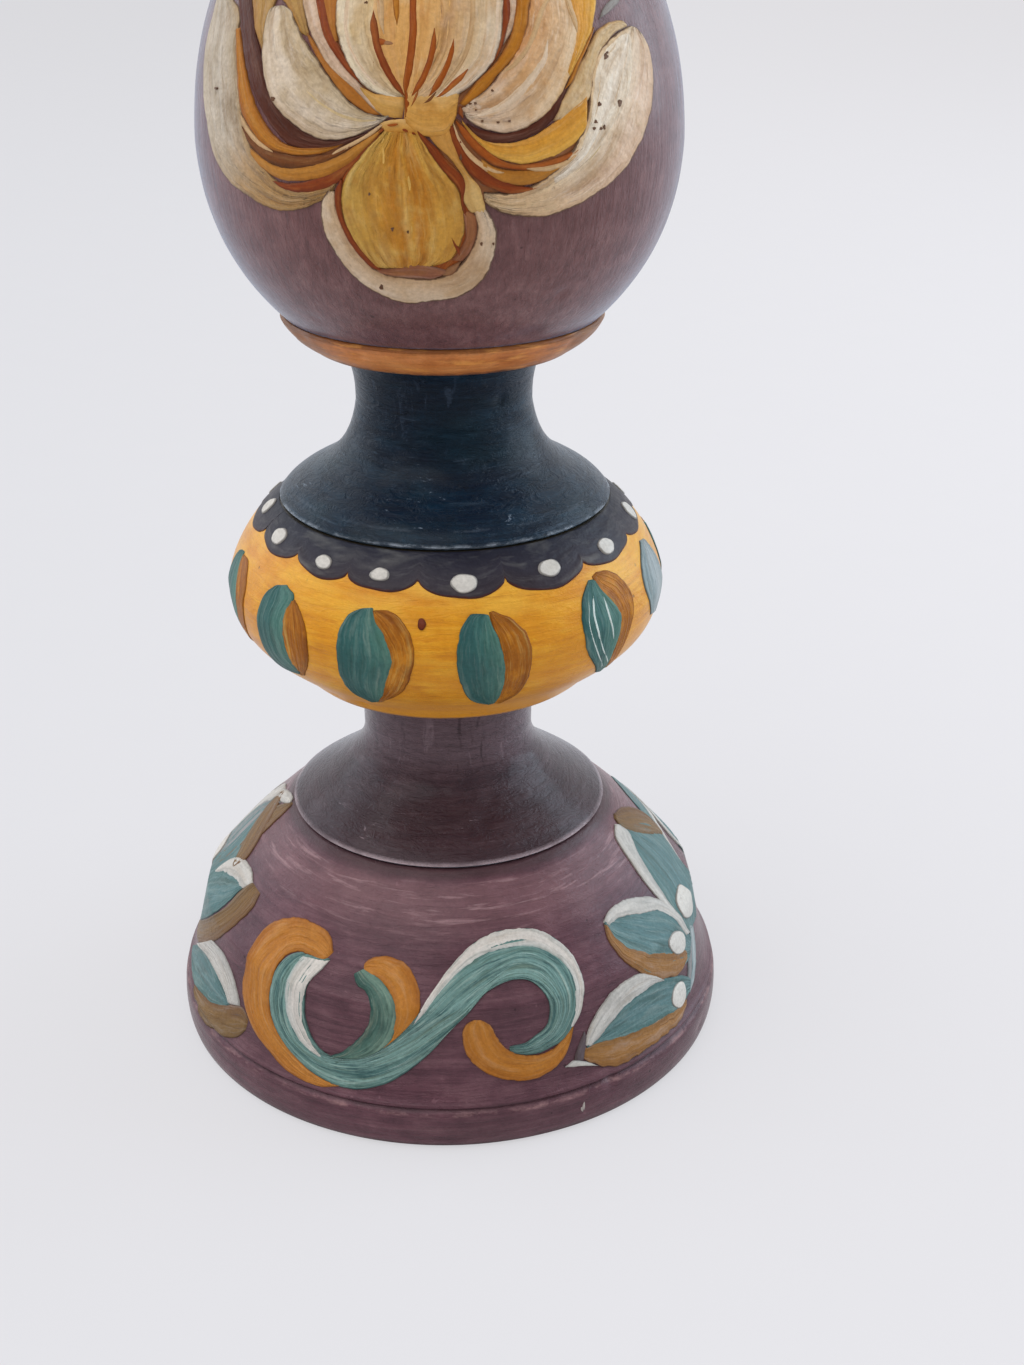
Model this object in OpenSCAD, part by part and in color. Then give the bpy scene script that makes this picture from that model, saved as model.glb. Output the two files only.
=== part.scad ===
// Maraca that stands on its own bell foot: a turned, painted wooden handle and
// an egg-shaped hollow head in two shells, with loose dried peas inside it.
// Millimetres. +Z is up the handle, z = 0 is the flat underside of the foot,
// the axis of every turned piece is the Z axis.

/* [Foot] */
// widest diameter of the foot's flange
foot_d = 90.6; // [84:0.2:98]
// height of the foot, up to the joint with the lower collar
foot_h = 37.3; // [33:0.1:42]
// height of the flange before the groove
flange_h = 6.3; // [4:0.1:8]
// depth of the turned groove above the flange
groove = 0.6; // [0.2:0.1:1.2]
// diameter of the foot at its top edge
foot_top_d = 51.6; // [46:0.2:56]

/* [Lower collar] */
// height of the lower collar and its neck
lower_collar_h = 24.4; // [20:0.1:30]
// diameter of the lower collar's lip
lower_lip_d = 50.8; // [44:0.2:51.4]
// smallest diameter of the lower neck, where a hand holds it
lower_neck_d = 27.0; // [24:0.2:30]

/* [Ring] */
// height of the bulging ring
ring_h = 27.5; // [22:0.1:34]
// widest diameter of the ring
ring_d = 66.8; // [58:0.2:74]
// diameter of the ring at its bottom edge
ring_bottom_d = 46.6; // [42:0.2:50]
// diameter of the ring at its top edge
ring_top_d = 50.8; // [50.6:0.2:54]

/* [Upper collar] */
// height of the upper collar and its neck
upper_collar_h = 23.5; // [20:0.1:30]
// diameter of the upper collar's lip
upper_lip_d = 50.2; // [44:0.2:50.6]
// smallest diameter of the upper neck
upper_neck_d = 26.4; // [24:0.2:30]

/* [Band] */
// height of the band under the head
band_h = 4.8; // [3:0.1:8]
// diameter of the band at its lower edge
band_bottom_d = 39.6; // [36:0.2:42]
// diameter of the band at its upper edge
band_top_d = 47.4; // [46.6:0.2:50]

/* [Head] */
// widest diameter of the head
head_d = 67.8; // [62:0.2:74]
// height of the lower shell, from the band to the glued joint
head_low_h = 24.5; // [22:0.1:28]
// height of the upper shell, from the joint to the crown
head_up_h = 41.6; // [36:0.1:46]
// diameter of the head where it leaves the band
head_start_d = 46.4; // [44:0.2:46.6]
// wall thickness of both shells
wall = 4; // [3:0.1:5]
// thickness of the flat floor the peas lie on
floor_t = 8; // [7:0.1:9]
// height of the rebate that centres the two shells
rebate_h = 2.8; // [2:0.1:4]

/* [Dowel] */
// diameter of the dowel that runs up through the handle
dowel_d = 16; // [12:0.1:18]
// radial glue gap around the dowel and in the rebate
fit_gap = 0.05; // [0.03:0.01:0.10]
// how far above the table the blind bore in the foot ends
bore_floor = 14; // [10:0.5:20]
// depth of the dowel socket in the head
head_socket = 5.2; // [3:0.1:5.5]

/* [Peas] */
// mean diameter of a dried pea
pea_d = 5.2; // [4.8:0.1:5.4]
// how much the peas differ in size, as a share of the diameter
pea_vary = 0.05; // [0:0.01:0.06]
// distance of the inner four peas from the axis
pea_ring_1 = 4.7; // [4.4:0.1:5]
// distance of the middle eight peas from the axis
pea_ring_2 = 11.2; // [10.8:0.1:11.6]
// distance of the outer twelve peas from the axis
pea_ring_3 = 18; // [17.4:0.1:18.2]

/* [Hidden] */
$fn = 120;

// heights of the joints between the turned pieces
z_collar = foot_h;
z_ring = z_collar + lower_collar_h;
z_upper = z_ring + ring_h;
z_band = z_upper + upper_collar_h;
z_head = z_band + band_h;
z_seam = z_head + head_low_h;
z_floor = z_head + floor_t;
bore_r = dowel_d / 2 + fit_gap;
head_r = head_d / 2;
in_r = head_r - wall;
in_h = head_up_h - wall;

// One smooth run of a profile from p to q. a and b are the two handles, each
// given as shares of the way from p to q: [share of radius, share of height].
function run(p, a, b, q, n = 10) = let (
        u = [p[0] + a[0] * (q[0] - p[0]), p[1] + a[1] * (q[1] - p[1])],
        v = [p[0] + b[0] * (q[0] - p[0]), p[1] + b[1] * (q[1] - p[1])])
    [for (i = [0 : n]) let (t = i / n, s = 1 - t)
        s * s * s * p + 3 * s * s * t * u + 3 * s * t * t * v + t * t * t * q];

// A quarter of an ellipse about the axis, from the seam to the crown.
function crown(r, h, z0, a0, n = 16) =
    [for (i = [0 : n]) let (a = a0 + (90 - a0) * i / n) [i == n ? 0 : r * cos(a), z0 + h * sin(a)]];

module turned(points) rotate_extrude(convexity = 6) polygon(points);

module foot() color([0.30, 0.20, 0.25]) turned(concat(
    [[0, 0], [foot_d / 2 - 1.0, 0], [foot_d / 2 - 0.4, 0.5]],
    run([foot_d / 2 - 0.4, 0.5], [1, 0.3], [1, 0.7], [foot_d / 2, flange_h * 0.6], 4),
    [[foot_d / 2 - 0.1, flange_h * 0.85], [foot_d / 2 - 0.35, flange_h], [foot_d / 2 - 0.35 - groove, flange_h + 0.45], [foot_d / 2 - 0.6, flange_h + 0.95]],
    run([foot_d / 2 - 0.7, flange_h + 1.3], [0.35, 0.1], [0.5, 0.35], [foot_d / 2 - 5, foot_h * 0.58], 9),
    run([foot_d / 2 - 5.1, foot_h * 0.585], [0.55, 0.62], [0.66, 0.70], [foot_top_d / 2 + 0.5, foot_h - 0.9], 11),
    [[foot_top_d / 2, foot_h - 0.4], [foot_top_d / 2 - 0.6, foot_h],
     [bore_r, foot_h], [bore_r, bore_floor], [0, bore_floor]]));

module lower_collar() color([0.28, 0.19, 0.25]) turned(concat(
    [[bore_r, z_collar], [lower_lip_d / 2 - 0.5, z_collar]],
    run([lower_lip_d / 2, z_collar + 0.5], [0.34, 0.26], [1, 0.54], [lower_neck_d / 2, z_collar + lower_collar_h * 0.54], 12),
    run([lower_neck_d / 2 + 0.02, z_collar + lower_collar_h * 0.6], [0, 0.4], [0.3, 0.85], [lower_neck_d / 2 + 3.4, z_ring], 7),
    [[bore_r, z_ring]]));

module ring() color([0.78, 0.55, 0.20]) turned(concat(
    [[bore_r, z_ring], [ring_bottom_d / 2 - 0.7, z_ring]],
    run([ring_bottom_d / 2, z_ring + 0.6], [0.47, 0.36], [0.96, 0.42], [ring_d / 2, z_ring + ring_h * 0.52], 11),
    run([ring_d / 2, z_ring + ring_h * 0.54], [-0.02, 0.1], [0.28, 0.68], [ring_top_d / 2 + 0.3, z_upper - 0.5], 11),
    [[ring_top_d / 2 - 0.4, z_upper], [bore_r, z_upper]]));

module upper_collar() color([0.16, 0.17, 0.24]) turned(concat(
    [[bore_r, z_upper], [upper_lip_d / 2 - 0.5, z_upper]],
    run([upper_lip_d / 2, z_upper + 0.5], [0.29, 0.36], [0.86, 0.22], [upper_neck_d / 2, z_upper + upper_collar_h * 0.63], 12),
    run([upper_neck_d / 2 + 0.02, z_upper + upper_collar_h * 0.67], [0, 0.4], [0.3, 0.8], [upper_neck_d / 2 + 2.5, z_band], 6),
    [[bore_r, z_band]]));

module head_band() color([0.66, 0.42, 0.22]) turned(concat(
    [[bore_r, z_band], [band_bottom_d / 2 - 0.5, z_band]],
    run([band_bottom_d / 2, z_band + 0.4], [0.36, 0.2], [0.8, 0.5], [band_top_d / 2, z_head - 0.5], 6),
    [[band_top_d / 2 - 0.4, z_head], [bore_r, z_head]]));

module head_lower_shell() color([0.31, 0.19, 0.23]) turned(concat(
    [[0, z_head + head_socket], [bore_r, z_head + head_socket], [bore_r, z_head]],
    run([head_start_d / 2, z_head], [0.93, 0.38], [1, 0.82], [head_r, z_seam], 14),
    [[in_r + wall / 2, z_seam], [in_r + wall / 2, z_seam + rebate_h], [in_r, z_seam + rebate_h]],
    run([in_r, z_seam], [0, 0.5], [0.28, 0.9], [head_start_d / 2 - 2, z_floor], 10),
    [[0, z_floor]]));

module head_upper_shell() color([0.31, 0.19, 0.23]) turned(concat(
    [[in_r + wall / 2 + fit_gap, z_seam + rebate_h + 0.1], [in_r + wall / 2 + fit_gap, z_seam]],
    crown(head_r, head_up_h, z_seam, 0, 18),
    [for (p = [16 : -1 : 0]) crown(in_r, in_h, z_seam, asin((rebate_h + 0.1) / in_h), 16)[p]]));

module handle_dowel() color([0.80, 0.66, 0.46]) turned(
    [[0, bore_floor + 0.2], [dowel_d / 2 - 1, bore_floor + 0.2], [dowel_d / 2, bore_floor + 1.2],
     [dowel_d / 2, z_head + head_socket - 1.2], [dowel_d / 2 - 1, z_head + head_socket - 0.2], [0, z_head + head_socket - 0.2]]);

// where pea i lies: four, then eight, then twelve of them, each set level
function pea_r(i) = pea_d / 2 * (1 + pea_vary * sin(i * 137.5));
function pea_dist(i) = i < 4 ? pea_ring_1 : i < 12 ? pea_ring_2 : pea_ring_3;
function pea_turn(i) = i < 4 ? i * 90 + 20 : i < 12 ? (i - 4) * 45 + 8 : (i - 12) * 30 + 3;

module pellet(i) color([0.66, 0.56, 0.30])
    translate([pea_dist(i) * cos(pea_turn(i)), pea_dist(i) * sin(pea_turn(i)), z_floor + pea_r(i) + 0.02])
    sphere(r = pea_r(i), $fn = 72);

module pellet_01() pellet(0);
module pellet_02() pellet(1);
module pellet_03() pellet(2);
module pellet_04() pellet(3);
module pellet_05() pellet(4);
module pellet_06() pellet(5);
module pellet_07() pellet(6);
module pellet_08() pellet(7);
module pellet_09() pellet(8);
module pellet_10() pellet(9);
module pellet_11() pellet(10);
module pellet_12() pellet(11);
module pellet_13() pellet(12);
module pellet_14() pellet(13);
module pellet_15() pellet(14);
module pellet_16() pellet(15);
module pellet_17() pellet(16);
module pellet_18() pellet(17);
module pellet_19() pellet(18);
module pellet_20() pellet(19);
module pellet_21() pellet(20);
module pellet_22() pellet(21);
module pellet_23() pellet(22);
module pellet_24() pellet(23);

foot();
lower_collar();
ring();
upper_collar();
head_band();
head_lower_shell();
head_upper_shell();
handle_dowel();
pellet_01();
pellet_02();
pellet_03();
pellet_04();
pellet_05();
pellet_06();
pellet_07();
pellet_08();
pellet_09();
pellet_10();
pellet_11();
pellet_12();
pellet_13();
pellet_14();
pellet_15();
pellet_16();
pellet_17();
pellet_18();
pellet_19();
pellet_20();
pellet_21();
pellet_22();
pellet_23();
pellet_24();
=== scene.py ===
import bpy, math
import numpy as np
from mathutils import Matrix, Vector


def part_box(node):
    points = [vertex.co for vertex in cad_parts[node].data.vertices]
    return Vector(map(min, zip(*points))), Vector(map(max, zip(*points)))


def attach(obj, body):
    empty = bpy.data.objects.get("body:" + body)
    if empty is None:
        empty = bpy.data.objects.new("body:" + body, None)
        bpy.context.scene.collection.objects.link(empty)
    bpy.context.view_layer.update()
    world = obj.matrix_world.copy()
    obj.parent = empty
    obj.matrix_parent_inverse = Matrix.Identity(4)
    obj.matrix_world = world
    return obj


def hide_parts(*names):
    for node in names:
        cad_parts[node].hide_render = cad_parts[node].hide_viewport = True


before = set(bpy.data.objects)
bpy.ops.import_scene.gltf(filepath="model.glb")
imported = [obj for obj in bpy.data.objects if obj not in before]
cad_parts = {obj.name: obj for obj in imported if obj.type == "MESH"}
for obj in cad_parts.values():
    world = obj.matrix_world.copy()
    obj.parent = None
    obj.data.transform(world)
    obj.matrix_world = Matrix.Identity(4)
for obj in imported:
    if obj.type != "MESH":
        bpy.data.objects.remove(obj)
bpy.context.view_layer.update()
rng = np.random.default_rng(41)
MM = 0.001

# ------------------------------------------------------------------ turned profiles, in mm (r, z)
foot_d, foot_h, flange_h, groove, foot_top_d = 90.6, 37.3, 6.3, 0.6, 51.6
lower_h, lower_lip_d, lower_neck_d = 24.4, 50.8, 27.0
ring_h, ring_d, ring_bottom_d, ring_top_d = 27.5, 66.8, 46.6, 50.8
upper_h, upper_lip_d, upper_neck_d = 23.5, 50.2, 26.4
band_h, band_bottom_d, band_top_d = 4.8, 39.6, 47.4
head_d, head_low_h, head_up_h, head_start_d = 67.8, 24.5, 41.6, 46.4
wall, floor_t, rebate_h, bore_r, bore_floor, socket = 4.0, 8.0, 2.8, 8.05, 14.0, 5.2
z_collar = foot_h
z_ring = z_collar + lower_h
z_upper = z_ring + ring_h
z_band = z_upper + upper_h
z_head = z_band + band_h
z_seam = z_head + head_low_h
z_floor = z_head + floor_t
rim_line = flange_h
head_r, in_r, in_h = head_d / 2, head_d / 2 - wall, head_up_h - wall


def run(p, a, b, q, n=40):
    """The same smooth run as in the part's source, drawn finer."""
    p, q = np.array(p, float), np.array(q, float)
    u, v = p + np.array(a) * (q - p), p + np.array(b) * (q - p)
    t = np.linspace(0, 1, n + 1)[:, None]
    s = 1 - t
    return s**3 * p + 3 * s * s * t * u + 3 * s * t * t * v + t**3 * q


OUT = {
    "foot": np.vstack([[[foot_d / 2 - 1.0, 0.0], [foot_d / 2 - 0.4, 0.5]],
        run([foot_d / 2 - 0.4, 0.5], [1, 0.3], [1, 0.7], [foot_d / 2, flange_h * 0.6], 10),
        [[foot_d / 2 - 0.1, flange_h * 0.85], [foot_d / 2 - 0.35, flange_h], [foot_d / 2 - 0.35 - groove, flange_h + 0.45], [foot_d / 2 - 0.6, flange_h + 0.95]],
        run([foot_d / 2 - 0.7, flange_h + 1.3], [0.35, 0.1], [0.5, 0.35], [foot_d / 2 - 5, foot_h * 0.58]),
        run([foot_d / 2 - 5.1, foot_h * 0.585], [0.55, 0.62], [0.66, 0.70], [foot_top_d / 2 + 0.5, foot_h - 0.9]),
        [[foot_top_d / 2, foot_h - 0.4], [foot_top_d / 2 - 0.6, foot_h]]]),
    "lower_collar": np.vstack([[[lower_lip_d / 2 - 0.5, z_collar]],
        run([lower_lip_d / 2, z_collar + 0.5], [0.34, 0.26], [1, 0.54], [lower_neck_d / 2, z_collar + lower_h * 0.54]),
        run([lower_neck_d / 2 + 0.02, z_collar + lower_h * 0.6], [0, 0.4], [0.3, 0.85], [lower_neck_d / 2 + 3.4, z_ring], 20)]),
    "ring": np.vstack([[[ring_bottom_d / 2 - 0.7, z_ring]],
        run([ring_bottom_d / 2, z_ring + 0.6], [0.47, 0.36], [0.96, 0.42], [ring_d / 2, z_ring + ring_h * 0.52]),
        run([ring_d / 2, z_ring + ring_h * 0.54], [-0.02, 0.1], [0.28, 0.68], [ring_top_d / 2 + 0.3, z_upper - 0.5]),
        [[ring_top_d / 2 - 0.4, z_upper]]]),
    "upper_collar": np.vstack([[[upper_lip_d / 2 - 0.5, z_upper]],
        run([upper_lip_d / 2, z_upper + 0.5], [0.29, 0.36], [0.86, 0.22], [upper_neck_d / 2, z_upper + upper_h * 0.63]),
        run([upper_neck_d / 2 + 0.02, z_upper + upper_h * 0.67], [0, 0.4], [0.3, 0.8], [upper_neck_d / 2 + 2.5, z_band], 20)]),
    "head_band": np.vstack([[[band_bottom_d / 2 - 0.5, z_band]],
        run([band_bottom_d / 2, z_band + 0.4], [0.36, 0.2], [0.8, 0.5], [band_top_d / 2, z_head - 0.5], 16),
        [[band_top_d / 2 - 0.4, z_head]]]),
    "head_lower_shell": run([head_start_d / 2, z_head], [0.93, 0.38], [1, 0.82], [head_r, z_seam], 60),
}
_a = np.linspace(0, math.pi / 2, 80)
OUT["head_upper_shell"] = np.stack([head_r * np.cos(_a), z_seam + head_up_h * np.sin(_a)], 1)
OUT["head"] = np.vstack([OUT["head_lower_shell"], OUT["head_upper_shell"][1:]])


def resample(P, step):
    """Points along a polyline, about step apart, corners kept."""
    out = [P[0]]
    for a, b in zip(P[:-1], P[1:]):
        n = max(1, int(round(np.hypot(*(b - a)) / step)))
        out += [a + (b - a) * k / n for k in range(1, n + 1)]
    return np.array(out)


def waves(n, mlo, mhi, klo, khi, seed):
    """Smooth bumps that close round the axis: n sine terms in angle and height."""
    g = np.random.default_rng(seed)
    m = g.integers(mlo, mhi + 1, n); k = g.uniform(klo, khi, n) * g.choice([-1, 1], n)
    ph = g.uniform(0, 6.283, n); am = g.uniform(0.5, 1, n)
    am /= am.sum()
    return lambda phi, z: sum(a * np.sin(mm * phi + kk * z + p) for a, mm, kk, p in zip(am, m, k, ph))


slow = waves(7, 1, 4, 0.05, 0.25, 3)      # unevenness of hand turning
mid = waves(12, 3, 14, 0.3, 1.1, 5)       # paint that has sagged
ridge = waves(14, 0, 6, 2.2, 4.6, 7)      # brush ridges round the axis
DENTS = {  # piece: (angle, z, half width in mm along, half height, depth)
    "foot": [(33, 6.2, 0.8, 1.4, 0.30), (-20, 33.5, 3.0, 0.5, 0.12), (8, 31.0, 4.0, 0.6, 0.10), (-58, 13.0, 1.5, 1.0, 0.10), (120, 20, 2, 1.4, 0.15), (-150, 28, 2.5, 1.2, 0.15), (64, 3.0, 1.6, 1.0, 0.2), (-95, 2.5, 2.0, 1.2, 0.2), (175, 4.0, 1.8, 1.0, 0.22)],
    "lower_collar": [(14, 42.0, 1.6, 0.8, 0.16), (-4, 46, 1.2, 0.9, 0.10), (22, 44, 1.4, 0.7, 0.12), (-30, 40.5, 2.0, 0.6, 0.12), (140, 45, 2, 1, 0.15)],
    "ring": [(-30, 64, 1.0, 0.6, 0.18), (-44, 63.4, 1.4, 0.5, 0.2), (22, 81, 1.2, 0.5, 0.1), (58, 65, 1.4, 0.8, 0.15), (150, 80, 1.6, 1, 0.15), (-120, 72, 1.5, 1.2, 0.12)],
    "upper_collar": [(37.5, 106.5, 1.0, 0.9, 0.32), (-8, 94.8, 2.4, 0.7, 0.16), (7, 95.6, 2.0, 0.8, 0.14), (-2, 92.6, 3.0, 0.5, 0.12), (14, 91.8, 2.2, 0.6, 0.12), (-16, 91.5, 2.0, 0.6, 0.10), (24, 98, 1.2, 0.8, 0.10), (-30, 99.5, 1.5, 0.8, 0.10), (130, 96, 2, 1, 0.15), (-140, 94, 2, 1, 0.15)],
    "head_band": [(-11, 116.2, 1.4, 0.5, 0.22), (-30, 115.5, 1.0, 0.6, 0.2), (20, 114.8, 1.2, 0.4, 0.16), (52, 116, 1.6, 0.8, 0.3), (-58, 116.4, 1.8, 0.8, 0.3), (66, 115.2, 1.0, 0.5, 0.25), (-72, 115.6, 1.4, 0.7, 0.3), (100, 116, 1.4, 0.7, 0.25), (160, 115.4, 1.8, 0.6, 0.25), (-130, 116.2, 1.6, 0.8, 0.25)],
    "head_lower_shell": [(32, 125.5, 1.0, 0.7, 0.22), (28, 119.6, 1.8, 1.0, 0.14), (21, 118.8, 2.2, 0.5, 0.12), (-40, 121.0, 1.4, 0.6, 0.10), (70, 131, 1.0, 2.2, 0.08), (76, 136, 0.7, 3.0, 0.08), (-75, 130, 0.8, 3.0, 0.08), (120, 130, 1.5, 1.5, 0.15)],
    "head_upper_shell": [(74, 150, 0.6, 4.0, 0.07), (-80, 152, 0.6, 3.5, 0.07), (100, 160, 1, 1.4, 0.12), (-110, 148, 1.2, 1.2, 0.12)],
}
AMP = {"foot": (0.10, 0.05, 0.030), "lower_collar": (0.08, 0.05, 0.030), "ring": (0.10, 0.05, 0.022), "upper_collar": (0.08, 0.06, 0.034),
       "head_band": (0.10, 0.10, 0.02), "head_lower_shell": (0.08, 0.05, 0.006), "head_upper_shell": (0.08, 0.05, 0.006)}


def relief(piece, phi, z, r):
    """How far the painted surface lies inside the turned one, in mm, never outside it."""
    s, m, b = AMP[piece]
    seam = np.clip((np.abs(z - z_seam)) / 4, 0, 1) if piece.startswith("head_") and piece != "head_band" else 1.0
    d = -(s * (1 + slow(phi, z)) * 0.5 + m * (1 + mid(phi, z)) * 0.5) * seam - b * (1 + ridge(phi, z)) * 0.5
    for a, zz, w, h, dep in DENTS.get(piece, []):
        da = (phi - math.radians(a) + math.pi) % (2 * math.pi) - math.pi
        q = (da * r / w) ** 2 + ((z - zz) / h) ** 2
        d = d - dep * np.exp(-q)
    return d


def r_of(piece, z):
    P = OUT[piece]
    return np.interp(z, np.maximum.accumulate(P[:, 1] + np.arange(len(P)) * 1e-9), P[:, 0])


def at(piece, phi, z, h):
    """Points at angle phi (radians, 0 faces -Y), height z and h mm out from the painted surface."""
    r0 = r_of(piece, z)
    e = 0.15
    dr = (r_of(piece, z + e) - r_of(piece, z - e)) / (2 * e)
    n = np.sqrt(1 + dr * dr)
    sub = piece if piece != "head" else None
    if sub is None:
        d = np.where(z < z_seam, relief("head_lower_shell", phi, z, r0), relief("head_upper_shell", phi, z, r0))
    else:
        d = relief(sub, phi, z, r0)
    r = r0 + (d + h) / n
    zz = z - (d + h) * dr / n
    r = np.maximum(r, 0)
    return np.stack([r * np.sin(phi), -r * np.cos(phi), zz], -1) * MM


def mesh_object(name, verts, faces, uvs=None, attrs=None, smooth=True):
    me = bpy.data.meshes.new(name)
    me.from_pydata([tuple(v) for v in verts], [], [tuple(int(i) for i in f) for f in faces])
    me.polygons.foreach_set("use_smooth", [smooth] * len(me.polygons))
    if uvs is not None:
        layer = me.uv_layers.new(name="UVMap")
        idx = np.zeros(len(me.loops), np.int32); me.loops.foreach_get("vertex_index", idx)
        layer.data.foreach_set("uv", np.asarray(uvs, np.float32)[idx].ravel())
    for k, v in (attrs or {}).items():
        at_ = me.attributes.new(k, "FLOAT", "POINT"); at_.data.foreach_set("value", np.asarray(v, np.float32))
    me.update()
    ob = bpy.data.objects.new(name, me)
    bpy.context.scene.collection.objects.link(ob)
    return ob


def lathe(name, piece, inner, nphi, step, node, body, mat, top_pole=False):
    """A closed turned skin: the outer run with relief, then the inner points (r, z) back to the start."""
    P = resample(OUT[piece], step)
    if top_pole:
        P = P[:-1]
    phi = np.linspace(0, 2 * math.pi, nphi, endpoint=False)
    rows = []
    for r, z in P:
        zz = np.full(nphi, z)
        dr = 0 if top_pole and r < 1 else None
        rr = np.full(nphi, r)
        d = relief(piece, phi, zz, rr)
        rows.append(np.stack([rr, zz, d], 1))
    T = np.gradient(P, axis=0); T /= np.maximum(np.hypot(T[:, 0], T[:, 1])[:, None], 1e-9)
    N = np.stack([T[:, 1], -T[:, 0]], 1)
    V, uv = [], []
    L = np.concatenate([[0], np.cumsum(np.hypot(*np.diff(P, axis=0).T))])
    for i, row in enumerate(rows):
        rr = row[:, 0] + row[:, 2] * N[i, 0]; zz = row[:, 1] + row[:, 2] * N[i, 1]
        V.append(np.stack([rr * np.sin(phi), -rr * np.cos(phi), zz], 1)); uv.append(np.stack([phi / 6.28319, np.full(nphi, L[i] * 0.01)], 1))
    for r, z in inner:
        V.append(np.stack([r * np.sin(phi), -r * np.cos(phi), np.full(nphi, z)], 1)); uv.append(np.stack([phi / 6.28319, np.full(nphi, 2.0)], 1))
    faces, nr = [], len(V)
    V = np.vstack(V); uv = np.vstack(uv)
    i = np.arange(nphi); j = (i + 1) % nphi
    nout = len(rows)
    for k in range(nr - 1):
        if top_pole and k == nout - 1:
            continue
        a, b = k * nphi, (k + 1) * nphi
        faces.append(np.stack([a + i, a + j, b + j, b + i], 1))
    faces = [tuple(f) for f in np.vstack(faces)]
    V = list(V); uv = list(uv)
    closed_at_axis = inner and abs(inner[-1][0]) < 1e-6
    if top_pole:                                   # the crown
        V.append(np.array([0, 0, OUT[piece][-1, 1] - 0.12])); uv.append(np.array([0.5, L[-1] * 0.01])); c = len(V) - 1
        a = (nout - 1) * nphi
        faces += [(a + int(x), a + int(y), c) for x, y in zip(i, j)]
    # join the last ring to the first, or let both end on the axis
    if inner:
        a = (nr - 1) * nphi
        faces += [(a + int(x), a + int(y), int(y), int(x)) for x, y in zip(i, j)]
    V = np.array(V) * MM
    ob = mesh_object(name, V, faces, np.array(uv))
    me = ob.data
    bm_fix(me)
    me.materials.append(mat)
    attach(ob, body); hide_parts(node)
    return ob


def bm_fix(me):
    import bmesh
    bm = bmesh.new(); bm.from_mesh(me)
    bmesh.ops.remove_doubles(bm, verts=bm.verts, dist=2e-7)
    bmesh.ops.recalc_face_normals(bm, faces=bm.faces)
    for f in bm.faces:
        f.smooth = True
    for e in bm.edges:
        if len(e.link_faces) == 2 and e.calc_face_angle(0.0) > math.radians(52):
            e.smooth = False
    bm.to_mesh(me); bm.free()
    me.update()


# ------------------------------------------------------------------ materials
CAL = {
    "stroke_beige": (0.882, 0.853, 0.837),
    "stroke_beige_ochre": (0.647, 0.577, 0.391),
    "stroke_brown": (1.03, 0.735, 0.35),
    "stroke_brown_ochre": (0.633, 0.689, 0.825),
    "stroke_cream": (0.843, 0.786, 0.775),
    "stroke_cream_line": (0.755, 0.642, 0.524),
    "stroke_cream_pink": (0.892, 0.861, 0.87),
    "stroke_cream_right": (0.962, 0.946, 0.951),
    "stroke_crescent": (0.903, 0.82, 0.802),
    "stroke_bud_left": (0.982, 0.97, 0.945),
    "stroke_bud_right": (0.868, 0.872, 0.94),
    "stroke_cream_tail": (0.693, 0.665, 0.661),
    "stroke_dark": (1, 0.6, 0.5),
    "dot_white": (0.853, 0.852, 0.884),
    "dot_brown": (0.671, 0.459, 0.459),
    "stroke_white_and_teal": (0.966, 0.905, 0.878),
    "stroke_grey_teal": (1, 0.778, 0.775),
    "stroke_hub": (0.95, 0.9, 0.7),
    "stroke_leaf_brown": (1.02, 0.916, 0.384),
    "stroke_lilac_white": (0.877, 0.694, 0.529),
    "stroke_ochre": (0.715, 0.619, 0.385),
    "stroke_ochre_scroll": (0.792, 0.708, 0.562),
    "stroke_gold": (1.02, 0.97, 0.719),
    "stroke_ochre_light": (0.87, 0.816, 0.683),
    "stroke_ochre_ragged": (0.736, 0.771, 0.934),
    "stroke_orange": (0.721, 0.665, 0.355),
    "stroke_pale_blue": (0.982, 0.885, 0.859),
    "stroke_pale_grey": (0.51, 0.459, 0.459),
    "stroke_bud_middle": (0.945, 0.903, 0.843),
    "stroke_petal_right": (0.945, 0.885, 0.847),
    "stroke_red_brown": (1.13, 0.684, 0.21),
    "stroke_ridge": (1, 0.941, 0.912),
    "stroke_rust": (0.863, 0.589, 0.21),
    "stroke_teal_dark": (1, 0.861, 0.716),
    "stroke_leaf_teal": (1.1, 1.07, 0.977),
    "stroke_teal": (0.711, 0.711, 0.708),
    "stroke_teardrop": (0.919, 0.808, 0.51),
    "stroke_teardrop_pale": (0.943, 0.88, 0.747),
    "stroke_terracotta": (0.82, 0.824, 0.368),
    "stroke_wedge": (0.84, 0.709, 0.487),
    "stroke_white": (0.783, 0.77, 0.788),
    "stroke_white_cream": (0.843, 0.74, 0.667),
    "plum_paint_foot": (0.98, 0.84, 0.83),
    "plum_paint_collar": (0.82, 0.76, 0.78),
    "plum_paint_head": (1.45, 1.18, 1.02),
    "navy_paint_collar": (0.35, 0.75, 0.9),
    "copper_paint_band": (1.45, 1.28, 1),
    "ochre_paint_ring": (1.12, 1.02, 0.324),
    "dab_cream": (0.815, 0.689, 0.593),
    "stroke_teal_scroll": (1.11, 1.03, 0.979),
    "stroke_mud": (0.754, 0.564, 0.459),
    "stroke_teal_tail": (1.15, 0.985, 0.91),
    "stroke_white_on_teal": (0.861, 0.824, 0.819),
}
TINT = [1.0, 1.0, 1.0]


def raw(c):
    """A colour that the paint's own tint leaves alone."""
    return (*[(v / 255 / 12.92 if v <= 10 else ((v / 255 + 0.055) / 1.055) ** 2.4) for v in c[:3]], 1.0)


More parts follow.
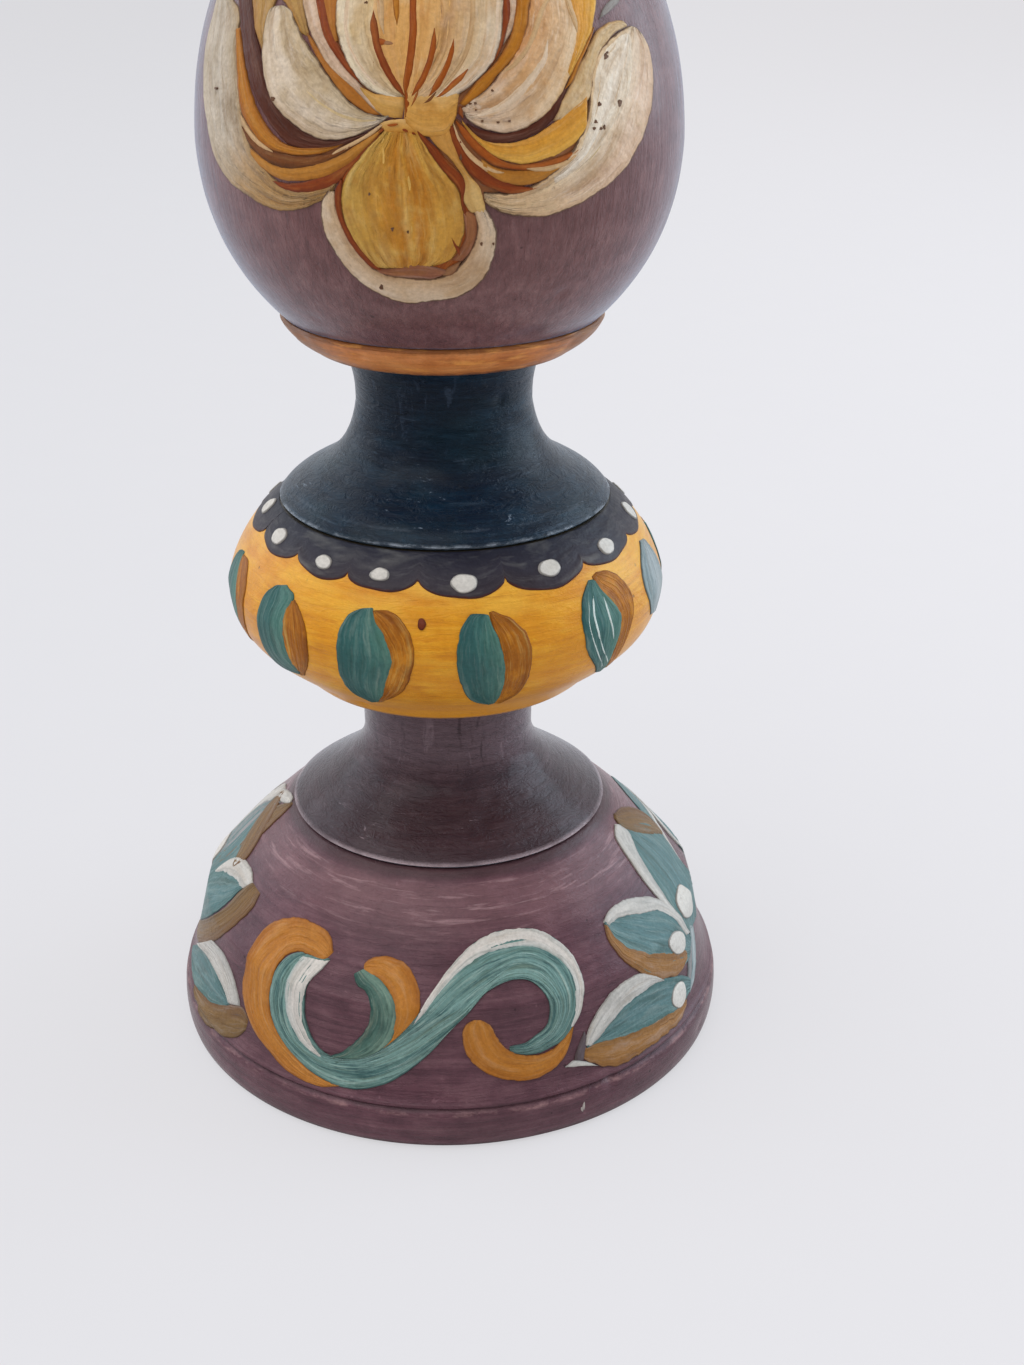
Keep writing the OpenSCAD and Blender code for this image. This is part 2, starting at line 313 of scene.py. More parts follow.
def lin(c):
    out = []
    for v, k in zip(c[:3], TINT):
        v = v / 255
        out.append(min(0.95, k * (v / 12.92 if v <= 0.04045 else ((v + 0.055) / 1.055) ** 2.4)))
    return (*out, 1.0)


class Graph:
    def __init__(self, name):
        self.mat = bpy.data.materials.new(name)
        self.mat.use_nodes = True
        self.t = self.mat.node_tree
        for n in list(self.t.nodes):
            self.t.nodes.remove(n)
        self.out = self.t.nodes.new("ShaderNodeOutputMaterial")
        self.b = self.t.nodes.new("ShaderNodeBsdfPrincipled")
        self.t.links.new(self.b.outputs[0], self.out.inputs[0])

    def put(self, sock, v):
        if isinstance(v, bpy.types.NodeSocket):
            self.t.links.new(v, sock)
        else:
            sock.default_value = v

    def n(self, kind, ins=None, out=0, **props):
        nd = self.t.nodes.new("ShaderNode" + kind)
        for k, v in props.items():
            setattr(nd, k, v)
        for k, v in (ins or {}).items():
            self.put(nd.inputs[k], v)
        return nd.outputs[out]

    def math(self, op, a, b=0.0, c=None, clamp=False):
        nd = self.t.nodes.new("ShaderNodeMath"); nd.operation = op; nd.use_clamp = clamp
        self.put(nd.inputs[0], a); self.put(nd.inputs[1], b)
        if c is not None:
            self.put(nd.inputs[2], c)
        return nd.outputs[0]

    def vmul(self, v, s):
        nd = self.t.nodes.new("ShaderNodeVectorMath"); nd.operation = "MULTIPLY"
        self.put(nd.inputs[0], v); self.put(nd.inputs[1], s)
        return nd.outputs[0]

    def mix(self, f, a, b, mode="MIX"):
        nd = self.t.nodes.new("ShaderNodeMix"); nd.data_type = "RGBA"; nd.blend_type = mode
        self.put(nd.inputs[0], f); self.put(nd.inputs[6], a); self.put(nd.inputs[7], b)
        return nd.outputs[2]

    def noise(self, vec, scale=1.0, detail=3.0, rough=0.55, out=0, dist=0.0):
        return self.n("TexNoise", {"Vector": vec, "Scale": scale, "Detail": detail, "Roughness": rough, "Distortion": dist}, out)

    def remap(self, x, a, b, c=0.0, d=1.0, smooth=False):
        nd = self.t.nodes.new("ShaderNodeMapRange"); nd.clamp = True
        if smooth:
            nd.interpolation_type = "SMOOTHSTEP"
        for i, v in enumerate((x, a, b, c, d)):
            self.put(nd.inputs[i], v)
        return nd.outputs[0]

    def ramp(self, x, stops, interp="LINEAR"):
        nd = self.t.nodes.new("ShaderNodeValToRGB")
        cr = nd.color_ramp; cr.interpolation = interp
        while len(cr.elements) > 1:
            cr.elements.remove(cr.elements[-1])
        cr.elements[0].position = stops[0][0]; cr.elements[0].color = lin(stops[0][1])
        for p, c in stops[1:]:
            e = cr.elements.new(p); e.color = lin(c)
        self.put(nd.inputs[0], x)
        return nd.outputs[0]

    def finish(self, color, rough, heights, coat=0.0, coat_rough=0.2, spec=0.5, ior=1.5, coat_ior=1.5):
        """heights: list of (height in mm, strength)."""
        self.b.inputs["IOR"].default_value = ior
        self.b.inputs["Coat IOR"].default_value = coat_ior
        self.put(self.b.inputs["Base Color"], color)
        self.put(self.b.inputs["Roughness"], rough)
        self.b.inputs["Specular IOR Level"].default_value = spec
        self.b.inputs["Coat Weight"].default_value = coat
        self.b.inputs["Coat Roughness"].default_value = coat_rough
        nrm = None
        for h, s in heights:
            nd = self.t.nodes.new("ShaderNodeBump")
            nd.inputs["Strength"].default_value = s
            nd.inputs["Distance"].default_value = MM
            self.put(nd.inputs["Height"], h)
            if nrm is not None:
                self.t.links.new(nrm, nd.inputs["Normal"])
            nrm = nd.outputs[0]
        if nrm is not None:
            self.t.links.new(nrm, self.b.inputs["Normal"])
        return self.mat


def turned_paint(name, base, dark, light, rough=(0.36, 0.52), ridges="h", ridge_amt=0.05, coat=0.0, coat_rough=0.2, ior=1.5, coat_ior=1.5, extra=None, mottled=0.5, specks=0.12, wrinkle=0.0, sheen=0.0, sheen_col=(0.62, 0.80, 1.0, 1.0), grain=0.14):
    """Brushed paint on turned wood. Colours are what the eye sees under white light."""
    TINT[:] = CAL.get(name, (1, 1, 1))
    g = Graph(name)
    co = g.t.nodes.new("ShaderNodeTexCoord").outputs["Object"]
    mm = g.vmul(co, (1000.0, 1000.0, 1000.0))
    if ridges == "h":
        st = g.vmul(mm, (0.055, 0.055, 1.0)); st2 = g.vmul(mm, (0.16, 0.16, 2.3))
    else:
        st = g.vmul(mm, (0.95, 0.95, 0.055)); st2 = g.vmul(mm, (2.1, 2.1, 0.16))
    big = g.noise(g.vmul(mm, (0.05, 0.05, 0.05)), 1.0, 3.0)
    midn = g.noise(g.vmul(mm, (0.22, 0.22, 0.35)), 1.0, 4.0)
    s1 = g.noise(st, 1.1, 4.0, 0.6, dist=0.35)
    s2 = g.noise(st2, 1.3, 3.0, 0.6, dist=0.2)
    fine = g.noise(mm, 2.6, 4.0, 0.65)
    k = g.math("ADD", g.math("MULTIPLY", s1, 0.5), g.math("MULTIPLY", midn, 0.5))
    col = g.ramp(k, [(0.33, dark), (0.50, base), (0.68, light)])
    col = g.mix(g.remap(big, 0.35, 0.7, 0.0, mottled), col, lin(dark), "MIX")
    thin = g.remap(s2, 0.60, 0.74, 0.0, 0.30)
    col = g.mix(thin, col, lin(light))
    sp = g.remap(g.noise(mm, 0.9, 2.0, 0.5), 0.72, 0.77, 0.0, specks)
    col = g.mix(sp, col, lin(tuple(min(255, v * 1.4 + 20) for v in light)))
    pore = g.remap(g.noise(g.vmul(mm, (1.0, 1.0, 1.0)), 0.60, 1.0), 0.765, 0.795, 0.0, 0.6)
    col = g.mix(pore, col, g.mix(1.0, col, lin((112, 104, 100)), "MULTIPLY"))
    if extra:
        col = extra(g, col, mm, co, s1, s2, fine)
    gr = g.remap(g.math("ADD", g.math("MULTIPLY", g.noise(mm, 1.6, 3.0, 0.7), 0.6), g.math("MULTIPLY", s2, 0.4)), 0.32, 0.68, 1.0 - grain, 1.0 + grain)
    cg = g.t.nodes.new("ShaderNodeVectorMath"); cg.operation = "SCALE"; g.put(cg.inputs[0], col); g.put(cg.inputs["Scale"], gr); col = cg.outputs[0]
    rg = g.remap(g.math("ADD", g.math("MULTIPLY", s1, 0.6), g.math("MULTIPLY", fine, 0.4)), 0.3, 0.7, rough[0], rough[1])
    heights = [(g.math("MULTIPLY", s1, ridge_amt * 4), 1.0), (g.math("MULTIPLY", s2, ridge_amt * 1.6), 1.0), (g.math("MULTIPLY", fine, 0.035), 1.0),
               (g.math("MULTIPLY", midn, 0.16), 1.0), (g.math("MULTIPLY", pore, -0.06), 1.0)]
    if wrinkle > 0:
        wv = (0.20, 0.20, 0.75) if ridges == "h" else (0.85, 0.85, 0.16)
        wr = g.noise(g.vmul(mm, wv), 1.0, 4.0, 0.65, dist=0.9)
        rd = g.math("ABSOLUTE", g.math("SUBTRACT", wr, 0.5))
        heights.append((g.math("MULTIPLY", g.remap(rd, 0.0, 0.10, 1.0, 0.0), wrinkle), 1.0))
    if sheen > 0:
        g.b.inputs["Sheen Weight"].default_value = sheen
        g.b.inputs["Sheen Roughness"].default_value = 0.35
        g.b.inputs["Sheen Tint"].default_value = sheen_col
    return g.finish(col, rg, heights, coat, coat_rough, 0.5, ior, coat_ior)


def stroke_paint(name, stops, tail=None, streak=0.35, lines=None, line_amt=0.0, outline=0.6, outline_col=(74, 42, 26), out_w=0.20, rough=(0.34, 0.5), pits=0.0, wobble=0.10, thin=0.0, thin_col=(100, 72, 78), blotch=None, blotch_amt=0.0, freq=1.0, relief_amt=1.0, line_w=1.0):
    """Paint laid down by a loaded brush. UV: x is mm along the stroke, y is 0 to 1 across it. Attributes: run 0 to 1 along, edge mm to the outline, wid mm across."""
    TINT[:] = CAL.get(name, (1, 1, 1))
    g = Graph(name)
    uv = g.t.nodes.new("ShaderNodeTexCoord").outputs["UV"]
    sep = g.t.nodes.new("ShaderNodeSeparateXYZ"); g.put(sep.inputs[0], uv)
    u, v = sep.outputs[0], sep.outputs[1]
    obj = g.vmul(g.t.nodes.new("ShaderNodeTexCoord").outputs["Object"], (1000.0, 1000.0, 1000.0))
    at1 = g.t.nodes.new("ShaderNodeAttribute"); at1.attribute_name = "edge"; edge = at1.outputs["Fac"]
    at2 = g.t.nodes.new("ShaderNodeAttribute"); at2.attribute_name = "run"; runf = at2.outputs["Fac"]
    at3 = g.t.nodes.new("ShaderNodeAttribute"); at3.attribute_name = "wid"; wid = at3.outputs["Fac"]
    comb = g.t.nodes.new("ShaderNodeCombineXYZ"); g.put(comb.inputs[0], u); g.put(comb.inputs[1], g.math("MULTIPLY", v, wid)); vec = comb.outputs[0]
    wob = g.noise(g.vmul(vec, (0.09, 0.30, 1.0)), 1.0, 2.0)
    st = g.noise(g.vmul(vec, (0.11, 0.85 * freq, 1.0)), 1.0, 3.0, 0.55, dist=0.3)
    st2 = g.noise(g.vmul(vec, (0.26, 3.0 * freq, 1.0)), 1.0, 3.0, 0.6, dist=0.2)
    patch = g.noise(obj, 0.33, 3.0, 0.6)
    vv = g.math("ADD", v, g.math("MULTIPLY", g.math("SUBTRACT", wob, 0.5), wobble * 2.4))
    vv = g.math("ADD", vv, g.math("MULTIPLY", g.math("SUBTRACT", st2, 0.5), 0.16))
    col = g.ramp(vv, stops)
    if tail:
        tcol, a, b = tail
        k = g.math("ADD", runf, g.math("MULTIPLY", g.math("SUBTRACT", st, 0.5), 0.35))
        col = g.mix(g.remap(k, a, b, 0.0, 1.0, True), col, lin(tcol))
    if blotch:
        col = g.mix(g.remap(g.math("ADD", g.math("MULTIPLY", patch, 0.6), g.math("MULTIPLY", wob, 0.4)), 0.47, 0.66, 0.0, blotch_amt, True), col, lin(blotch))
    dk = g.remap(st, 0.32, 0.50, streak, 0.0)
    col = g.mix(dk, col, g.mix(1.0, col, (0.60, 0.50, 0.40, 1.0), "MULTIPLY"))
    lt = g.remap(st, 0.54, 0.72, 0.0, streak * 0.75)
    col = g.mix(lt, col, g.mix(0.30, col, lin((255, 246, 230))))
    f2 = g.remap(st2, 0.52, 0.74, 0.0, streak * 0.45)
    col = g.mix(f2, col, g.mix(0.25, col, lin((255, 250, 240))))
    if lines:
        ln = g.remap(g.math("ABSOLUTE", g.math("SUBTRACT", g.noise(g.vmul(vec, (0.05, 0.42 * freq, 1.0)), 1.0, 2.0), 0.5)), 0.008 * line_w, 0.045 * line_w, line_amt, 0.0)
        ln = g.math("MULTIPLY", ln, g.remap(patch, 0.40, 0.60, 0.35, 1.0))
        col = g.mix(ln, col, lin(lines))
    if thin > 0:
        th = g.remap(g.noise(g.vmul(vec, (0.13, 1.5 * freq, 1.0)), 1.0, 5.0, 0.75), 0.56, 0.70, 0.0, thin)
        col = g.mix(th, col, lin(thin_col))
    gr = g.remap(g.noise(obj, 1.9, 3.0, 0.7), 0.30, 0.70, 0.88, 1.12)
    cg = g.t.nodes.new("ShaderNodeVectorMath"); cg.operation = "SCALE"; g.put(cg.inputs[0], col); g.put(cg.inputs["Scale"], gr); col = cg.outputs[0]
    en = g.math("ADD", edge, g.math("MULTIPLY", g.math("SUBTRACT", g.noise(obj, 0.7, 4.0, 0.7), 0.5), out_w * 1.9))
    ol = g.remap(en, out_w * 0.30, out_w, outline, 0.0, True)
    col = g.mix(ol, col, lin(outline_col))
    hs = [(g.math("MULTIPLY", st, 0.34 * relief_amt), 1.0), (g.math("MULTIPLY", st2, 0.07 * relief_amt), 1.0), (g.math("MULTIPLY", patch, 0.22 * relief_amt), 1.0), (g.math("MULTIPLY", g.noise(obj, 2.4, 3.0), 0.022), 1.0)]
    if pits > 0:
        vo = g.n("TexVoronoi", {"Vector": obj, "Scale": 0.42, "Randomness": 1.0}, out=0)
        gate = g.remap(g.noise(obj, 0.16, 1.0), 0.52, 0.62, 0.0, 1.0)
        pt = g.math("MULTIPLY", g.remap(vo, 0.06, 0.13, 1.0, 0.0), gate)
        col = g.mix(g.math("MULTIPLY", pt, pits), col, lin((92, 62, 40)))
        hs.append((g.math("MULTIPLY", pt, -0.15), 1.0))
    rg = g.remap(st, 0.3, 0.7, rough[0], rough[1])
    return g.finish(col, rg, hs, 0.0, 0.3, 0.5, 1.26)


def line_at(g, z, z0, w):
    """1 on the height z0, falling to 0 at a distance w."""
    return g.math("SUBTRACT", 1.0, g.math("DIVIDE", g.math("ABSOLUTE", g.math("SUBTRACT", z, z0)), w), clamp=True)


def plum_extra(g, col, mm, co, s1, s2, fine):
    sep = g.t.nodes.new("ShaderNodeSeparateXYZ"); g.put(sep.inputs[0], mm)
    wob = g.math("MULTIPLY", g.math("SUBTRACT", g.noise(g.vmul(mm, (0.3, 0.3, 0.5)), 1.0, 4.0, 0.7), 0.5), 0.8)
    z = g.math("ADD", sep.outputs[2], wob)
    hue = g.remap(g.noise(g.vmul(mm, (0.045, 0.045, 0.07)), 1.0, 2.0), 0.40, 0.62, 0.0, 1.0)
    col = g.mix(g.math("MULTIPLY", hue, 0.55), col, g.mix(1.0, col, (0.86, 0.93, 0.88, 1.0), "MULTIPLY"))
    streaks = g.remap(g.noise(g.vmul(mm, (0.10, 0.10, 1.5)), 1.0, 4.0, 0.65, dist=0.4), 0.54, 0.66, 0.0, 1.0)
    # Lighter band with light streaks on the foot's upper slope just under the collar: painted highlight.
    band = g.math("MULTIPLY", g.remap(z, z_collar - 9.0, z_collar - 4.0, 0.0, 1.0, True), g.remap(z, z_collar - 2.2, z_collar - 1.2, 1.0, 0.0, True))
    col = g.mix(g.math("MULTIPLY", band, 0.35), col, lin((134, 106, 110)))
    col = g.mix(g.math("MULTIPLY", g.math("MULTIPLY", streaks, band), 0.55), col, lin((166, 142, 146)))
    # Darker just under the collar's lip: painted shade in the groove between foot and collar.
    groove = g.remap(z, z_collar - 1.7, z_collar - 0.6, 0.0, 0.62, True)
    col = g.mix(groove, col, lin((64, 50, 52)))
    # A broken light line along the flange's upper edge: partly edge wear, partly painted highlight.
    gate = g.remap(g.noise(g.vmul(mm, (0.22, 0.22, 0.4)), 1.0, 4.0, 0.7), 0.46, 0.60, 0.0, 1.0)
    col = g.mix(g.math("MULTIPLY", line_at(g, z, rim_line - 0.10, 0.45), g.math("MULTIPLY", gate, 0.55)), col, lin((168, 140, 138)))
    # Very dark along the bottom edge: painted contact shadow where the foot meets the floor.
    col = g.mix(g.remap(z, 0.2, 1.3, 0.8, 0.0, True), col, lin((26, 18, 24)))
    # A dark line in the groove above the flange: painted shade.
    return g.mix(g.math("MULTIPLY", line_at(g, z, rim_line + 0.70, 0.45), 0.5), col, lin((56, 38, 44)))


def collar_extra(g, col, mm, co, s1, s2, fine):
    sep = g.t.nodes.new("ShaderNodeSeparateXYZ"); g.put(sep.inputs[0], mm)
    z = g.math("ADD", sep.outputs[2], g.math("MULTIPLY", g.math("SUBTRACT", fine, 0.5), 0.25))
    # Lighter towards the neck: painted reflection; darker low on the flare: painted shade.
    col = g.mix(g.remap(z, z_collar + 8.5, z_collar + 14.0, 0.0, 0.75, True), col, lin((116, 98, 104)))
    col = g.mix(g.remap(z, z_collar + 5.0, z_collar + 9.0, 0.55, 0.0, True), col, lin((56, 38, 44)))
    thinlines = g.remap(g.noise(g.vmul(mm, (0.12, 0.12, 1.5)), 1.0, 4.0, 0.7, dist=0.8), 0.61, 0.70, 0.0, 0.30)
    col = g.mix(thinlines, col, lin((122, 106, 112)))
    zone = g.math("MULTIPLY", g.remap(z, z_collar + 0.8, z_collar + 2.0, 0.0, 1.0, True), g.remap(z, z_collar + 6.0, z_collar + 10.0, 1.0, 0.0, True))
    patch = g.remap(g.noise(g.vmul(mm, (0.11, 0.11, 0.18)), 1.0, 2.0), 0.46, 0.60, 0.0, 1.0)
    glint = g.remap(g.noise(g.vmul(mm, (0.36, 0.36, 1.7)), 1.0, 5.0, 0.75, dist=1.4), 0.62, 0.69, 0.0, 0.5)
    col = g.mix(g.math("MULTIPLY", glint, g.math("MULTIPLY", zone, patch)), col, lin((168, 152, 158)))
    # Dark and light vertical lines on the neck: painted shade and painted highlight along paint folds.
    neckz = g.remap(z, z_collar + 9.0, z_collar + 13.0, 0.0, 1.0, True)
    fold_light_and_shade = g.noise(g.vmul(mm, (0.55, 0.55, 0.08)), 1.0, 4.0, 0.65, dist=0.8)
    col = g.mix(g.math("MULTIPLY", g.remap(fold_light_and_shade, 0.59, 0.68, 0.0, 0.65), neckz), col, lin((52, 34, 40)))
    col = g.mix(g.math("MULTIPLY", g.remap(fold_light_and_shade, 0.34, 0.40, 0.40, 0.0), neckz), col, lin((150, 132, 138)))
    # A light line along the collar's lip: painted highlight.
    lip_highlight = g.math("MULTIPLY", line_at(g, z, z_collar + 0.45, 0.50), g.remap(g.noise(g.vmul(mm, (0.12, 0.12, 0.3)), 1.0, 3.0, 0.6), 0.38, 0.55, 0.35, 0.9))
    return g.mix(lip_highlight, col, lin((188, 174, 178)))


def head_extra(g, col, mm, co, s1, s2, fine):
    scr = g.remap(g.noise(g.vmul(mm, (1.5, 1.5, 0.12)), 1.0, 4.0, 0.7, dist=0.5), 0.60, 0.70, 0.0, 0.45)
    return g.mix(scr, col, lin((58, 44, 48)))


M = {
    "plum": turned_paint("plum_paint_foot", (97, 67, 77), (74, 48, 58), (121, 91, 99), rough=(0.34, 0.50), ridge_amt=0.07, ior=1.26, coat=0.5, coat_rough=0.22, coat_ior=1.24, extra=plum_extra, wrinkle=0.05),
    "plum_collar": turned_paint("plum_paint_collar", (78, 56, 62), (56, 38, 46), (104, 84, 88), rough=(0.28, 0.44), ridge_amt=0.08, ior=1.26, coat=0.6, coat_rough=0.18, coat_ior=1.24, extra=collar_extra, wrinkle=0.09, sheen=0.20, grain=0.16),
    "plum_head": turned_paint("plum_paint_head", (99, 72, 76), (80, 54, 56), (118, 94, 98), rough=(0.36, 0.50), ridges="v", ridge_amt=0.07, ior=1.26, coat=0.8, coat_rough=0.24, coat_ior=1.26, wrinkle=0.07, sheen=0.34, sheen_col=(0.42, 0.68, 1.0, 1.0), extra=head_extra, grain=0.12),
}


def ring_extra(g, col, mm, co, s1, s2, fine):
    worn = g.remap(g.noise(g.vmul(mm, (0.12, 0.12, 0.8)), 1.0, 4.0, 0.7), 0.58, 0.70, 0.0, 0.50)
    col = g.mix(worn, col, lin((170, 104, 30)))
    sep = g.t.nodes.new("ShaderNodeSeparateXYZ"); g.put(sep.inputs[0], mm)
    wob = g.math("MULTIPLY", g.math("SUBTRACT", g.noise(g.vmul(mm, (0.25, 0.25, 0.6)), 1.0, 4.0, 0.7), 0.5), 1.0)
    z = g.math("ADD", sep.outputs[2], wob)
    pale = g.math("MULTIPLY", g.remap(z, z_ring + ring_h * 0.60, z_ring + ring_h * 0.80, 0.0, 1.0, True), g.remap(g.noise(g.vmul(mm, (0.09, 0.09, 0.3)), 1.0, 3.0), 0.42, 0.62, 0.0, 0.55))
    col = g.mix(pale, col, lin((222, 178, 112)))
    # Lighter low on the ring: painted light on its lower part.
    bright = g.remap(z, z_ring + 1.2, z_ring + 7.0, 0.6, 0.0, True)
    col = g.mix(bright, col, lin((222, 156, 50)))
    scr = g.remap(g.noise(g.vmul(mm, (0.07, 0.07, 1.9)), 1.0, 4.0, 0.7, dist=0.7), 0.63, 0.69, 0.0, 0.5)
    col = g.mix(scr, col, lin((146, 88, 30)))
    # Darker along the bottom edge and underside: painted shade under the ring.
    low = g.remap(z, z_ring + 0.0, z_ring + 0.7, 0.5, 0.0, True)
    col = g.mix(low, col, lin((128, 70, 30)))
    top = g.remap(z, z_upper - 1.2, z_upper - 0.7, 0.0, 1.0)
    return g.mix(top, col, lin((36, 32, 44)))


def band_extra(g, col, mm, co, s1, s2, fine):
    sep = g.t.nodes.new("ShaderNodeSeparateXYZ"); g.put(sep.inputs[0], mm)
    z = g.math("ADD", sep.outputs[2], g.math("MULTIPLY", g.math("SUBTRACT", g.noise(g.vmul(mm, (0.3, 0.3, 0.3)), 1.0, 4.0, 0.7), 0.5), 1.6))
    # A darker line just under the head: painted shade in the crease, partly dirt.
    top = g.remap(z, z_head - 0.9, z_head - 0.3, 0.0, 0.45)
    col = g.mix(top, col, lin((70, 44, 36)))
    # Darker along the band's lower edge: painted shade under the band.
    low = g.remap(z, z_band + 0.0, z_band + 0.7, 0.85, 0.0)
    col = g.mix(low, col, lin((46, 36, 40)))
    worn = g.remap(g.noise(g.vmul(mm, (0.4, 0.4, 1.4)), 1.0, 5.0, 0.75), 0.60, 0.70, 0.0, 0.6)
    col = g.mix(worn, col, lin((112, 70, 46)))
    gold = g.remap(g.noise(g.vmul(mm, (0.16, 0.16, 0.9)), 1.0, 3.0, 0.6), 0.56, 0.66, 0.0, 0.5)
    col = g.mix(gold, col, lin((206, 150, 84)))
    # Darker towards the left and right sides (large |x|): painted shade on the band's sides.
    away = g.remap(g.math("ADD", g.math("ABSOLUTE", sep.outputs[0]), g.math("MULTIPLY", g.math("SUBTRACT", g.noise(g.vmul(mm, (0.3, 0.3, 1.2)), 1.0, 4.0, 0.7), 0.5), 14.0)), 13.0, 20.0, 0.0, 0.78, True)
    return g.mix(away, col, lin((106, 74, 54)))


def navy_extra(g, col, mm, co, s1, s2, fine):
    sheen = g.remap(g.noise(g.vmul(mm, (0.06, 0.06, 0.12)), 1.0, 2.0), 0.45, 0.65, 0.0, 0.4)
    col = g.mix(sheen, col, lin((26, 50, 54)))
    sep = g.t.nodes.new("ShaderNodeSeparateXYZ"); g.put(sep.inputs[0], mm)
    z = g.math("ADD", sep.outputs[2], g.math("MULTIPLY", g.math("SUBTRACT", fine, 0.5), 0.35))
    gate = g.remap(g.noise(g.vmul(mm, (0.25, 0.25, 0.5)), 1.0, 4.0, 0.7), 0.46, 0.58, 0.1, 1.0)
    # Thin lighter streaks: painted highlights on the lacquer's ridges.
    thinlines = g.remap(g.noise(g.vmul(mm, (0.11, 0.11, 1.7)), 1.0, 4.0, 0.7, dist=0.8), 0.61, 0.69, 0.0, 0.42)
    col = g.mix(thinlines, col, raw((62, 78, 94)))
    zone = g.math("MULTIPLY", g.remap(z, z_upper + 0.8, z_upper + 2.0, 0.0, 1.0, True), g.remap(z, z_upper + 6.5, z_upper + 10.5, 1.0, 0.0, True))
    patch = g.remap(g.noise(g.vmul(mm, (0.10, 0.10, 0.16)), 1.0, 2.0), 0.44, 0.58, 0.0, 1.0)
    glint = g.remap(g.noise(g.vmul(mm, (0.34, 0.34, 1.7)), 1.0, 5.0, 0.75, dist=1.4), 0.61, 0.68, 0.0, 0.75)
    col = g.mix(g.math("MULTIPLY", glint, g.math("MULTIPLY", zone, patch)), col, raw((128, 142, 158)))
    # Lighter vertical lines on the neck: painted highlights along paint folds.
    fold_light_and_shade = g.remap(g.noise(g.vmul(mm, (0.62, 0.62, 0.10)), 1.0, 4.0, 0.65, dist=0.9), 0.60, 0.68, 0.0, 0.6)
    col = g.mix(g.math("MULTIPLY", fold_light_and_shade, g.remap(z, z_upper + 9.0, z_upper + 13.0, 0.0, 1.0, True)), col, raw((52, 66, 84)))
    # Dark crease lines: painted shade in the lacquer's creases.
    crease_shade = g.remap(g.noise(g.vmul(mm, (0.14, 0.14, 1.3)), 1.0, 4.0, 0.7, dist=0.9), 0.30, 0.38, 0.7, 0.0)
    col = g.mix(crease_shade, col, lin((8, 10, 20)))
    # A light line along the lip and a fainter one just above it: painted highlights.
    lip_highlight = g.math("MULTIPLY", line_at(g, z, z_upper + 0.45, 0.48), g.math("MULTIPLY", gate, 0.95))
    col = g.mix(lip_highlight, col, raw((146, 154, 164)))
    highlight_line = g.math("MULTIPLY", line_at(g, z, z_upper + 2.3, 0.22), g.math("MULTIPLY", gate, 0.35))
    return g.mix(highlight_line, col, raw((84, 94, 106)))


M["ochre"] = turned_paint("ochre_paint_ring", (202, 140, 44), (188, 122, 30), (216, 164, 78), rough=(0.34, 0.50), ridge_amt=0.035, extra=ring_extra, mottled=0.35, specks=0.1, ior=1.28, coat=0.5, coat_rough=0.3, coat_ior=1.25, wrinkle=0.035, sheen=0.10, sheen_col=(1.0, 0.95, 0.85, 1.0), grain=0.07)
M["navy"] = turned_paint("navy_paint_collar", (22, 36, 50), (14, 20, 36), (40, 58, 72), rough=(0.32, 0.44), ridge_amt=0.10, ior=1.20, coat=0.5, coat_rough=0.24, coat_ior=1.24, extra=navy_extra, wrinkle=0.13, sheen=0.20, sheen_col=(0.5, 0.74, 1.0, 1.0), grain=0.22)
M["copper"] = turned_paint("copper_paint_band", (170, 110, 62), (142, 86, 48), (192, 136, 88), rough=(0.34, 0.52), ridge_amt=0.04, extra=band_extra, ior=1.4)

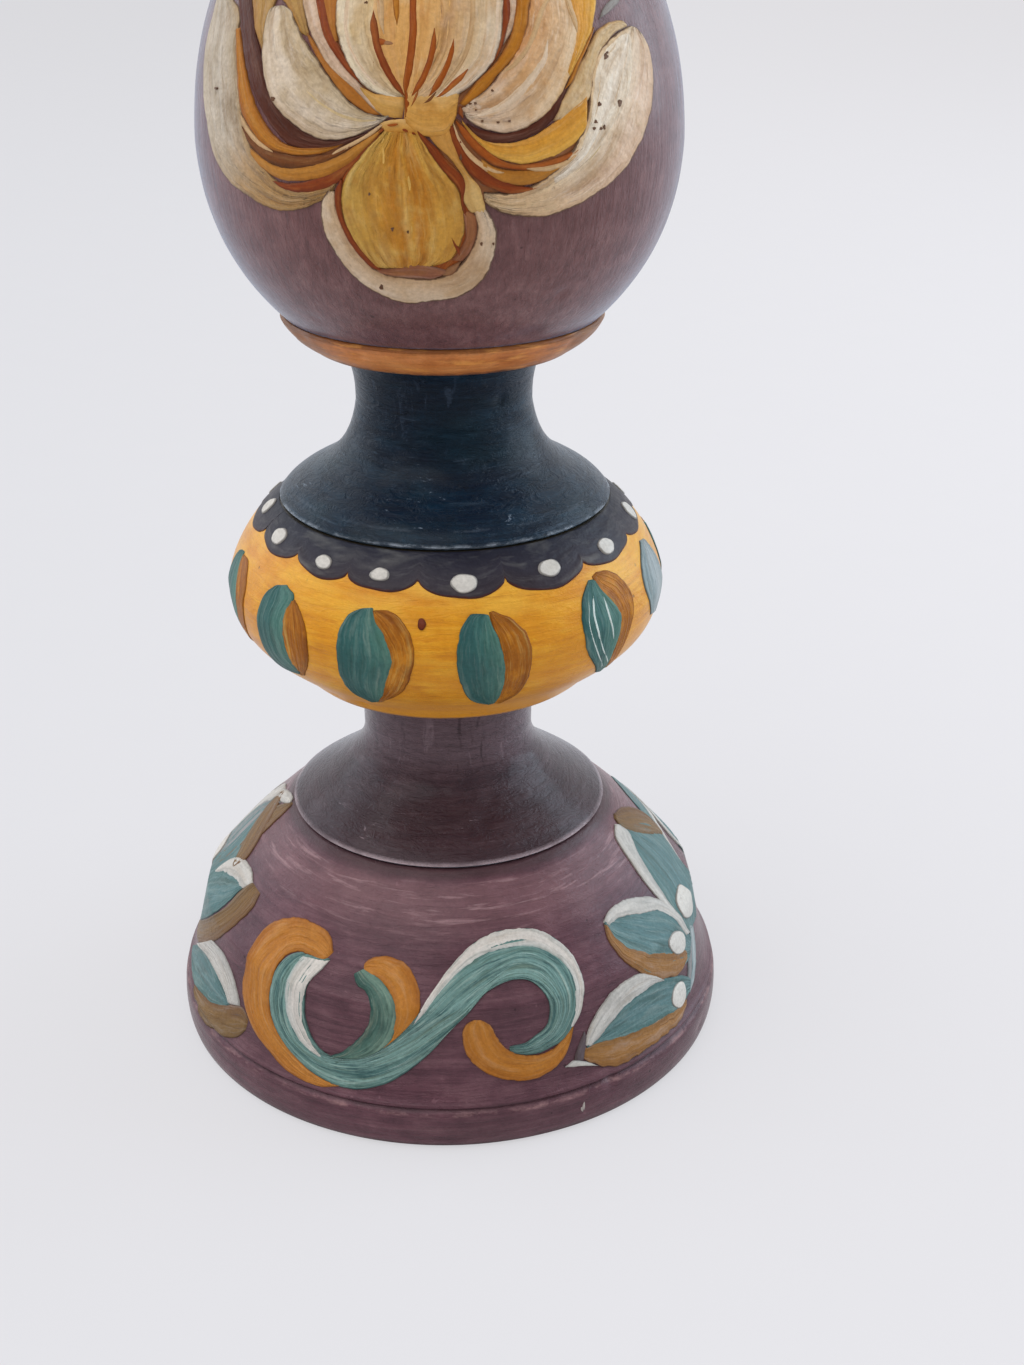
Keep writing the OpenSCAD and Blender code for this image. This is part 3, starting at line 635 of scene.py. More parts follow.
CREAM = (222, 206, 180); CREAM_D = (198, 176, 144); DK = (74, 42, 26)
KIND = {
    "under": stroke_paint("stroke_under", [(0.0, (128, 78, 44)), (0.5, (140, 86, 48)), (1.0, (122, 74, 42))], outline=0.2),
    "cream": stroke_paint("stroke_cream", [(0.0, CREAM_D), (0.10, CREAM), (0.45, (226, 212, 188)), (0.80, (214, 198, 168)), (1.0, (198, 178, 142))], lines=(176, 156, 118), line_amt=0.42, blotch=(206, 180, 134), blotch_amt=0.45, streak=0.75, thin=0.3, thin_col=(240, 230, 212), freq=0.6, line_w=2.4, relief_amt=2.5),
    "creamtail": stroke_paint("stroke_cream_tail", [(0.0, CREAM), (0.5, (222, 210, 190)), (0.85, (206, 186, 156)), (1.0, (196, 166, 122))], tail=((208, 160, 94), 0.48, 0.76), lines=(180, 160, 126), line_amt=0.42, streak=0.75, freq=0.6, line_w=2.4, relief_amt=2.5),
    "creamright": stroke_paint("stroke_cream_right", [(0.0, (216, 184, 140)), (0.25, (226, 204, 174)), (0.6, (224, 200, 172)), (0.68, (214, 182, 152)), (0.8, (222, 192, 164)), (1.0, (206, 172, 140))], tail=((218, 184, 138), 0.55, 0.9), lines=(190, 156, 122), line_amt=0.42, pits=0.2, wobble=0.04, outline=0.85, out_w=0.3, blotch=(214, 190, 150), blotch_amt=0.4, streak=0.75, thin=0.35, thin_col=(236, 222, 204), freq=0.55, line_w=2.4, relief_amt=2.5),
    "creamline": stroke_paint("stroke_cream_line", [(0.0, (214, 182, 138)), (0.5, (226, 200, 162)), (1.0, (214, 184, 142))], outline=0.0, streak=0.5, thin=0.85, thin_col=(196, 140, 84), freq=1.6),
    "creampink": stroke_paint("stroke_cream_pink", [(0.0, (206, 178, 144)), (0.5, (222, 196, 170)), (1.0, (210, 180, 150))], outline=0.5, lines=(176, 134, 96), line_amt=0.42, blotch=(200, 160, 116), blotch_amt=0.5, streak=0.75, freq=0.6, line_w=2.4, relief_amt=2.5),
    "whitecream": stroke_paint("stroke_white_cream", [(0.0, (224, 206, 178)), (0.5, (232, 218, 196)), (1.0, (222, 202, 174))], outline=0.0, streak=0.4, thin=0.9, thin_col=(212, 178, 136)),
    "lilacwhite": stroke_paint("stroke_lilac_white", [(0.0, (204, 190, 178)), (0.5, (214, 200, 186)), (1.0, (196, 176, 160))], outline=0.1, streak=0.4, thin=0.7, thin_col=(168, 146, 132), blotch=(140, 118, 104), blotch_amt=0.5),
    "beige": stroke_paint("stroke_beige", [(0.0, (198, 156, 100)), (0.3, (214, 184, 136)), (0.8, (218, 190, 146)), (1.0, (206, 168, 116))], lines=(186, 146, 98), line_amt=0.42, outline=0.4, blotch=(204, 156, 92), blotch_amt=0.5, streak=0.75, freq=0.7, line_w=2.4, relief_amt=2.5),
    "beigeochre": stroke_paint("stroke_beige_ochre", [(0.0, (196, 142, 74)), (0.5, (206, 166, 108)), (1.0, (198, 160, 110))], lines=(168, 126, 72), line_amt=0.4, outline=0.4),
    "petalright": stroke_paint("stroke_petal_right", [(0.0, (200, 140, 84)), (0.25, (212, 168, 120)), (0.55, (220, 188, 148)), (0.85, (222, 196, 160)), (1.0, (210, 176, 128))], tail=((216, 196, 172), 0.62, 0.92), lines=(184, 142, 98), line_amt=0.42, blotch=(208, 162, 104), blotch_amt=0.6, streak=0.75, thin=0.45, thin_col=(236, 214, 188), freq=0.6, line_w=2.4, relief_amt=2.5),
    "creamstripe": stroke_paint("stroke_bud_left", [(0.0, CREAM), (0.35, (214, 194, 164)), (0.7, (210, 184, 146)), (1.0, (204, 164, 108))], lines=(176, 142, 96), line_amt=0.5, blotch=(206, 178, 128), blotch_amt=0.6, streak=0.7, line_w=1.6, freq=0.8, relief_amt=2.0),
    "creamstripe2": stroke_paint("stroke_bud_right", [(0.0, (208, 156, 92)), (0.3, (214, 172, 116)), (0.65, (220, 190, 146)), (1.0, (222, 202, 170))], lines=(196, 148, 92), line_amt=0.5, blotch=(222, 186, 150), blotch_amt=0.5, streak=0.7, line_w=1.6, freq=0.8, relief_amt=2.0),
    "creamrim": stroke_paint("stroke_crescent", [(0.0, (216, 200, 172)), (0.5, (220, 200, 168)), (0.85, (206, 178, 140)), (1.0, (190, 152, 108))], lines=(190, 164, 126), line_amt=0.42, pits=0.2, blotch=(208, 178, 134), blotch_amt=0.6, outline=0.85, out_w=0.3, streak=0.75, freq=0.6, line_w=2.4, relief_amt=2.5),
    "peach": stroke_paint("stroke_bud_middle", [(0.0, (208, 160, 98)), (0.5, (212, 160, 92)), (1.0, (216, 172, 114))], lines=(190, 130, 66), line_amt=0.5, outline=0.2, blotch=(222, 190, 146), blotch_amt=0.6),
    "orange": stroke_paint("stroke_orange", [(0.0, (176, 104, 36)), (0.4, (204, 134, 48)), (1.0, (188, 118, 44))], streak=0.4, outline=0.25, thin=0.45, thin_col=(222, 158, 84)),
    "terracotta": stroke_paint("stroke_terracotta", [(0.0, (168, 98, 50)), (0.5, (186, 116, 64)), (1.0, (176, 106, 56))], streak=0.4, outline=0.25),
    "rust": stroke_paint("stroke_rust", [(0.0, (146, 82, 38)), (0.5, (168, 100, 50)), (1.0, (150, 86, 42))], streak=0.5, outline=0.15, thin=0.5, thin_col=(190, 130, 70)),
    "redbrown": stroke_paint("stroke_red_brown", [(0.0, (108, 56, 34)), (0.5, (126, 70, 44)), (1.0, (112, 60, 38))], streak=0.45, outline=0.15, thin=0.45, thin_col=(166, 108, 66)),
    "brown": stroke_paint("stroke_brown", [(0.0, (90, 60, 36)), (0.5, (116, 76, 48)), (1.0, (98, 62, 38))], streak=0.45, outline=0.2, thin=0.5, thin_col=(160, 112, 76)),
    "dark": stroke_paint("stroke_dark", [(0.0, (80, 44, 22)), (0.5, (76, 46, 28)), (1.0, (66, 36, 18))], streak=0.3, outline=0.5, outline_col=(64, 30, 16), blotch=(86, 58, 48), blotch_amt=0.5),
    "ochre": stroke_paint("stroke_ochre", [(0.0, (184, 122, 50)), (0.3, (200, 140, 64)), (0.75, (204, 146, 72)), (1.0, (184, 124, 56))], streak=0.45, outline=0.3, out_w=0.16, thin=0.35, thin_col=(220, 168, 96)),
    "ochrefoot": stroke_paint("stroke_ochre_scroll", [(0.0, (170, 108, 40)), (0.3, (188, 126, 52)), (0.75, (196, 134, 60)), (1.0, (168, 108, 42))], streak=0.45, outline=0.28, out_w=0.16, thin=0.4, thin_col=(150, 92, 40), blotch=(204, 146, 74), blotch_amt=0.5),
    "ochregold": stroke_paint("stroke_gold", [(0.0, (196, 134, 54)), (0.4, (208, 148, 58)), (1.0, (212, 162, 80))], streak=0.4, lines=(180, 124, 52), line_amt=0.4, outline=0.25, blotch=(222, 176, 94), blotch_amt=0.5),
    "ochrelight": stroke_paint("stroke_ochre_light", [(0.0, (204, 154, 80)), (0.5, (212, 166, 94)), (1.0, (206, 156, 84))], streak=0.4, outline=0.1),
    "hubochre": stroke_paint("stroke_hub", [(0.0, (212, 170, 116)), (0.5, (206, 156, 86)), (1.0, (192, 134, 56))], streak=0.25, outline=0.0, blotch=(184, 124, 46), blotch_amt=0.55, wobble=0.6),
    "wedge": stroke_paint("stroke_wedge", [(0.0, (196, 146, 78)), (0.5, (208, 162, 94)), (1.0, (204, 156, 88))], tail=((222, 194, 142), 0.55, 0.85), streak=0.4, outline=0.2),
    "tear": stroke_paint("stroke_teardrop", [(0.0, (196, 164, 98)), (0.14, (204, 168, 96)), (0.30, (206, 158, 76)), (0.44, (196, 134, 46)), (0.56, (206, 156, 74)), (0.66, (190, 128, 44)), (0.80, (208, 162, 84)), (1.0, (196, 150, 78))], streak=0.6, lines=(160, 106, 40), line_amt=0.5, pits=0.25, blotch=(216, 184, 122), blotch_amt=0.75, freq=0.7, line_w=1.2, wobble=0.16, relief_amt=2.2),
    "tearpale": stroke_paint("stroke_teardrop_pale", [(0.0, (212, 170, 92)), (1.0, (216, 176, 100))], outline=0.0, streak=0.3, thin=0.5, thin_col=(204, 152, 66)),
    "ridgeline": stroke_paint("stroke_ridge", [(0.0, (190, 168, 124)), (1.0, (204, 184, 144))], outline=0.0, streak=0.3, thin=0.5, thin_col=(216, 200, 170)),
    # Inner cream of the wide right petal: its soft brownish outline is a painted shadow line along the edge.
    "innercream": stroke_paint("stroke_inner_cream", [(0.0, (226, 208, 182)), (0.5, (230, 214, 194)), (0.9, (222, 202, 176)), (1.0, (234, 220, 200))], outline=0.6, outline_col=(182, 144, 108), out_w=0.2, streak=0.75, freq=0.6, lines=(200, 172, 142), line_amt=0.4, line_w=2.2, relief_amt=2.5),
    "mauvebrown": stroke_paint("stroke_mauve_brown", [(0.0, (128, 72, 38)), (0.5, (154, 100, 62)), (1.0, (134, 78, 42))], outline=0.3, outline_col=(84, 44, 30), out_w=0.2, streak=0.5, thin=0.5, thin_col=(176, 118, 78), blotch=(126, 76, 62), blotch_amt=0.6),
    "dab": stroke_paint("dab_cream", [(0.0, (214, 196, 176)), (1.0, (224, 206, 184))], outline=0.25, streak=0.4),
    "mudbrown": stroke_paint("stroke_mud", [(0.0, (150, 112, 76)), (0.5, (176, 144, 108)), (1.0, (130, 90, 58))], outline=0.1, streak=0.6, thin=0.7, thin_col=(120, 76, 48), freq=1.6),
    "palegrey": stroke_paint("stroke_pale_grey", [(0.0, (176, 176, 168)), (1.0, (196, 192, 182))], streak=0.5, outline=0.3),
    "pit": stroke_paint("stroke_pit", [(0.0, (112, 78, 52)), (1.0, (92, 60, 40))], outline=0.2),
    # Thin whitish lines laid over a ring leaf: painted glints.
    "hair": stroke_paint("stroke_leaf_glint", [(0.0, (196, 208, 202)), (1.0, (206, 214, 208))], outline=0.0, streak=0.4, thin=0.5, thin_col=(120, 158, 152)),
    "white": stroke_paint("stroke_white", [(0.0, (206, 202, 192)), (0.5, (216, 212, 202)), (1.0, (196, 194, 186))], streak=0.4, lines=(140, 140, 134), line_amt=0.4, outline_col=(58, 46, 44), outline=0.28, out_w=0.16, thin=0.35, thin_col=(150, 150, 142)),
    "doubleload": stroke_paint("stroke_teal_scroll", [(0.0, (70, 106, 104)), (0.08, (112, 146, 142)), (0.20, (62, 100, 100)), (0.30, (108, 144, 140)), (0.55, (100, 136, 134)), (0.80, (92, 128, 126)), (1.0, (78, 114, 112))],
                               streak=0.7, lines=(34, 70, 74), line_amt=0.8, outline_col=(48, 44, 46), outline=0.35, out_w=0.16, wobble=0.05, freq=1.3, thin=0.6, thin_col=(152, 184, 182)),
    "tealtail": stroke_paint("stroke_teal_tail", [(0.0, (112, 146, 142)), (0.4, (92, 128, 126)), (0.8, (66, 104, 104)), (1.0, (104, 140, 138))], streak=0.6, lines=(34, 70, 74), line_amt=0.7, outline=0.15, out_w=0.12, thin=0.5, thin_col=(152, 184, 182)),
    "whiteload": stroke_paint("stroke_white_on_teal", [(0.0, (206, 204, 196)), (0.5, (218, 214, 206)), (0.85, (200, 202, 196)), (1.0, (160, 178, 174))], streak=0.4, lines=(140, 146, 140), line_amt=0.55, outline=0.0, thin=0.55, thin_col=(120, 150, 146)),
    "smudge": stroke_paint("stroke_smudge", [(0.0, (82, 70, 72)), (1.0, (96, 84, 88))], outline=0.0, streak=0.5, thin=0.6, thin_col=(98, 70, 78)),
    "chip": stroke_paint("chip_pale", [(0.0, (196, 184, 176)), (1.0, (206, 196, 188))], outline=0.4, outline_col=(60, 44, 46), streak=0.3),
    "tealdark": stroke_paint("stroke_teal_dark", [(0.0, (40, 78, 78)), (0.35, (74, 112, 110)), (0.8, (102, 138, 134)), (1.0, (84, 120, 116))], streak=0.5, lines=(36, 68, 70), line_amt=0.6, outline_col=(40, 46, 48), outline=0.25, out_w=0.16, thin=0.5, thin_col=(150, 182, 180)),
    "tealflat": stroke_paint("stroke_teal", [(0.0, (90, 126, 124)), (0.5, (98, 134, 136)), (1.0, (82, 120, 120))], streak=0.55, lines=(140, 166, 164), line_amt=0.45, outline_col=(42, 44, 46), outline=0.28, out_w=0.16, thin=0.45, thin_col=(146, 174, 178)),
    "greyteal": stroke_paint("stroke_grey_teal", [(0.0, (120, 138, 140)), (1.0, (138, 152, 152))], streak=0.4, outline_col=(60, 58, 56), outline=0.28, out_w=0.16),
    "tealdeep": stroke_paint("stroke_leaf_teal", [(0.0, (40, 80, 82)), (0.5, (52, 94, 94)), (1.0, (72, 112, 104))], streak=0.4, lines=(104, 144, 136), line_amt=0.2, outline_col=(38, 36, 36), outline=0.28, out_w=0.16, blotch=(40, 74, 80), blotch_amt=0.4),
    "leafbrown": stroke_paint("stroke_leaf_brown", [(0.0, (142, 84, 20)), (0.5, (160, 100, 36)), (1.0, (136, 80, 24))], streak=0.75, thin=0.6, thin_col=(196, 136, 50), outline_col=(84, 48, 22), outline=0.28, out_w=0.16, blotch=(206, 140, 50), blotch_amt=0.55, freq=1.7),
    "brownochre": stroke_paint("stroke_brown_ochre", [(0.0, (132, 98, 56)), (0.5, (148, 108, 58)), (1.0, (134, 92, 52))], streak=0.55, thin=0.3, outline_col=(74, 52, 42), outline=0.28, out_w=0.16),
    "ochrerag": stroke_paint("stroke_ochre_ragged", [(0.0, (150, 102, 50)), (0.5, (170, 118, 58)), (1.0, (150, 104, 52))], streak=0.55, thin=0.4, thin_col=(120, 88, 56), outline_col=(70, 46, 34), outline=0.28, out_w=0.16),
    "paleblue": stroke_paint("stroke_pale_blue", [(0.0, (120, 144, 148)), (0.5, (156, 172, 176)), (1.0, (132, 150, 152))], streak=0.55, lines=(80, 110, 114), line_amt=0.6, outline_col=(70, 66, 62)),
    "dot": stroke_paint("dot_white", [(0.0, (210, 204, 192)), (1.0, (220, 214, 202))], streak=0.15, outline_col=(40, 36, 38), outline=0.55, out_w=0.18, pits=0.2),
    "dotbrown": stroke_paint("dot_brown", [(0.0, (120, 58, 28)), (1.0, (132, 66, 32))], streak=0.3, outline_col=(96, 48, 28)),
    "border": stroke_paint("border_navy", [(0.0, (26, 28, 42)), (0.5, (42, 38, 48)), (1.0, (54, 46, 52))], streak=0.3, outline_col=(72, 34, 26), outline=0.85, out_w=0.28, freq=0.6),
}
TINT[:] = (1, 1, 1)

# ------------------------------------------------------------------ the painting: outlines as (degrees round the axis, mm up), tip to root
# name: piece, kind, layer, one edge, other edge
STROKES = [
    ("under_l", "head", "under", 0,
     [(-46.9, 148.2), (-44, 145.8), (-40.4, 143.7), (-36.4, 142.2), (-32, 141.3), (-26.7, 141.3), (-21.6, 142.4), (-17.2, 144.2), (-13.6, 146), (-11.5, 147.4)],
     [(-46.1, 148.3), (-41, 146.6), (-36.2, 145.1), (-31.2, 144.8), (-25.9, 145), (-20.9, 145.8), (-16.7, 146.8), (-13.1, 147.9), (-10, 148.8), (-8.5, 149.4)]),
    ("under_ml", "head", "under", 0,
     [(-34.2, 162.7), (-31.9, 160.1), (-29.9, 158.3), (-27.6, 156.5), (-24.8, 154.4), (-21.2, 152.4), (-17.3, 150.6), (-13.6, 149.6), (-9.5, 149.4)],
     [(-23.4, 162.9), (-23.1, 160.3), (-22.5, 158.2), (-20.5, 156.1), (-18.1, 154.3), (-15.3, 152.8), (-12.6, 151.8), (-10.1, 151.3), (-7.5, 150.5)]),
    ("under_r", "head", "under", 0,
     [(15.1, 163), (14.3, 159.9), (13, 157.3), (10.9, 155.2), (7.6, 153.4), (4.5, 151.8), (1.4, 150.5), (-1.6, 149.4)],
     [(22.9, 162.9), (21.2, 159.8), (19.4, 157.5), (16.2, 154.9), (12.2, 153.1), (8, 151), (4.4, 149.7), (1.4, 148.9)]),
    ("under_br", "head", "under", 0,
     [(31.4, 144.4), (26.6, 142.9), (21, 141.4), (15.7, 140.4), (11.1, 140), (8.6, 138.3), (6.6, 137.7), (4.5, 140.1), (0.6, 144.1), (-2.2, 146.9)],
     [(31.5, 146.7), (26.7, 146), (21.1, 145.4), (15.7, 145), (11.6, 145.4), (8.6, 146.3), (6.7, 147.4), (4.7, 148.3), (2.7, 149.1), (0.8, 149.6)]),
    ("petal_wide_l", "head", "creamtail", 3,
     [(-70.7, 161.4), (-70.2, 158.6), (-70.6, 156), (-70.2, 153.4), (-69, 151.1), (-67.5, 148.8), (-65.4, 146.6), (-63.4, 144.4), (-61, 142.2), (-57.6, 140.3), (-53.6, 138.9), (-48.8, 138), (-44.1, 137.2), (-39.8, 136.7), (-35.5, 136.8), (-31.2, 137.4), (-27.4, 138.3), (-24.7, 139.1), (-22.9, 140.3)],
     [(-64.2, 161.7), (-56.2, 160.1), (-54.1, 159.1), (-53.3, 157.7), (-52.9, 156.1), (-51.7, 154.2), (-50.4, 152), (-49.3, 149.5), (-48, 147.3), (-46.4, 145.2), (-44.3, 143.5), (-41.7, 142), (-39.2, 140.9), (-37.1, 140.2), (-34.2, 139.5), (-30.8, 139.5), (-26.8, 140), (-23.6, 140.7), (-21.5, 141.7)]),
    ("lick_l1", "head", "redbrown", 5,
     [(-39.1, 140.2), (-36.2, 139.6), (-32.3, 139.4), (-28.1, 139.7), (-24.5, 140.4), (-21.9, 141.1), (-20, 142.4), (-17.7, 143.5), (-15.4, 144.7), (-13.1, 146.2), (-11.4, 147.6)],
     [(-38.4, 140.5), (-35.4, 140.2), (-31.5, 140.5), (-27.9, 141.1), (-24.4, 141.8), (-21.3, 142.7), (-18.9, 143.7), (-16.7, 144.8), (-14.5, 146), (-12.8, 147.1), (-11.7, 147.7)]),
    ("lick_l2", "head", "ochre", 5,
     [(-45.6, 143.4), (-42.8, 142.1), (-39.3, 141.2), (-36, 140.7), (-32.1, 140.8), (-27.8, 141.2), (-24.4, 141.8), (-21.5, 142.7), (-18.9, 143.6), (-16.6, 144.9), (-14.2, 146.2), (-12.1, 147.5)],
     [(-45.8, 144.1), (-42.3, 143.2), (-38.8, 142.4), (-35.1, 142.2), (-30.7, 142.5), (-26.8, 143.1), (-23.4, 143.8), (-20.1, 144.8), (-17.2, 145.9), (-14.6, 146.8), (-12.8, 147.5), (-11.9, 147.8)]),
    ("lick_l2b", "head", "brown", 6,
     [(-47.9, 146), (-45.5, 144.5), (-42.6, 143.4), (-39.1, 142.6), (-35.1, 142.2), (-31, 142.5), (-27.1, 143), (-23.6, 143.8), (-20.3, 144.8), (-17.2, 145.9), (-14.3, 146.9)],
     [(-48.1, 146.7), (-45, 145.3), (-41.8, 144.4), (-37.9, 143.9), (-33.7, 143.8), (-29.9, 143.8), (-26.4, 144.1), (-23.4, 144.5), (-20.6, 145.2), (-17.6, 146.1), (-14.5, 147.2)]),
    ("line_l1", "head", "creamline", 7,
     [(-49.2, 148.1), (-47.6, 146.5), (-45.1, 145.3), (-42.1, 144.4), (-38.3, 143.8)],
     [(-48.9, 148.1), (-46.7, 146.7), (-44.2, 145.6), (-41.2, 144.7), (-38.1, 144)]),
    ("line_l2", "head", "creamline", 7,
     [(-24.3, 143.8), (-20.9, 144.8), (-17.7, 145.8), (-14.6, 146.9), (-11.5, 148.2)],
     [(-24.5, 144), (-21.4, 145.1), (-18.1, 146.1), (-14.9, 147.2), (-11.5, 148.6)]),
    ("lick_l3", "head", "orange", 8,
     [(-54.3, 157.9), (-52.6, 155.5), (-50.8, 152.8), (-49.5, 150), (-47.7, 147.9), (-45.1, 146.4), (-42.1, 145.1), (-38.8, 144.3), (-35.3, 144), (-31.7, 143.9), (-28.2, 144.1), (-25.4, 144.4)],
     [(-52.9, 157.9), (-50.4, 155.6), (-47.4, 152.4), (-44.6, 149.8), (-41.7, 147.7), (-38.8, 146.2), (-36.1, 145.3), (-33.5, 144.9), (-30.3, 144.8), (-26.5, 145), (-23.1, 145.3), (-19.8, 145.8)]),
    ("gap_l", "head", "dark", 7,
     [(-57.4, 162), (-53.8, 159.3), (-51.2, 157), (-48.4, 154), (-45.7, 151.7), (-42.8, 149.6), (-39.9, 147.8), (-37.1, 146.4), (-34.4, 145.3), (-31.1, 144.8), (-27.3, 144.8), (-23.9, 145.1), (-20.6, 145.6), (-16.9, 146.5), (-14.3, 147.1)],
     [(-51.3, 162.2), (-48.6, 159.5), (-46.4, 157.4), (-44.1, 155.6), (-42, 153.8), (-40.5, 151.9), (-37.9, 150), (-35.1, 148.5), (-31.9, 147.3), (-28.5, 146.5), (-25.3, 146), (-22.1, 146), (-19.3, 146.4), (-16.7, 146.9), (-14.2, 147.3)]),
    ("petal_back_l", "head", "beigeochre", 5,
     [(-51.5, 162.2), (-49.2, 160.1), (-47.2, 158.2), (-45.2, 156.9), (-43, 155.5)],
     [(-42.1, 162.5), (-42.1, 160.9), (-42.8, 159.5), (-43.1, 157.9), (-42.7, 155.7)]),
    ("petal_back_l2", "head", "beigeochre", 5,
     [(-42.1, 162.5), (-38.3, 161), (-36, 160), (-34.2, 159), (-32.7, 157.9)],
     [(-34.2, 162.7), (-33, 160.9), (-31.9, 159.6), (-31, 158.5), (-30.3, 157.5)]),
    ("petal_in_l", "head", "cream", 9,
     [(-40.9, 160.8), (-43, 160.2), (-43.6, 158.7), (-43.2, 156.8), (-42.7, 154.9), (-41.4, 152.7), (-39.4, 150.6), (-36.5, 149), (-32.9, 147.7), (-29.2, 146.7), (-25.3, 146.1), (-21.7, 146.2), (-18.8, 146.6), (-16, 147.3), (-13.2, 148.1), (-10, 149.4)],
     [(-39.3, 160.9), (-36.3, 160.3), (-34.4, 159), (-31.9, 157.4), (-28.7, 155.7), (-25.6, 153.9), (-22.7, 152.2), (-19.7, 150.7), (-16.7, 149.6), (-14.1, 149.2), (-12, 149.1), (-9.9, 149.6)]),
    ("line_in_l", "head", "ridgeline", 10,
     [(-29.7, 151.8), (-26.6, 150.6), (-23.2, 149.6), (-19.3, 148.9), (-15.1, 148.7), (-11.5, 149.1)],
     [(-29.9, 151.5), (-26.9, 150.2), (-23.4, 149.2), (-19.4, 148.5), (-15.1, 148.4), (-11.4, 148.9)]),
    ("lick_l4", "head", "terracotta", 7,
     [(-31.2, 158), (-28.7, 156.2), (-26, 154.5), (-23.1, 152.7), (-20.2, 151.1), (-17.2, 150), (-14.4, 149.3), (-12, 149.2)],
     [(-30.7, 158.1), (-27.8, 156.5), (-24.9, 154.9), (-21.8, 153.6), (-19, 152.5), (-16.7, 151.4), (-14.5, 150.2), (-12.3, 149.3)]),
    ("petal_mid_l", "head", "creampink", 8,
     [(-34.2, 162.7), (-32.3, 160.4), (-30.2, 158.4), (-27.7, 156.6), (-25.1, 154.9), (-22.1, 153.5), (-19.3, 152.5), (-16.7, 151.3), (-14.5, 150.1), (-11.5, 149)],
     [(-30.1, 162.8), (-28.6, 160.4), (-26.9, 158.5), (-24.7, 156.7), (-22.4, 155.3), (-19.8, 153.9), (-17.3, 152.7), (-15.2, 151.5), (-13.2, 150.4), (-10.5, 149.4)]),
    ("lick_l5", "head", "redbrown", 9,
     [(-30.5, 162.8), (-28.5, 160.2), (-26.6, 158.1), (-24.6, 156.7), (-22.3, 155.3), (-19.9, 154), (-16.8, 152.6)],
     [(-27.7, 162.8), (-26.2, 160.2), (-24.7, 158.4), (-22.9, 157), (-21, 155.6), (-19.2, 154.3), (-16.7, 152.7)]),
    ("lick_l6", "head", "terracotta", 8,
     [(-28.5, 162.8), (-27, 160.5), (-25.5, 158.9), (-23.6, 157.2)],
     [(-24.3, 162.9), (-24.1, 160.5), (-23.9, 159), (-23, 157.3)]),
    ("bud_l", "head", "creamstripe", 9,
     [(-24.3, 162.9), (-24.1, 160.8), (-23.5, 159), (-22, 156.9), (-19.9, 154.8), (-17.2, 153.1), (-14.6, 152), (-11.6, 151.4), (-8.4, 151.2)],
     [(-14.4, 163), (-14.7, 161), (-14.7, 159.1), (-13.9, 157.1), (-12.6, 155.2), (-10.9, 153.5), (-9.2, 152.3), (-7.8, 151.5), (-7.4, 151.2)]),
    ("bud_m", "head", "peach", 8,
     [(-15.6, 163), (-15.6, 160.9), (-15.2, 159.1), (-14.3, 157.1), (-12.8, 155.1), (-11, 153.4), (-9.2, 152.2), (-7.6, 151.2)],
     [(3.1, 163.1), (2.8, 161.1), (2.3, 158.7), (1.1, 156.6), (-0.5, 154.5), (-2.5, 152.9), (-4.5, 151.7), (-6.5, 151.1)]),
    ("bud_r", "head", "creamstripe2", 9,
     [(0.3, 163.1), (0.2, 160.5), (-0.3, 158.2), (-1.4, 156.1), (-3.1, 154.3), (-4.9, 152.7), (-6.3, 151.5), (-6.9, 151.1)],
     [(15, 163), (14.4, 160.5), (13.7, 158.4), (12.4, 156.3), (10.4, 154.6), (8.1, 153.5), (5.5, 152.3), (2.5, 151.4), (-1, 150.9)]),
    ("bud_pale1", "head", "whitecream", 10,
     [(-24, 162.9), (-23.6, 160.3), (-22.4, 158), (-20.5, 155.9), (-17.5, 153.9), (-13.9, 152.4)],
     [(-20.7, 162.9), (-20.7, 160.3), (-20.2, 158.3), (-18.5, 156.2), (-16.1, 154.4), (-13.5, 152.8)]),
    ("bud_pale2", "head", "whitecream", 10,
     [(12.2, 163.1), (11.9, 160.5), (11.2, 158.4), (9.8, 156.6), (7.7, 155), (5.1, 153.6), (2.3, 152.3)],
     [(14.6, 163), (14.1, 160.5), (13.4, 158.4), (12, 156.4), (9.9, 154.7), (7.2, 153.4), (3, 152)]),
    ("bud_pale3", "head", "creamline", 10,
     [(7, 163.1), (6.7, 160.5), (6, 158.2), (5, 156.4), (3.4, 154.8), (1.5, 153.5), (-0.5, 152.1)],
     [(8.5, 163.1), (8.1, 160.5), (7.4, 158.2), (6.2, 156.3), (4.5, 154.7), (2.4, 153.3), (-0.1, 151.9)]),
    ("bud_pale4", "head", "whitecream", 10,
     [(-17.1, 155.4), (-15.8, 153.8), (-13.8, 152.7), (-11.2, 151.7)],
     [(-15.5, 155.7), (-14.2, 154.1), (-12.5, 153), (-10.5, 152)]),
    ("bud_pale5", "head", "creamline", 10,
     [(-14.7, 163), (-14.1, 161), (-13.3, 159.2), (-12.5, 158.1)],
     [(-13, 163), (-12.7, 161), (-12.4, 159.4), (-12, 158.4)]),
    ("bud_line_1", "head", "redbrown", 11,
     [(-15.2, 160.9), (-15.6, 159.1), (-15, 157.8), (-14.3, 156.5), (-13.2, 155.2), (-11.8, 153.9), (-10, 152.6), (-8.1, 151.5)],
     [(-14.9, 160.9), (-13.9, 159.2), (-13.3, 157.7), (-12.4, 156.3), (-11, 154.8), (-9.5, 153.4), (-7.9, 152.2), (-7.1, 151.5)]),
    ("bud_line_2b", "head", "orange", 10,
     [(-10.9, 163.1), (-10.5, 161.3), (-10.1, 160.2), (-9.5, 159.2)],
     [(-9.1, 163.1), (-9.1, 161.3), (-9.1, 160.2), (-9.3, 159.2)]),
    ("bud_line_2", "head", "rust", 11,
     [(-6.8, 163.1), (-6.6, 161), (-6.5, 159), (-6.8, 156.6), (-7.3, 154.5), (-7.7, 152.9), (-7.6, 151.4)],
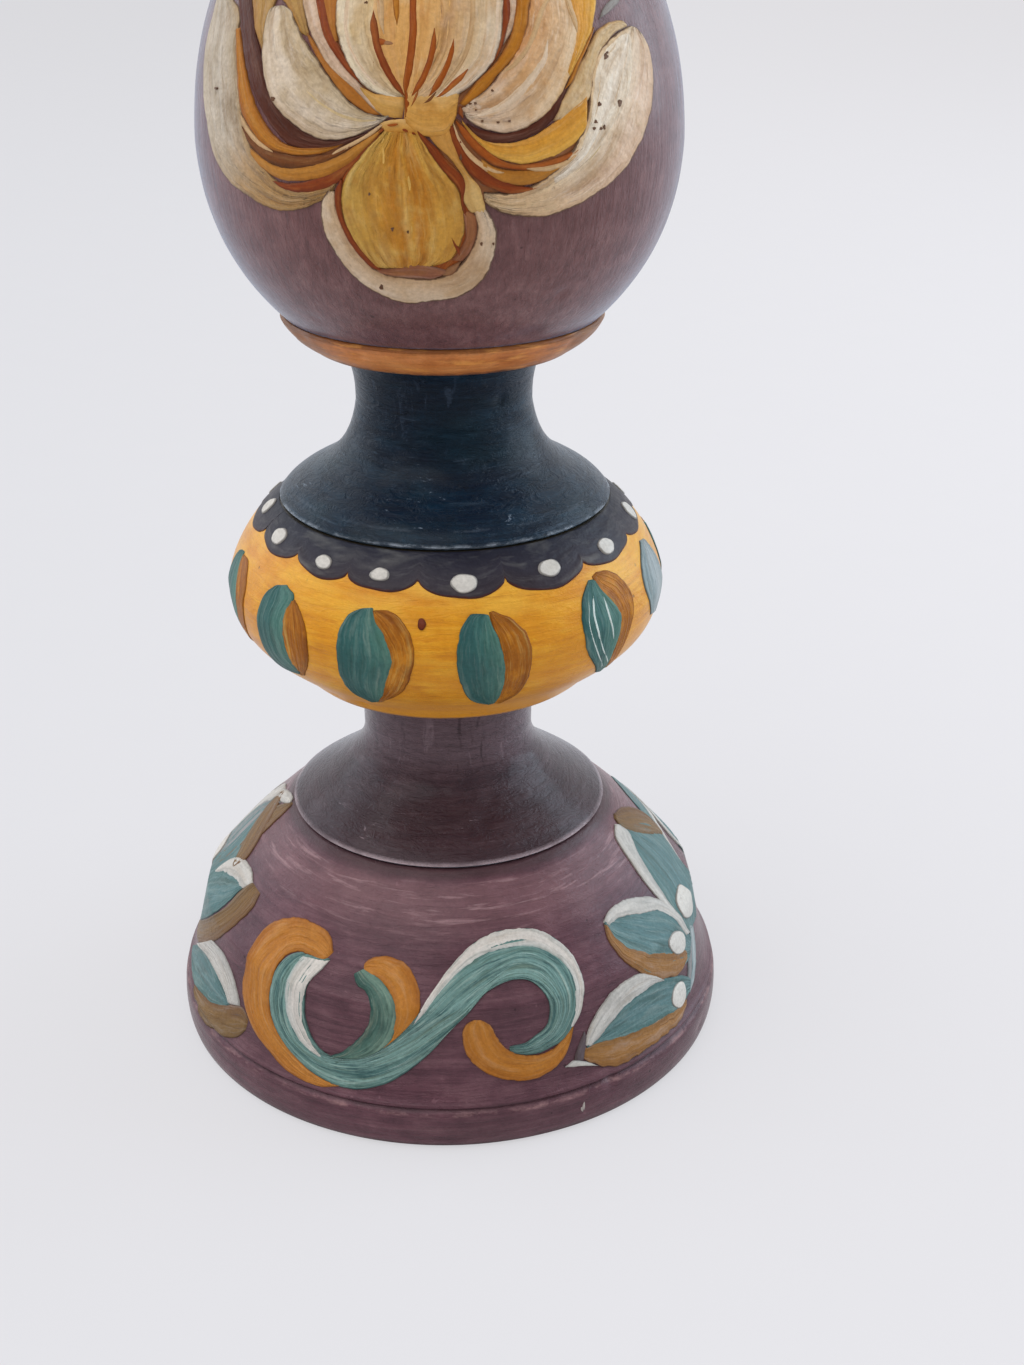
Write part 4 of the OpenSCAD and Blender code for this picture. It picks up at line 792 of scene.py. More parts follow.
     [(-5.3, 163.1), (-5.3, 161), (-5.1, 159), (-5.4, 156.6), (-5.9, 154.5), (-6.6, 152.9), (-7.1, 151.5)]),
    ("bud_line_3", "head", "rust", 11,
     [(-1.3, 159), (-1.7, 157.7), (-2.3, 156.2), (-3.3, 154.5), (-4.8, 152.9), (-6.3, 151.5)],
     [(-0.9, 159), (-0.8, 157.6), (-1.2, 156), (-2.2, 154.3), (-3.7, 152.8), (-5.8, 151.2)]),
    ("bud_line_4", "head", "rust", 11,
     [(2.9, 157.9), (2.2, 156.8), (1.3, 155.4), (0, 154), (-1.3, 152.8), (-2.7, 151.5)],
     [(3.3, 157.8), (3, 156.5), (2.3, 155.1), (1, 153.6), (-0.5, 152.3), (-2.2, 151.3)]),
    ("bud_line_5", "head", "rust", 11,
     [(5.7, 154.6), (4.2, 153.9), (2.5, 153.1), (0.8, 152.2), (-1.1, 151.4)],
     [(6.1, 154.3), (4.8, 153.4), (3.1, 152.6), (1.2, 151.8), (-0.8, 151.1)]),
    ("lick_r1", "head", "redbrown", 8,
     [(14.7, 163), (14.5, 160.5), (13.7, 158.4), (12.5, 156.4), (10.9, 154.9), (9, 153.9)],
     [(16.4, 163), (16.2, 160.7), (15.1, 158.9), (13.9, 157.3), (12.4, 155.8), (9.5, 154)]),
    ("stripe_r", "head", "creampink", 7,
     [(16.4, 163), (16.1, 160.7), (14.9, 158.6), (13.8, 157.1)],
     [(18.7, 163), (17.7, 160.7), (16.4, 158.9), (14.2, 157.1)]),
    ("lick_r2", "head", "orange", 8,
     [(18.6, 163), (17.5, 160.4), (16.1, 158.3), (14.1, 156.4), (11.4, 154.8), (8.7, 153.5), (6.1, 152), (3.8, 150.5)],
     [(21.8, 163), (20.5, 160.4), (19.3, 158.4), (17.4, 156.6), (14.9, 155.1), (12.2, 153.8), (9.9, 152.4), (4.9, 150.3)]),
    ("petal_in_r", "head", "petalright", 7,
     [(22, 163.1), (20.8, 160.4), (18.6, 157.7), (15.9, 155.6), (12.8, 153.8), (10.2, 152.3), (7.6, 151.3), (5.5, 150.5), (4.5, 149.8)],
     [(34.3, 162.9), (33.8, 159.8), (33.3, 157.6), (31.1, 155.2), (28.4, 152.7), (25.9, 150.9), (23, 149.3), (20.1, 148.2), (17, 147.5), (13.5, 147.2), (9.8, 147.6), (6.7, 148.3), (5, 149.2)]),
    ("petal_back_r", "head", "ochregold", 8,
     [(32.1, 162.9), (32.3, 160.5), (32.3, 158.6), (31.1, 156.7), (29.4, 154.9), (28.2, 153.4)],
     [(40.9, 162.7), (38.8, 160.3), (36.7, 158.3), (33.6, 156.3), (31, 154.5), (28.5, 152.9)]),
    ("back_r_pale", "head", "creamline", 9,
     [(30.6, 163), (30.8, 161.1), (31.7, 159.2), (32.1, 157.7)],
     [(32.4, 162.9), (32.4, 161.2), (33, 159.4), (32.7, 157.7)]),
    ("in_r_line1", "head", "creamline", 9,
     [(27.5, 163), (24.1, 161.1), (22.1, 159.5), (20.6, 158), (18.3, 156.3), (15.2, 154.9), (12.8, 154)],
     [(28.4, 163), (25, 160.9), (23.1, 159.3), (21.4, 157.7), (19.1, 156.1), (16.1, 154.6), (13.1, 153.8)]),
    # A soft whitish line along the inner right petal: painted highlight on its ridge.
    ("in_r_highlight", "head", "whitecream", 9,
     [(24.4, 157.9), (23.2, 156), (21.1, 154.5), (18.1, 153), (15.1, 151.6), (12.4, 150.6), (9, 149.7), (6.1, 149.2)],
     [(24.7, 156.9), (23.7, 155.1), (21.6, 153.6), (18.8, 152), (15.9, 150.6), (13, 149.7), (9.8, 149.1), (6.7, 148.9)]),
    ("line_r0", "head", "orange", 9,
     [(37.3, 158.5), (33.8, 156.3), (31.2, 154.7), (28.7, 152.7), (27.4, 151.9)],
     [(37.7, 158.4), (34.5, 156.3), (31.8, 154.5), (29.3, 152.5), (27.7, 151.7)]),
    ("gap_r", "head", "dark", 7,
     [(28.2, 152.7), (25.9, 150.9), (22.9, 149.3), (20.1, 148.1), (17, 147.4), (13.5, 147), (10, 147.3), (7.2, 147.8), (5.3, 148.6)],
     [(28.9, 152.8), (27.3, 150.9), (25, 148.9), (22.4, 147.6), (19.7, 146.8), (16.6, 146.3), (12.9, 146), (9.5, 146.1), (7.2, 146.8), (5.6, 148)]),
    ("petal_beige_r", "head", "beige", 7,
     [(48.1, 158.8), (44.7, 158.9), (40.1, 158.4), (36.7, 157.3), (34.3, 155.7), (31.7, 154.2), (29.7, 152.6), (27.4, 151), (25.7, 149.5), (24.4, 148.1)],
     [(49.4, 158.3), (43.8, 157.6), (39.3, 156.2), (36.5, 154.3), (35, 152.4), (34.1, 150.8), (31.8, 149.8), (28.8, 149), (25.6, 148.1)]),
    ("petal_gold_r", "head", "ochregold", 7,
     [(33.5, 151.2), (29.6, 149.8), (25.4, 148.3), (22.5, 147.3), (19.3, 146.5), (15, 145.9), (11.4, 146), (8.5, 146.5), (6.1, 147.6), (4.3, 148.8)],
     [(33, 147.3), (30.6, 146), (27.6, 144.9), (23.6, 144.1), (19.1, 143.5), (14.8, 143.7), (11.2, 144.5), (8.6, 145.6), (6.5, 146.8), (4.5, 148.4)]),
    ("lick_r5", "head", "rust", 8,
     [(31.1, 145), (27.4, 144.1), (23.4, 143.6), (19, 143.3), (14.9, 143.4), (11.4, 144.3), (8.6, 145.6), (6.1, 147.1), (3.4, 148.8)],
     [(31.2, 144.7), (27.6, 143.6), (23.6, 143), (19, 142.7), (14.7, 142.9), (11, 143.5), (8, 144.7), (5.2, 146.4), (2.9, 148.5)]),
    ("line_r1", "head", "creamline", 8,
     [(2.6, 148.8), (3.7, 146.8), (5.5, 145.3), (8, 143.9), (10.8, 143), (13.2, 142.8)],
     [(2.4, 148.5), (3, 146.7), (4.7, 144.9), (7.1, 143.5), (10.2, 142.5), (12.9, 142.2)]),
    ("lick_r4", "head", "ochre", 7,
     [(30.5, 144.5), (26.8, 143.3), (22.8, 142.7), (18.4, 142.5), (14.2, 142.7), (10.8, 143.2), (8.1, 144.3)],
     [(29.2, 143.9), (25.4, 142.5), (22.2, 141.5), (18.5, 140.9), (14.7, 141), (11.2, 141.7), (8.1, 143.3)]),
    ("line_r2", "head", "creamline", 9,
     [(17.9, 143), (20.9, 142.9), (24.1, 143), (27.5, 143.5), (30.5, 144.5)],
     [(17.9, 142.6), (21, 142.4), (24.4, 142.5), (27.9, 143), (30.7, 144.1)]),
    ("lick_r3", "head", "redbrown", 9,
     [(20.7, 140.6), (18.4, 140.5), (14.7, 141), (11.1, 141.8), (8.2, 143.2), (5.6, 144.6), (4, 146.3), (2.8, 147.8), (2.2, 148.8)],
     [(20.6, 140.3), (17.9, 140), (14, 140), (10.2, 140.8), (6.8, 142.1), (4.4, 143.8), (2.6, 145.9), (1.7, 147.6), (1.1, 148.5)]),
    ("petal_wide_r", "head", "creamright", 8,
     [(50.1, 158.2), (45.3, 157.6), (40.9, 156.7), (37.3, 155.4), (35.2, 153.5), (34, 151.2), (33.2, 149), (31.8, 147.1), (29.4, 144.9), (26.1, 143), (22.3, 141.5), (18.5, 140.4), (14.9, 139.9), (11.4, 140), (8.5, 140.2)],
     [(51.4, 158.1), (53.7, 157.1), (55.6, 155.3), (55.8, 152.7), (54.4, 149.5), (52, 146.8), (48.2, 144.1), (43.7, 141.6), (38.9, 139.9), (33.6, 138.5), (28, 137.4), (22.6, 136.8), (17.4, 137), (13.5, 137.5), (10.6, 138.3), (8.8, 139.1)]),
    ("wide_r_in", "head", "innercream", 9,
     [(47.6, 157.5), (42.6, 156.7), (38.4, 155.3), (35.9, 153.5), (34.8, 151.2), (33.9, 149), (32.8, 147), (30.5, 144.8), (27.2, 143), (23.5, 141.5)],
     [(49, 157.5), (48.8, 155.4), (47.3, 152.9), (45.5, 150.7), (42.8, 148.5), (39.5, 146.6), (35.9, 144.7), (32.4, 143), (28.6, 141.7), (23.8, 140.6)]),
    ("wedge", "head", "wedge", 8,
     [(-4.4, 150.4), (-3.3, 147.9), (-1, 145.9), (1.4, 144.6), (3.6, 143), (4.8, 141.6), (4.2, 140), (5.2, 138.6), (6.6, 137.5)],
     [(2, 150.4), (1.9, 148.2), (2.6, 146.3), (3.7, 144.4), (5.6, 142.4), (7.7, 141), (8.5, 139.9), (8.9, 138.7), (9.3, 137.4)]),
    ("hub_l", "head", "ochrelight", 10,
     [(-17.1, 152.2), (-15.6, 151.2), (-14, 150.2), (-11.9, 149.3), (-9.7, 149), (-7.9, 149)],
     [(-16.8, 152.3), (-13.9, 151.6), (-11, 151.5), (-9.1, 151.4), (-7.9, 151.3), (-7.2, 151)]),
    ("hub_r", "head", "hubochre", 10,
     [(-7.5, 151.6), (-5.5, 151.7), (-3.5, 151.5), (-1.5, 151.7), (0.5, 151.5), (2.5, 151.7), (4.1, 151.8)],
     [(-7.7, 148.8), (-6, 147.8), (-4.1, 147.1), (-1.6, 146.9), (1.2, 147.3), (3.4, 149.4)]),
    ("hub_crack1", "head", "rust", 12,
     [(-4.8, 152.2), (-5.6, 151.1), (-6.2, 150.3)],
     [(-4.3, 152.1), (-5.2, 150.9), (-6.1, 150.2)]),
    ("hub_crack2", "head", "brown", 12,
     [(-1.1, 152), (-2.5, 151.2), (-3.9, 150.6)],
     [(-0.6, 151.9), (-2.1, 150.9), (-3.8, 150.5)]),
    ("hub_line", "head", "rust", 11,
     [(-7.7, 152.3), (-7.5, 151.3), (-7.3, 150.2), (-7.5, 149.1)],
     [(-6.9, 152.1), (-6.4, 151), (-6.5, 150.1), (-7, 149.1)]),
    ("hub_dark_r", "head", "redbrown", 10,
     [(3.2, 150.2), (3.5, 149.5), (4, 148.9)],
     [(4.8, 150.4), (4.9, 149.7), (5.2, 149.1)]),
    ("hub_low", "head", "hubochre", 8,
     [(-13.1, 148.2), (-10, 148.7), (-7.5, 148.8), (-5, 148.5), (-2.8, 147.8)],
     [(-12, 147.2), (-9.5, 147.4), (-7.3, 147.3), (-5.3, 147.1), (-3.3, 146.5)]),
    ("ridge_r", "head", "ridgeline", 9,
     [(48.9, 157.6), (48.6, 155.1), (47, 152.2), (44.3, 149.6), (40.5, 146.9), (36.8, 144.8), (32.7, 142.9), (27.8, 141.3)],
     [(48.1, 157.6), (47.8, 155.1), (46.2, 152.3), (43.5, 149.8), (39.9, 147.2), (36.2, 145.1), (32.2, 143.2), (27.5, 141.5)]),
    ("tear_under", "head", "rust", 4,
     [(-11.7, 147.6), (-15.3, 145.6), (-19.6, 143), (-22.2, 140.3), (-22.4, 137.9), (-21.3, 135.2), (-19.3, 132.8), (-16.6, 130.6), (-13, 129.3), (-7.9, 129.2)],
     [(-4.7, 147.7), (-1.3, 145.5), (2.1, 143.6), (4.6, 141.5), (6, 138.9), (7.2, 136.5), (7, 134.4), (5.2, 132.2), (2, 130.3), (-2.9, 129.1)]),
    ("rim_l", "head", "redbrown", 11,
     [(-21.8, 141.4), (-22.8, 139.7), (-22.7, 137.3), (-21.7, 135.3), (-20.3, 133.4), (-18.4, 131.8), (-16.3, 130.5), (-14.3, 129.9)],
     [(-20.6, 141.5), (-21.5, 139.7), (-21.7, 137.3), (-20.7, 135.5), (-19.2, 133.7), (-17.3, 132.2), (-15.2, 130.8), (-13.4, 130.3)]),
    ("rim_r1", "head", "redbrown", 11,
     [(-5.4, 147.7), (-3.9, 146.5), (-2.7, 145.5), (-1, 144), (1, 142.6), (3.3, 141.1), (4, 140.1), (4.1, 138.9), (4.6, 137.4)],
     [(-4.6, 147.7), (-3, 146.6), (-1.1, 145.6), (0.5, 144.4), (2.6, 143.2), (4.2, 142.2), (4.8, 141.2), (4.5, 139.2), (5.5, 137.4)]),
    ("rim_r2", "head", "mauvebrown", 10,
     [(4.3, 138), (4.9, 136.5), (5.1, 135), (4.4, 133.6), (3.3, 132.5), (1.9, 131.4)],
     [(5.2, 138.1), (6.8, 137.4), (7.3, 136.2), (7.2, 134.7), (6.2, 133), (3.9, 131.2)]),
    ("rim_r3", "head", "redbrown", 11,
     [(1.9, 134.6), (2.5, 133.7), (3.2, 132.8), (3.6, 132)],
     [(2.2, 134.7), (3, 133.8), (3.9, 133), (4.2, 132.1)]),
    ("rim_spot", "head", "mudbrown", 11,
     [(-0.3, 129.9), (0.7, 130.5), (2.1, 130.9), (3.8, 131.7)],
     [(0.4, 129.4), (1.7, 129.5), (3.1, 130.3), (4.3, 131.2)]),
    ("rim_b", "head", "mauvebrown", 10,
     [(-16.1, 130.4), (-13, 130.3), (-9.9, 130.6), (-6.8, 131), (-4, 131), (-1.7, 130.7), (0.7, 130.3)],
     [(-15.1, 129.8), (-12.1, 129.5), (-8.5, 129.3), (-4.9, 129.2), (-2.4, 129.2), (-0.7, 129.5), (0.8, 129.9)]),
    ("crescent", "head", "creamrim", 8,
     [(-24, 140.2), (-26.3, 138.3), (-26.6, 135.6), (-25.7, 133.4), (-24.1, 131.5), (-22.2, 129.7), (-19.5, 128.1), (-16.3, 126.9), (-12.6, 125.9), (-7.9, 125.5), (-3.8, 125.8), (0.5, 126.1), (5.1, 126.8), (8.8, 128.5), (11, 130.9), (11.8, 133.4), (11.4, 135.8), (10.3, 137.3), (8.9, 138.4)],
     [(-22.7, 140), (-22.8, 138.5), (-22.3, 136.8), (-21.4, 135), (-19.9, 133.3), (-18, 131.7), (-16, 130.4), (-13.9, 129.7), (-11.2, 129.4), (-7.9, 129.2), (-4.6, 129.1), (-1.8, 129.1), (0.5, 129.5), (3.1, 130.4), (5.3, 131.9), (6.7, 133.4), (7.4, 135.3), (7.2, 137), (6.6, 138.2)]),
    ("teardrop", "head", "tear", 9,
     [(-11.6, 147.6), (-13.8, 146.2), (-17, 144.2), (-19.7, 142.2), (-21.3, 139.8), (-21.5, 137.6), (-20.8, 135.5), (-19.5, 133.5), (-17.7, 131.8), (-15.5, 130.6), (-12.7, 130.4)],
     [(-5.1, 147.5), (-3.2, 145.9), (-1.2, 144.1), (1, 142.4), (3.3, 140.7), (4.2, 138.9), (4.6, 137.4), (4.7, 135.6), (3.8, 133.6), (1.6, 131.7), (-2.3, 130.8)]),
    ("tear_pale1", "head", "tearpale", 10,
     [(-11.9, 147.4), (-12.5, 146), (-12.2, 144), (-12, 141.7)],
     [(-11.2, 147.4), (-11.6, 146), (-11.4, 144), (-11.7, 141.7)]),
    ("tear_pale2", "head", "tearpale", 10,
     [(-6.8, 143.5), (-7, 141), (-6.9, 138), (-6.7, 134.7)],
     [(-6.3, 143.5), (-6.4, 141), (-6.4, 138), (-6.2, 134.6)]),
    ("leaf_pale", "head", "palegrey", 3,
     [(48.5, 162.5), (45.2, 161.3), (42.3, 160.5), (39.8, 159.4)],
     [(51.7, 162.4), (47.8, 161), (44.3, 160.2), (40, 159.3)]),
    ("scroll_c", "foot", "ochre", 2,
     [(-29.6, 26.6), (-31.7, 28.1), (-36.2, 28.9), (-42.6, 28.8), (-48.7, 27.5), (-51.6, 25.7), (-52.4, 23.3), (-52.1, 20.2), (-52.1, 16.6), (-49.9, 13.5), (-45.7, 11.1), (-40.7, 9.6), (-35.9, 8.4), (-31, 7.9), (-26.3, 7.9)],
     [(-31, 25.7), (-33.1, 25.3), (-35.5, 25.5), (-38.9, 25.4), (-41.5, 24.5), (-42.6, 23.2), (-42.7, 20.9), (-43, 17.6), (-41.3, 14.6), (-38, 12.6), (-34.3, 11.2), (-30.4, 10), (-26.8, 9.2), (-23.9, 8.9), (-21.5, 8.8)]),
    ("inner_ochre", "foot", "ochre", 3,
     [(-21.3, 26.2), (-19.8, 27), (-15.5, 27.5), (-11.2, 27), (-8.5, 25.5), (-7, 23.4), (-7.3, 20.9), (-9.2, 18), (-12.2, 15.9), (-15.9, 14.3)],
     [(-21, 25.6), (-19.3, 25.3), (-16.5, 24.8), (-13.9, 23.6), (-12.3, 21.8), (-12.4, 19.2), (-13.6, 17.3), (-15.1, 15.8), (-16.6, 14.7), (-18, 13.9)]),
    ("inner_teal", "foot", "tealdark", 4,
     [(-23, 25.1), (-21.8, 23.9), (-19.5, 23.4), (-17.9, 22.3), (-17.4, 20.4), (-18.3, 18), (-20.4, 15.8), (-23, 13.9), (-26.1, 12.4)],
     [(-21.1, 25.8), (-17, 25), (-13.6, 23.5), (-11.8, 21.6), (-11.9, 18.8), (-13.5, 16.1), (-16.2, 14.1), (-19.9, 12.6), (-24.3, 11.3)]),
    ("scroll_s", "foot", "doubleload", 5,
     [(-37.6, 25.6), (-40.9, 24.5), (-42.2, 23.1), (-42.7, 20.6), (-42.8, 17.4), (-40.8, 14.3), (-37.3, 12), (-32.5, 10.2), (-26.7, 8.9), (-21.5, 8.6), (-17.2, 9.1), (-13, 10.4), (-8.8, 12.6), (-4.4, 15.6), (-0.1, 19.2), (4.1, 22.4), (8.4, 24), (13.1, 24.8), (17.3, 24.5), (19.9, 23.3), (21.1, 21.7), (21.3, 19.7), (20.2, 17.8), (17.8, 16.6), (15, 15.8), (11.6, 15.6)],
     [(-29.6, 26), (-31.9, 24.8), (-33, 23.1), (-33.3, 20.5), (-32.7, 17.3), (-30.8, 14.8), (-28.1, 13.1), (-25.3, 12.6), (-22.1, 12.9), (-18.5, 13.5), (-15.2, 14.7), (-12, 16.8), (-9, 19.5), (-6.3, 22.2), (-3.4, 24.7), (0.5, 27.2), (5.5, 29.2), (11.2, 30.2), (18.1, 30.2), (23.6, 29.5), (27.6, 27.8), (30, 25.7), (30.4, 23.4), (29.6, 21.1), (28.2, 18.3), (26.3, 16.6), (23.7, 15), (19.8, 14.1), (15.4, 14), (11.6, 14.9)]),
    ("scroll_w1", "foot", "whiteload", 6,
     [(-29.9, 25.8), (-31.4, 24.3), (-33.2, 22.6), (-33.5, 20.9), (-33.5, 18), (-32.2, 15.4), (-29.8, 13.4), (-27.8, 12.2)],
     [(-36.9, 25.4), (-38.4, 23.5), (-38.6, 21.6), (-38.5, 19), (-37.3, 16.4), (-34.7, 14.2), (-31.7, 12.7), (-28.4, 12)]),
    ("scroll_w2", "foot", "whiteload", 6,
     [(-8.1, 19.8), (-6.3, 22.2), (-3.4, 24.7), (0.5, 27.2), (5.5, 29.2), (11.2, 30.2), (18.1, 30.2), (23.6, 29.5), (27.6, 27.8), (30, 25.7), (30.4, 23.4), (29.6, 21.1), (28.2, 18.3), (26.1, 16.5)],
     [(-8, 19.7), (-4.7, 22.5), (-0.6, 25.1), (2.7, 26.5), (7.3, 27.8), (12, 28.3), (17.5, 28.3), (22, 27.7), (25, 26.5), (27.3, 25), (28.1, 23.3), (27.5, 21.4), (27, 19.2), (25.6, 16.7)]),
    ("hook", "foot", "ochre", 6,
     [(4.6, 20.4), (2.7, 19.5), (2.2, 17.5), (3.1, 15), (5.2, 13), (8.5, 11.4), (12.4, 10.4), (16.5, 10.1), (20.4, 10.8), (23.1, 12), (24.9, 13.9), (26.3, 16.4)],
     [(6.1, 20.3), (8, 19.3), (9.1, 17.6), (10.6, 15.8), (12.8, 14.5), (15.4, 13.8), (18, 13.5), (20.5, 13.7), (22.5, 14.4), (23.9, 15.2), (25.2, 16), (26.2, 16.6)]),
    ("r_leafD_white", "foot", "white", 3,
     [(113.7, 28.5), (112.8, 26.4), (112, 23.3), (101.5, 24.3), (94.3, 23.8), (89.6, 22.6), (89.4, 20.1), (89.3, 18)],
     [(113.6, 28.3), (112.5, 25.9), (111.7, 23.1), (107.2, 21.8), (99.5, 21.6), (92.9, 21.6), (89.2, 20.9), (89.2, 18.8)]),
    ("r_leafA", "foot", "tealflat", 4,
     [(74.3, 34.6), (71.8, 33.3), (68.9, 31.2), (67.4, 29.2), (66.7, 27), (66.5, 24.8), (65.9, 22.2), (70.2, 17.4)],
     [(77, 34), (84, 32), (91, 29.5), (92, 26.5), (88.5, 24), (86, 21.5), (84.5, 18.5), (80, 16)]),
    ("r_leafA_brown", "foot", "brownochre", 5,
     [(75.6, 35.2), (74.5, 34.2), (76.5, 32.6), (80.5, 31.2), (85, 29.6), (89.5, 28), (93, 26.6)],
     [(77.1, 35.4), (86, 34.3), (93.5, 31.8), (96.5, 29.6), (96.4, 28.2), (95.4, 27.2), (94, 26.4)]),
    ("r_leafA_white", "foot", "white", 6,
     [(72.9, 34.9), (67.1, 33.9), (64.9, 31.5), (63.9, 28.9), (64.1, 26.1), (64.6, 23.6), (68.9, 18.3)],
     [(73.9, 34.7), (75.3, 33.1), (70.7, 31), (68.3, 28.4), (67.2, 25.7), (66.7, 23.1), (69.8, 18.1)]),
    ("r_leafB", "foot", "tealflat", 5,
     [(42.4, 27.6), (41.6, 25.3), (43.1, 23.1), (45.9, 20.7), (50.1, 17.8), (54.8, 15.8), (60.8, 14.5), (67.8, 14.1)],
     [(42.9, 27.7), (47.4, 28.4), (54, 28.1), (59.9, 26.8), (64, 25.1), (65.6, 22.9), (68.2, 19.8), (71.2, 16.1)]),
    ("r_leafB_ochre", "foot", "ochrerag", 6,
     [(42.2, 27.4), (41.2, 25.2), (42.4, 23), (45.2, 20.5), (49.4, 17.8), (54.5, 15.8), (60.8, 14.2), (66.1, 14.6)],
     [(42.8, 27.2), (43.4, 25.7), (45.2, 23.8), (49, 22.2), (54.2, 20.3), (59.7, 18.3), (65.9, 16.1), (66.3, 15.2)]),
    ("r_leafB_white", "foot", "white", 7,
     [(42.8, 27), (46.6, 27.3), (51.4, 26.7), (55.9, 25.8), (60.5, 24.8), (63.1, 23.4), (64.6, 21.7), (68.3, 17.7)],
     [(42.2, 27.7), (46, 28.5), (51.7, 28.5), (57.9, 27.5), (62.5, 26.1), (65.3, 24.3), (66.2, 22.2), (71, 17)]),
    ("r_leafC", "foot", "tealflat", 6,
     [(28.7, 12.4), (31.7, 12.5), (36, 11.9), (41.3, 11.2), (46.5, 10.6), (51.4, 10.2), (57.1, 9.5), (63.5, 9.9)],
     [(28.9, 12.7), (32.4, 14.3), (37.8, 16.1), (43.9, 17.2), (50.2, 16.8), (55.2, 15.5), (62.5, 12.9), (65.4, 10.8)]),
    ("r_leafC_ochre", "foot", "ochrerag", 7,
     [(27.7, 11.1), (30.2, 9.6), (33.5, 8.4), (36.9, 8), (41.1, 8.1), (45.9, 8.1), (51, 8.1), (55.9, 8.1), (60.1, 8.9)],
     [(28, 12.4), (31.1, 12.5), (35.1, 12.2), (39.7, 11.6), (44.3, 11.2), (49, 10.7), (53.8, 10.1), (58.5, 9.7), (61.2, 9.5)]),
    ("r_leafC_white", "foot", "white", 8,
     [(28.4, 12.7), (29.7, 14.9), (32.8, 17.4), (36.7, 19.2), (41.3, 19.9), (45.9, 19.6), (49.8, 18.1), (53.5, 15.9)],
     [(29.5, 12.4), (31.9, 13.3), (35, 14.6), (38.7, 15.9), (42.6, 16.5), (46.7, 16.6), (50.2, 16.5), (53.6, 15.7)]),
    ("r_tip", "foot", "white", 5,
     [(23.4, 10.5), (25.5, 10.3), (28.7, 9.7), (30.8, 9.1)],
     [(23.5, 10.7), (25.4, 11.1), (28.4, 10.3), (30.8, 9.2)]),
    ("r_stem", "foot", "paleblue", 4,
     [(71.6, 18.6), (70.2, 15.6), (68.1, 13), (65.4, 11.2), (62.7, 9.8)],
     [(74.8, 17.2), (73.3, 14.2), (70.6, 11.9), (67.1, 10.4), (63.1, 9.6)]),
    ("r_stem2", "foot", "greyteal", 3,
     [(68.9, 18), (67.7, 15.9), (66.2, 13.9), (64, 11.8), (61.7, 10.3)],
     [(71.2, 17), (70.1, 14.8), (68.4, 12.9), (65.7, 11.1), (62.2, 9.9)]),
    ("r_smudge", "foot", "smudge", 4,
     [(25.6, 10.9), (26.1, 12), (27.5, 13.6), (28.9, 15.2)],
     [(27.5, 10.6), (28, 11.5), (28.7, 12.6), (29.4, 13.9)]),
    ("l_top_brown", "foot", "brownochre", 3,
     [(-93.2, 22.4), (-96, 23.8), (-98.1, 25.8), (-97.9, 28.9), (-95, 32), (-89.1, 34.9), (-82.7, 37)],
     [(-89.4, 23.9), (-84.8, 26.9), (-82.3, 29.5), (-80.9, 31.8), (-81, 33.7), (-81.1, 35.5), (-81.7, 37)]),
    ("l_top", "foot", "greyteal", 4,
     [(-95.8, 23), (-105.9, 22.3), (-111.9, 23.6), (-112.9, 26.4), (-105.4, 30.7), (-93.2, 34.8)],
     [(-94.7, 23.5), (-93.3, 26.7), (-93.4, 29.5), (-94, 31.9), (-92.1, 34), (-89.8, 35.1)]),
    ("l_top_white", "foot", "white", 5,
     [(-113.2, 27.2), (-114.3, 28.9), (-105.7, 33.2), (-94.2, 36.1), (-85.8, 37), (-83.5, 36.7)],
     [(-113.3, 27), (-102.8, 31.9), (-96.1, 34.2), (-90.1, 35.2), (-86.1, 36), (-83.6, 36.6)]),
    ("l_mid", "foot", "tealflat", 4,
     [(-101.3, 7.6), (-89.3, 17.2), (-89.4, 20.6), (-87.5, 23.1), (-83.4, 25.1), (-75.7, 26.7), (-68.2, 27.4)],
     [(-100.1, 7.6), (-71.8, 22), (-70.1, 24), (-69.4, 25.4), (-68.8, 26.5), (-68.3, 27.1), (-67.7, 27.5)]),
    ("l_mid_ochre", "foot", "brownochre", 3,
     [(-99.5, 7.6), (-71.8, 21.5), (-69.2, 23.8), (-68.7, 25.6), (-67.8, 27.3), (-66, 28.5)],
     [(-81.9, 11.9), (-70.9, 16.9), (-63.6, 21.4), (-61.2, 24.1), (-59.8, 26.3), (-60.6, 28.4)]),
    ("l_mid_white", "foot", "white", 5,
     [(-88, 22.7), (-86.3, 25.3), (-82.2, 27.7), (-75.9, 28.9), (-69.5, 29), (-66, 28.4)],
     [(-87.2, 23), (-81.7, 25), (-77.2, 26), (-73.3, 26.6), (-69.1, 26.8), (-67.2, 27.4)]),
    ("l_low_teal", "foot", "tealflat", 4,
     [(-83.5, 8.4), (-78.7, 8.2), (-74, 8.1), (-68.1, 8.8), (-63.1, 9.4), (-56.4, 11.6)],
     [(-87.8, 8.4), (-76.4, 13.7), (-67.8, 14.8), (-62.3, 14.2), (-58.4, 13.2), (-55.7, 12)]),
    ("l_low_white", "foot", "white", 5,
     [(-83.9, 10.8), (-71.9, 14.2), (-64.9, 14.5), (-59.6, 13.6), (-56.1, 12)],
     [(-69.9, 17.9), (-61.8, 18.5), (-56.5, 16.9), (-53.3, 14.7), (-51.9, 13.2)]),
    ("l_low_ochre", "foot", "brownochre", 3,
     [(-72.9, 7.8), (-67.2, 6.4), (-61.4, 6.4), (-55.1, 7.4), (-51, 8.5), (-48.7, 10.4)],
     [(-74, 8.1), (-67.6, 9), (-61.7, 10.1), (-56, 11.9), (-51, 13.3), (-48.4, 12.2)]),
    ("leaf1_t", "ring", "tealdeep", 3,
     [(-51.1, 82.3), (-54.2, 80.6), (-55.5, 78.1), (-55.7, 75), (-55.5, 71.5), (-52.9, 68.9), (-42.8, 69.4)],
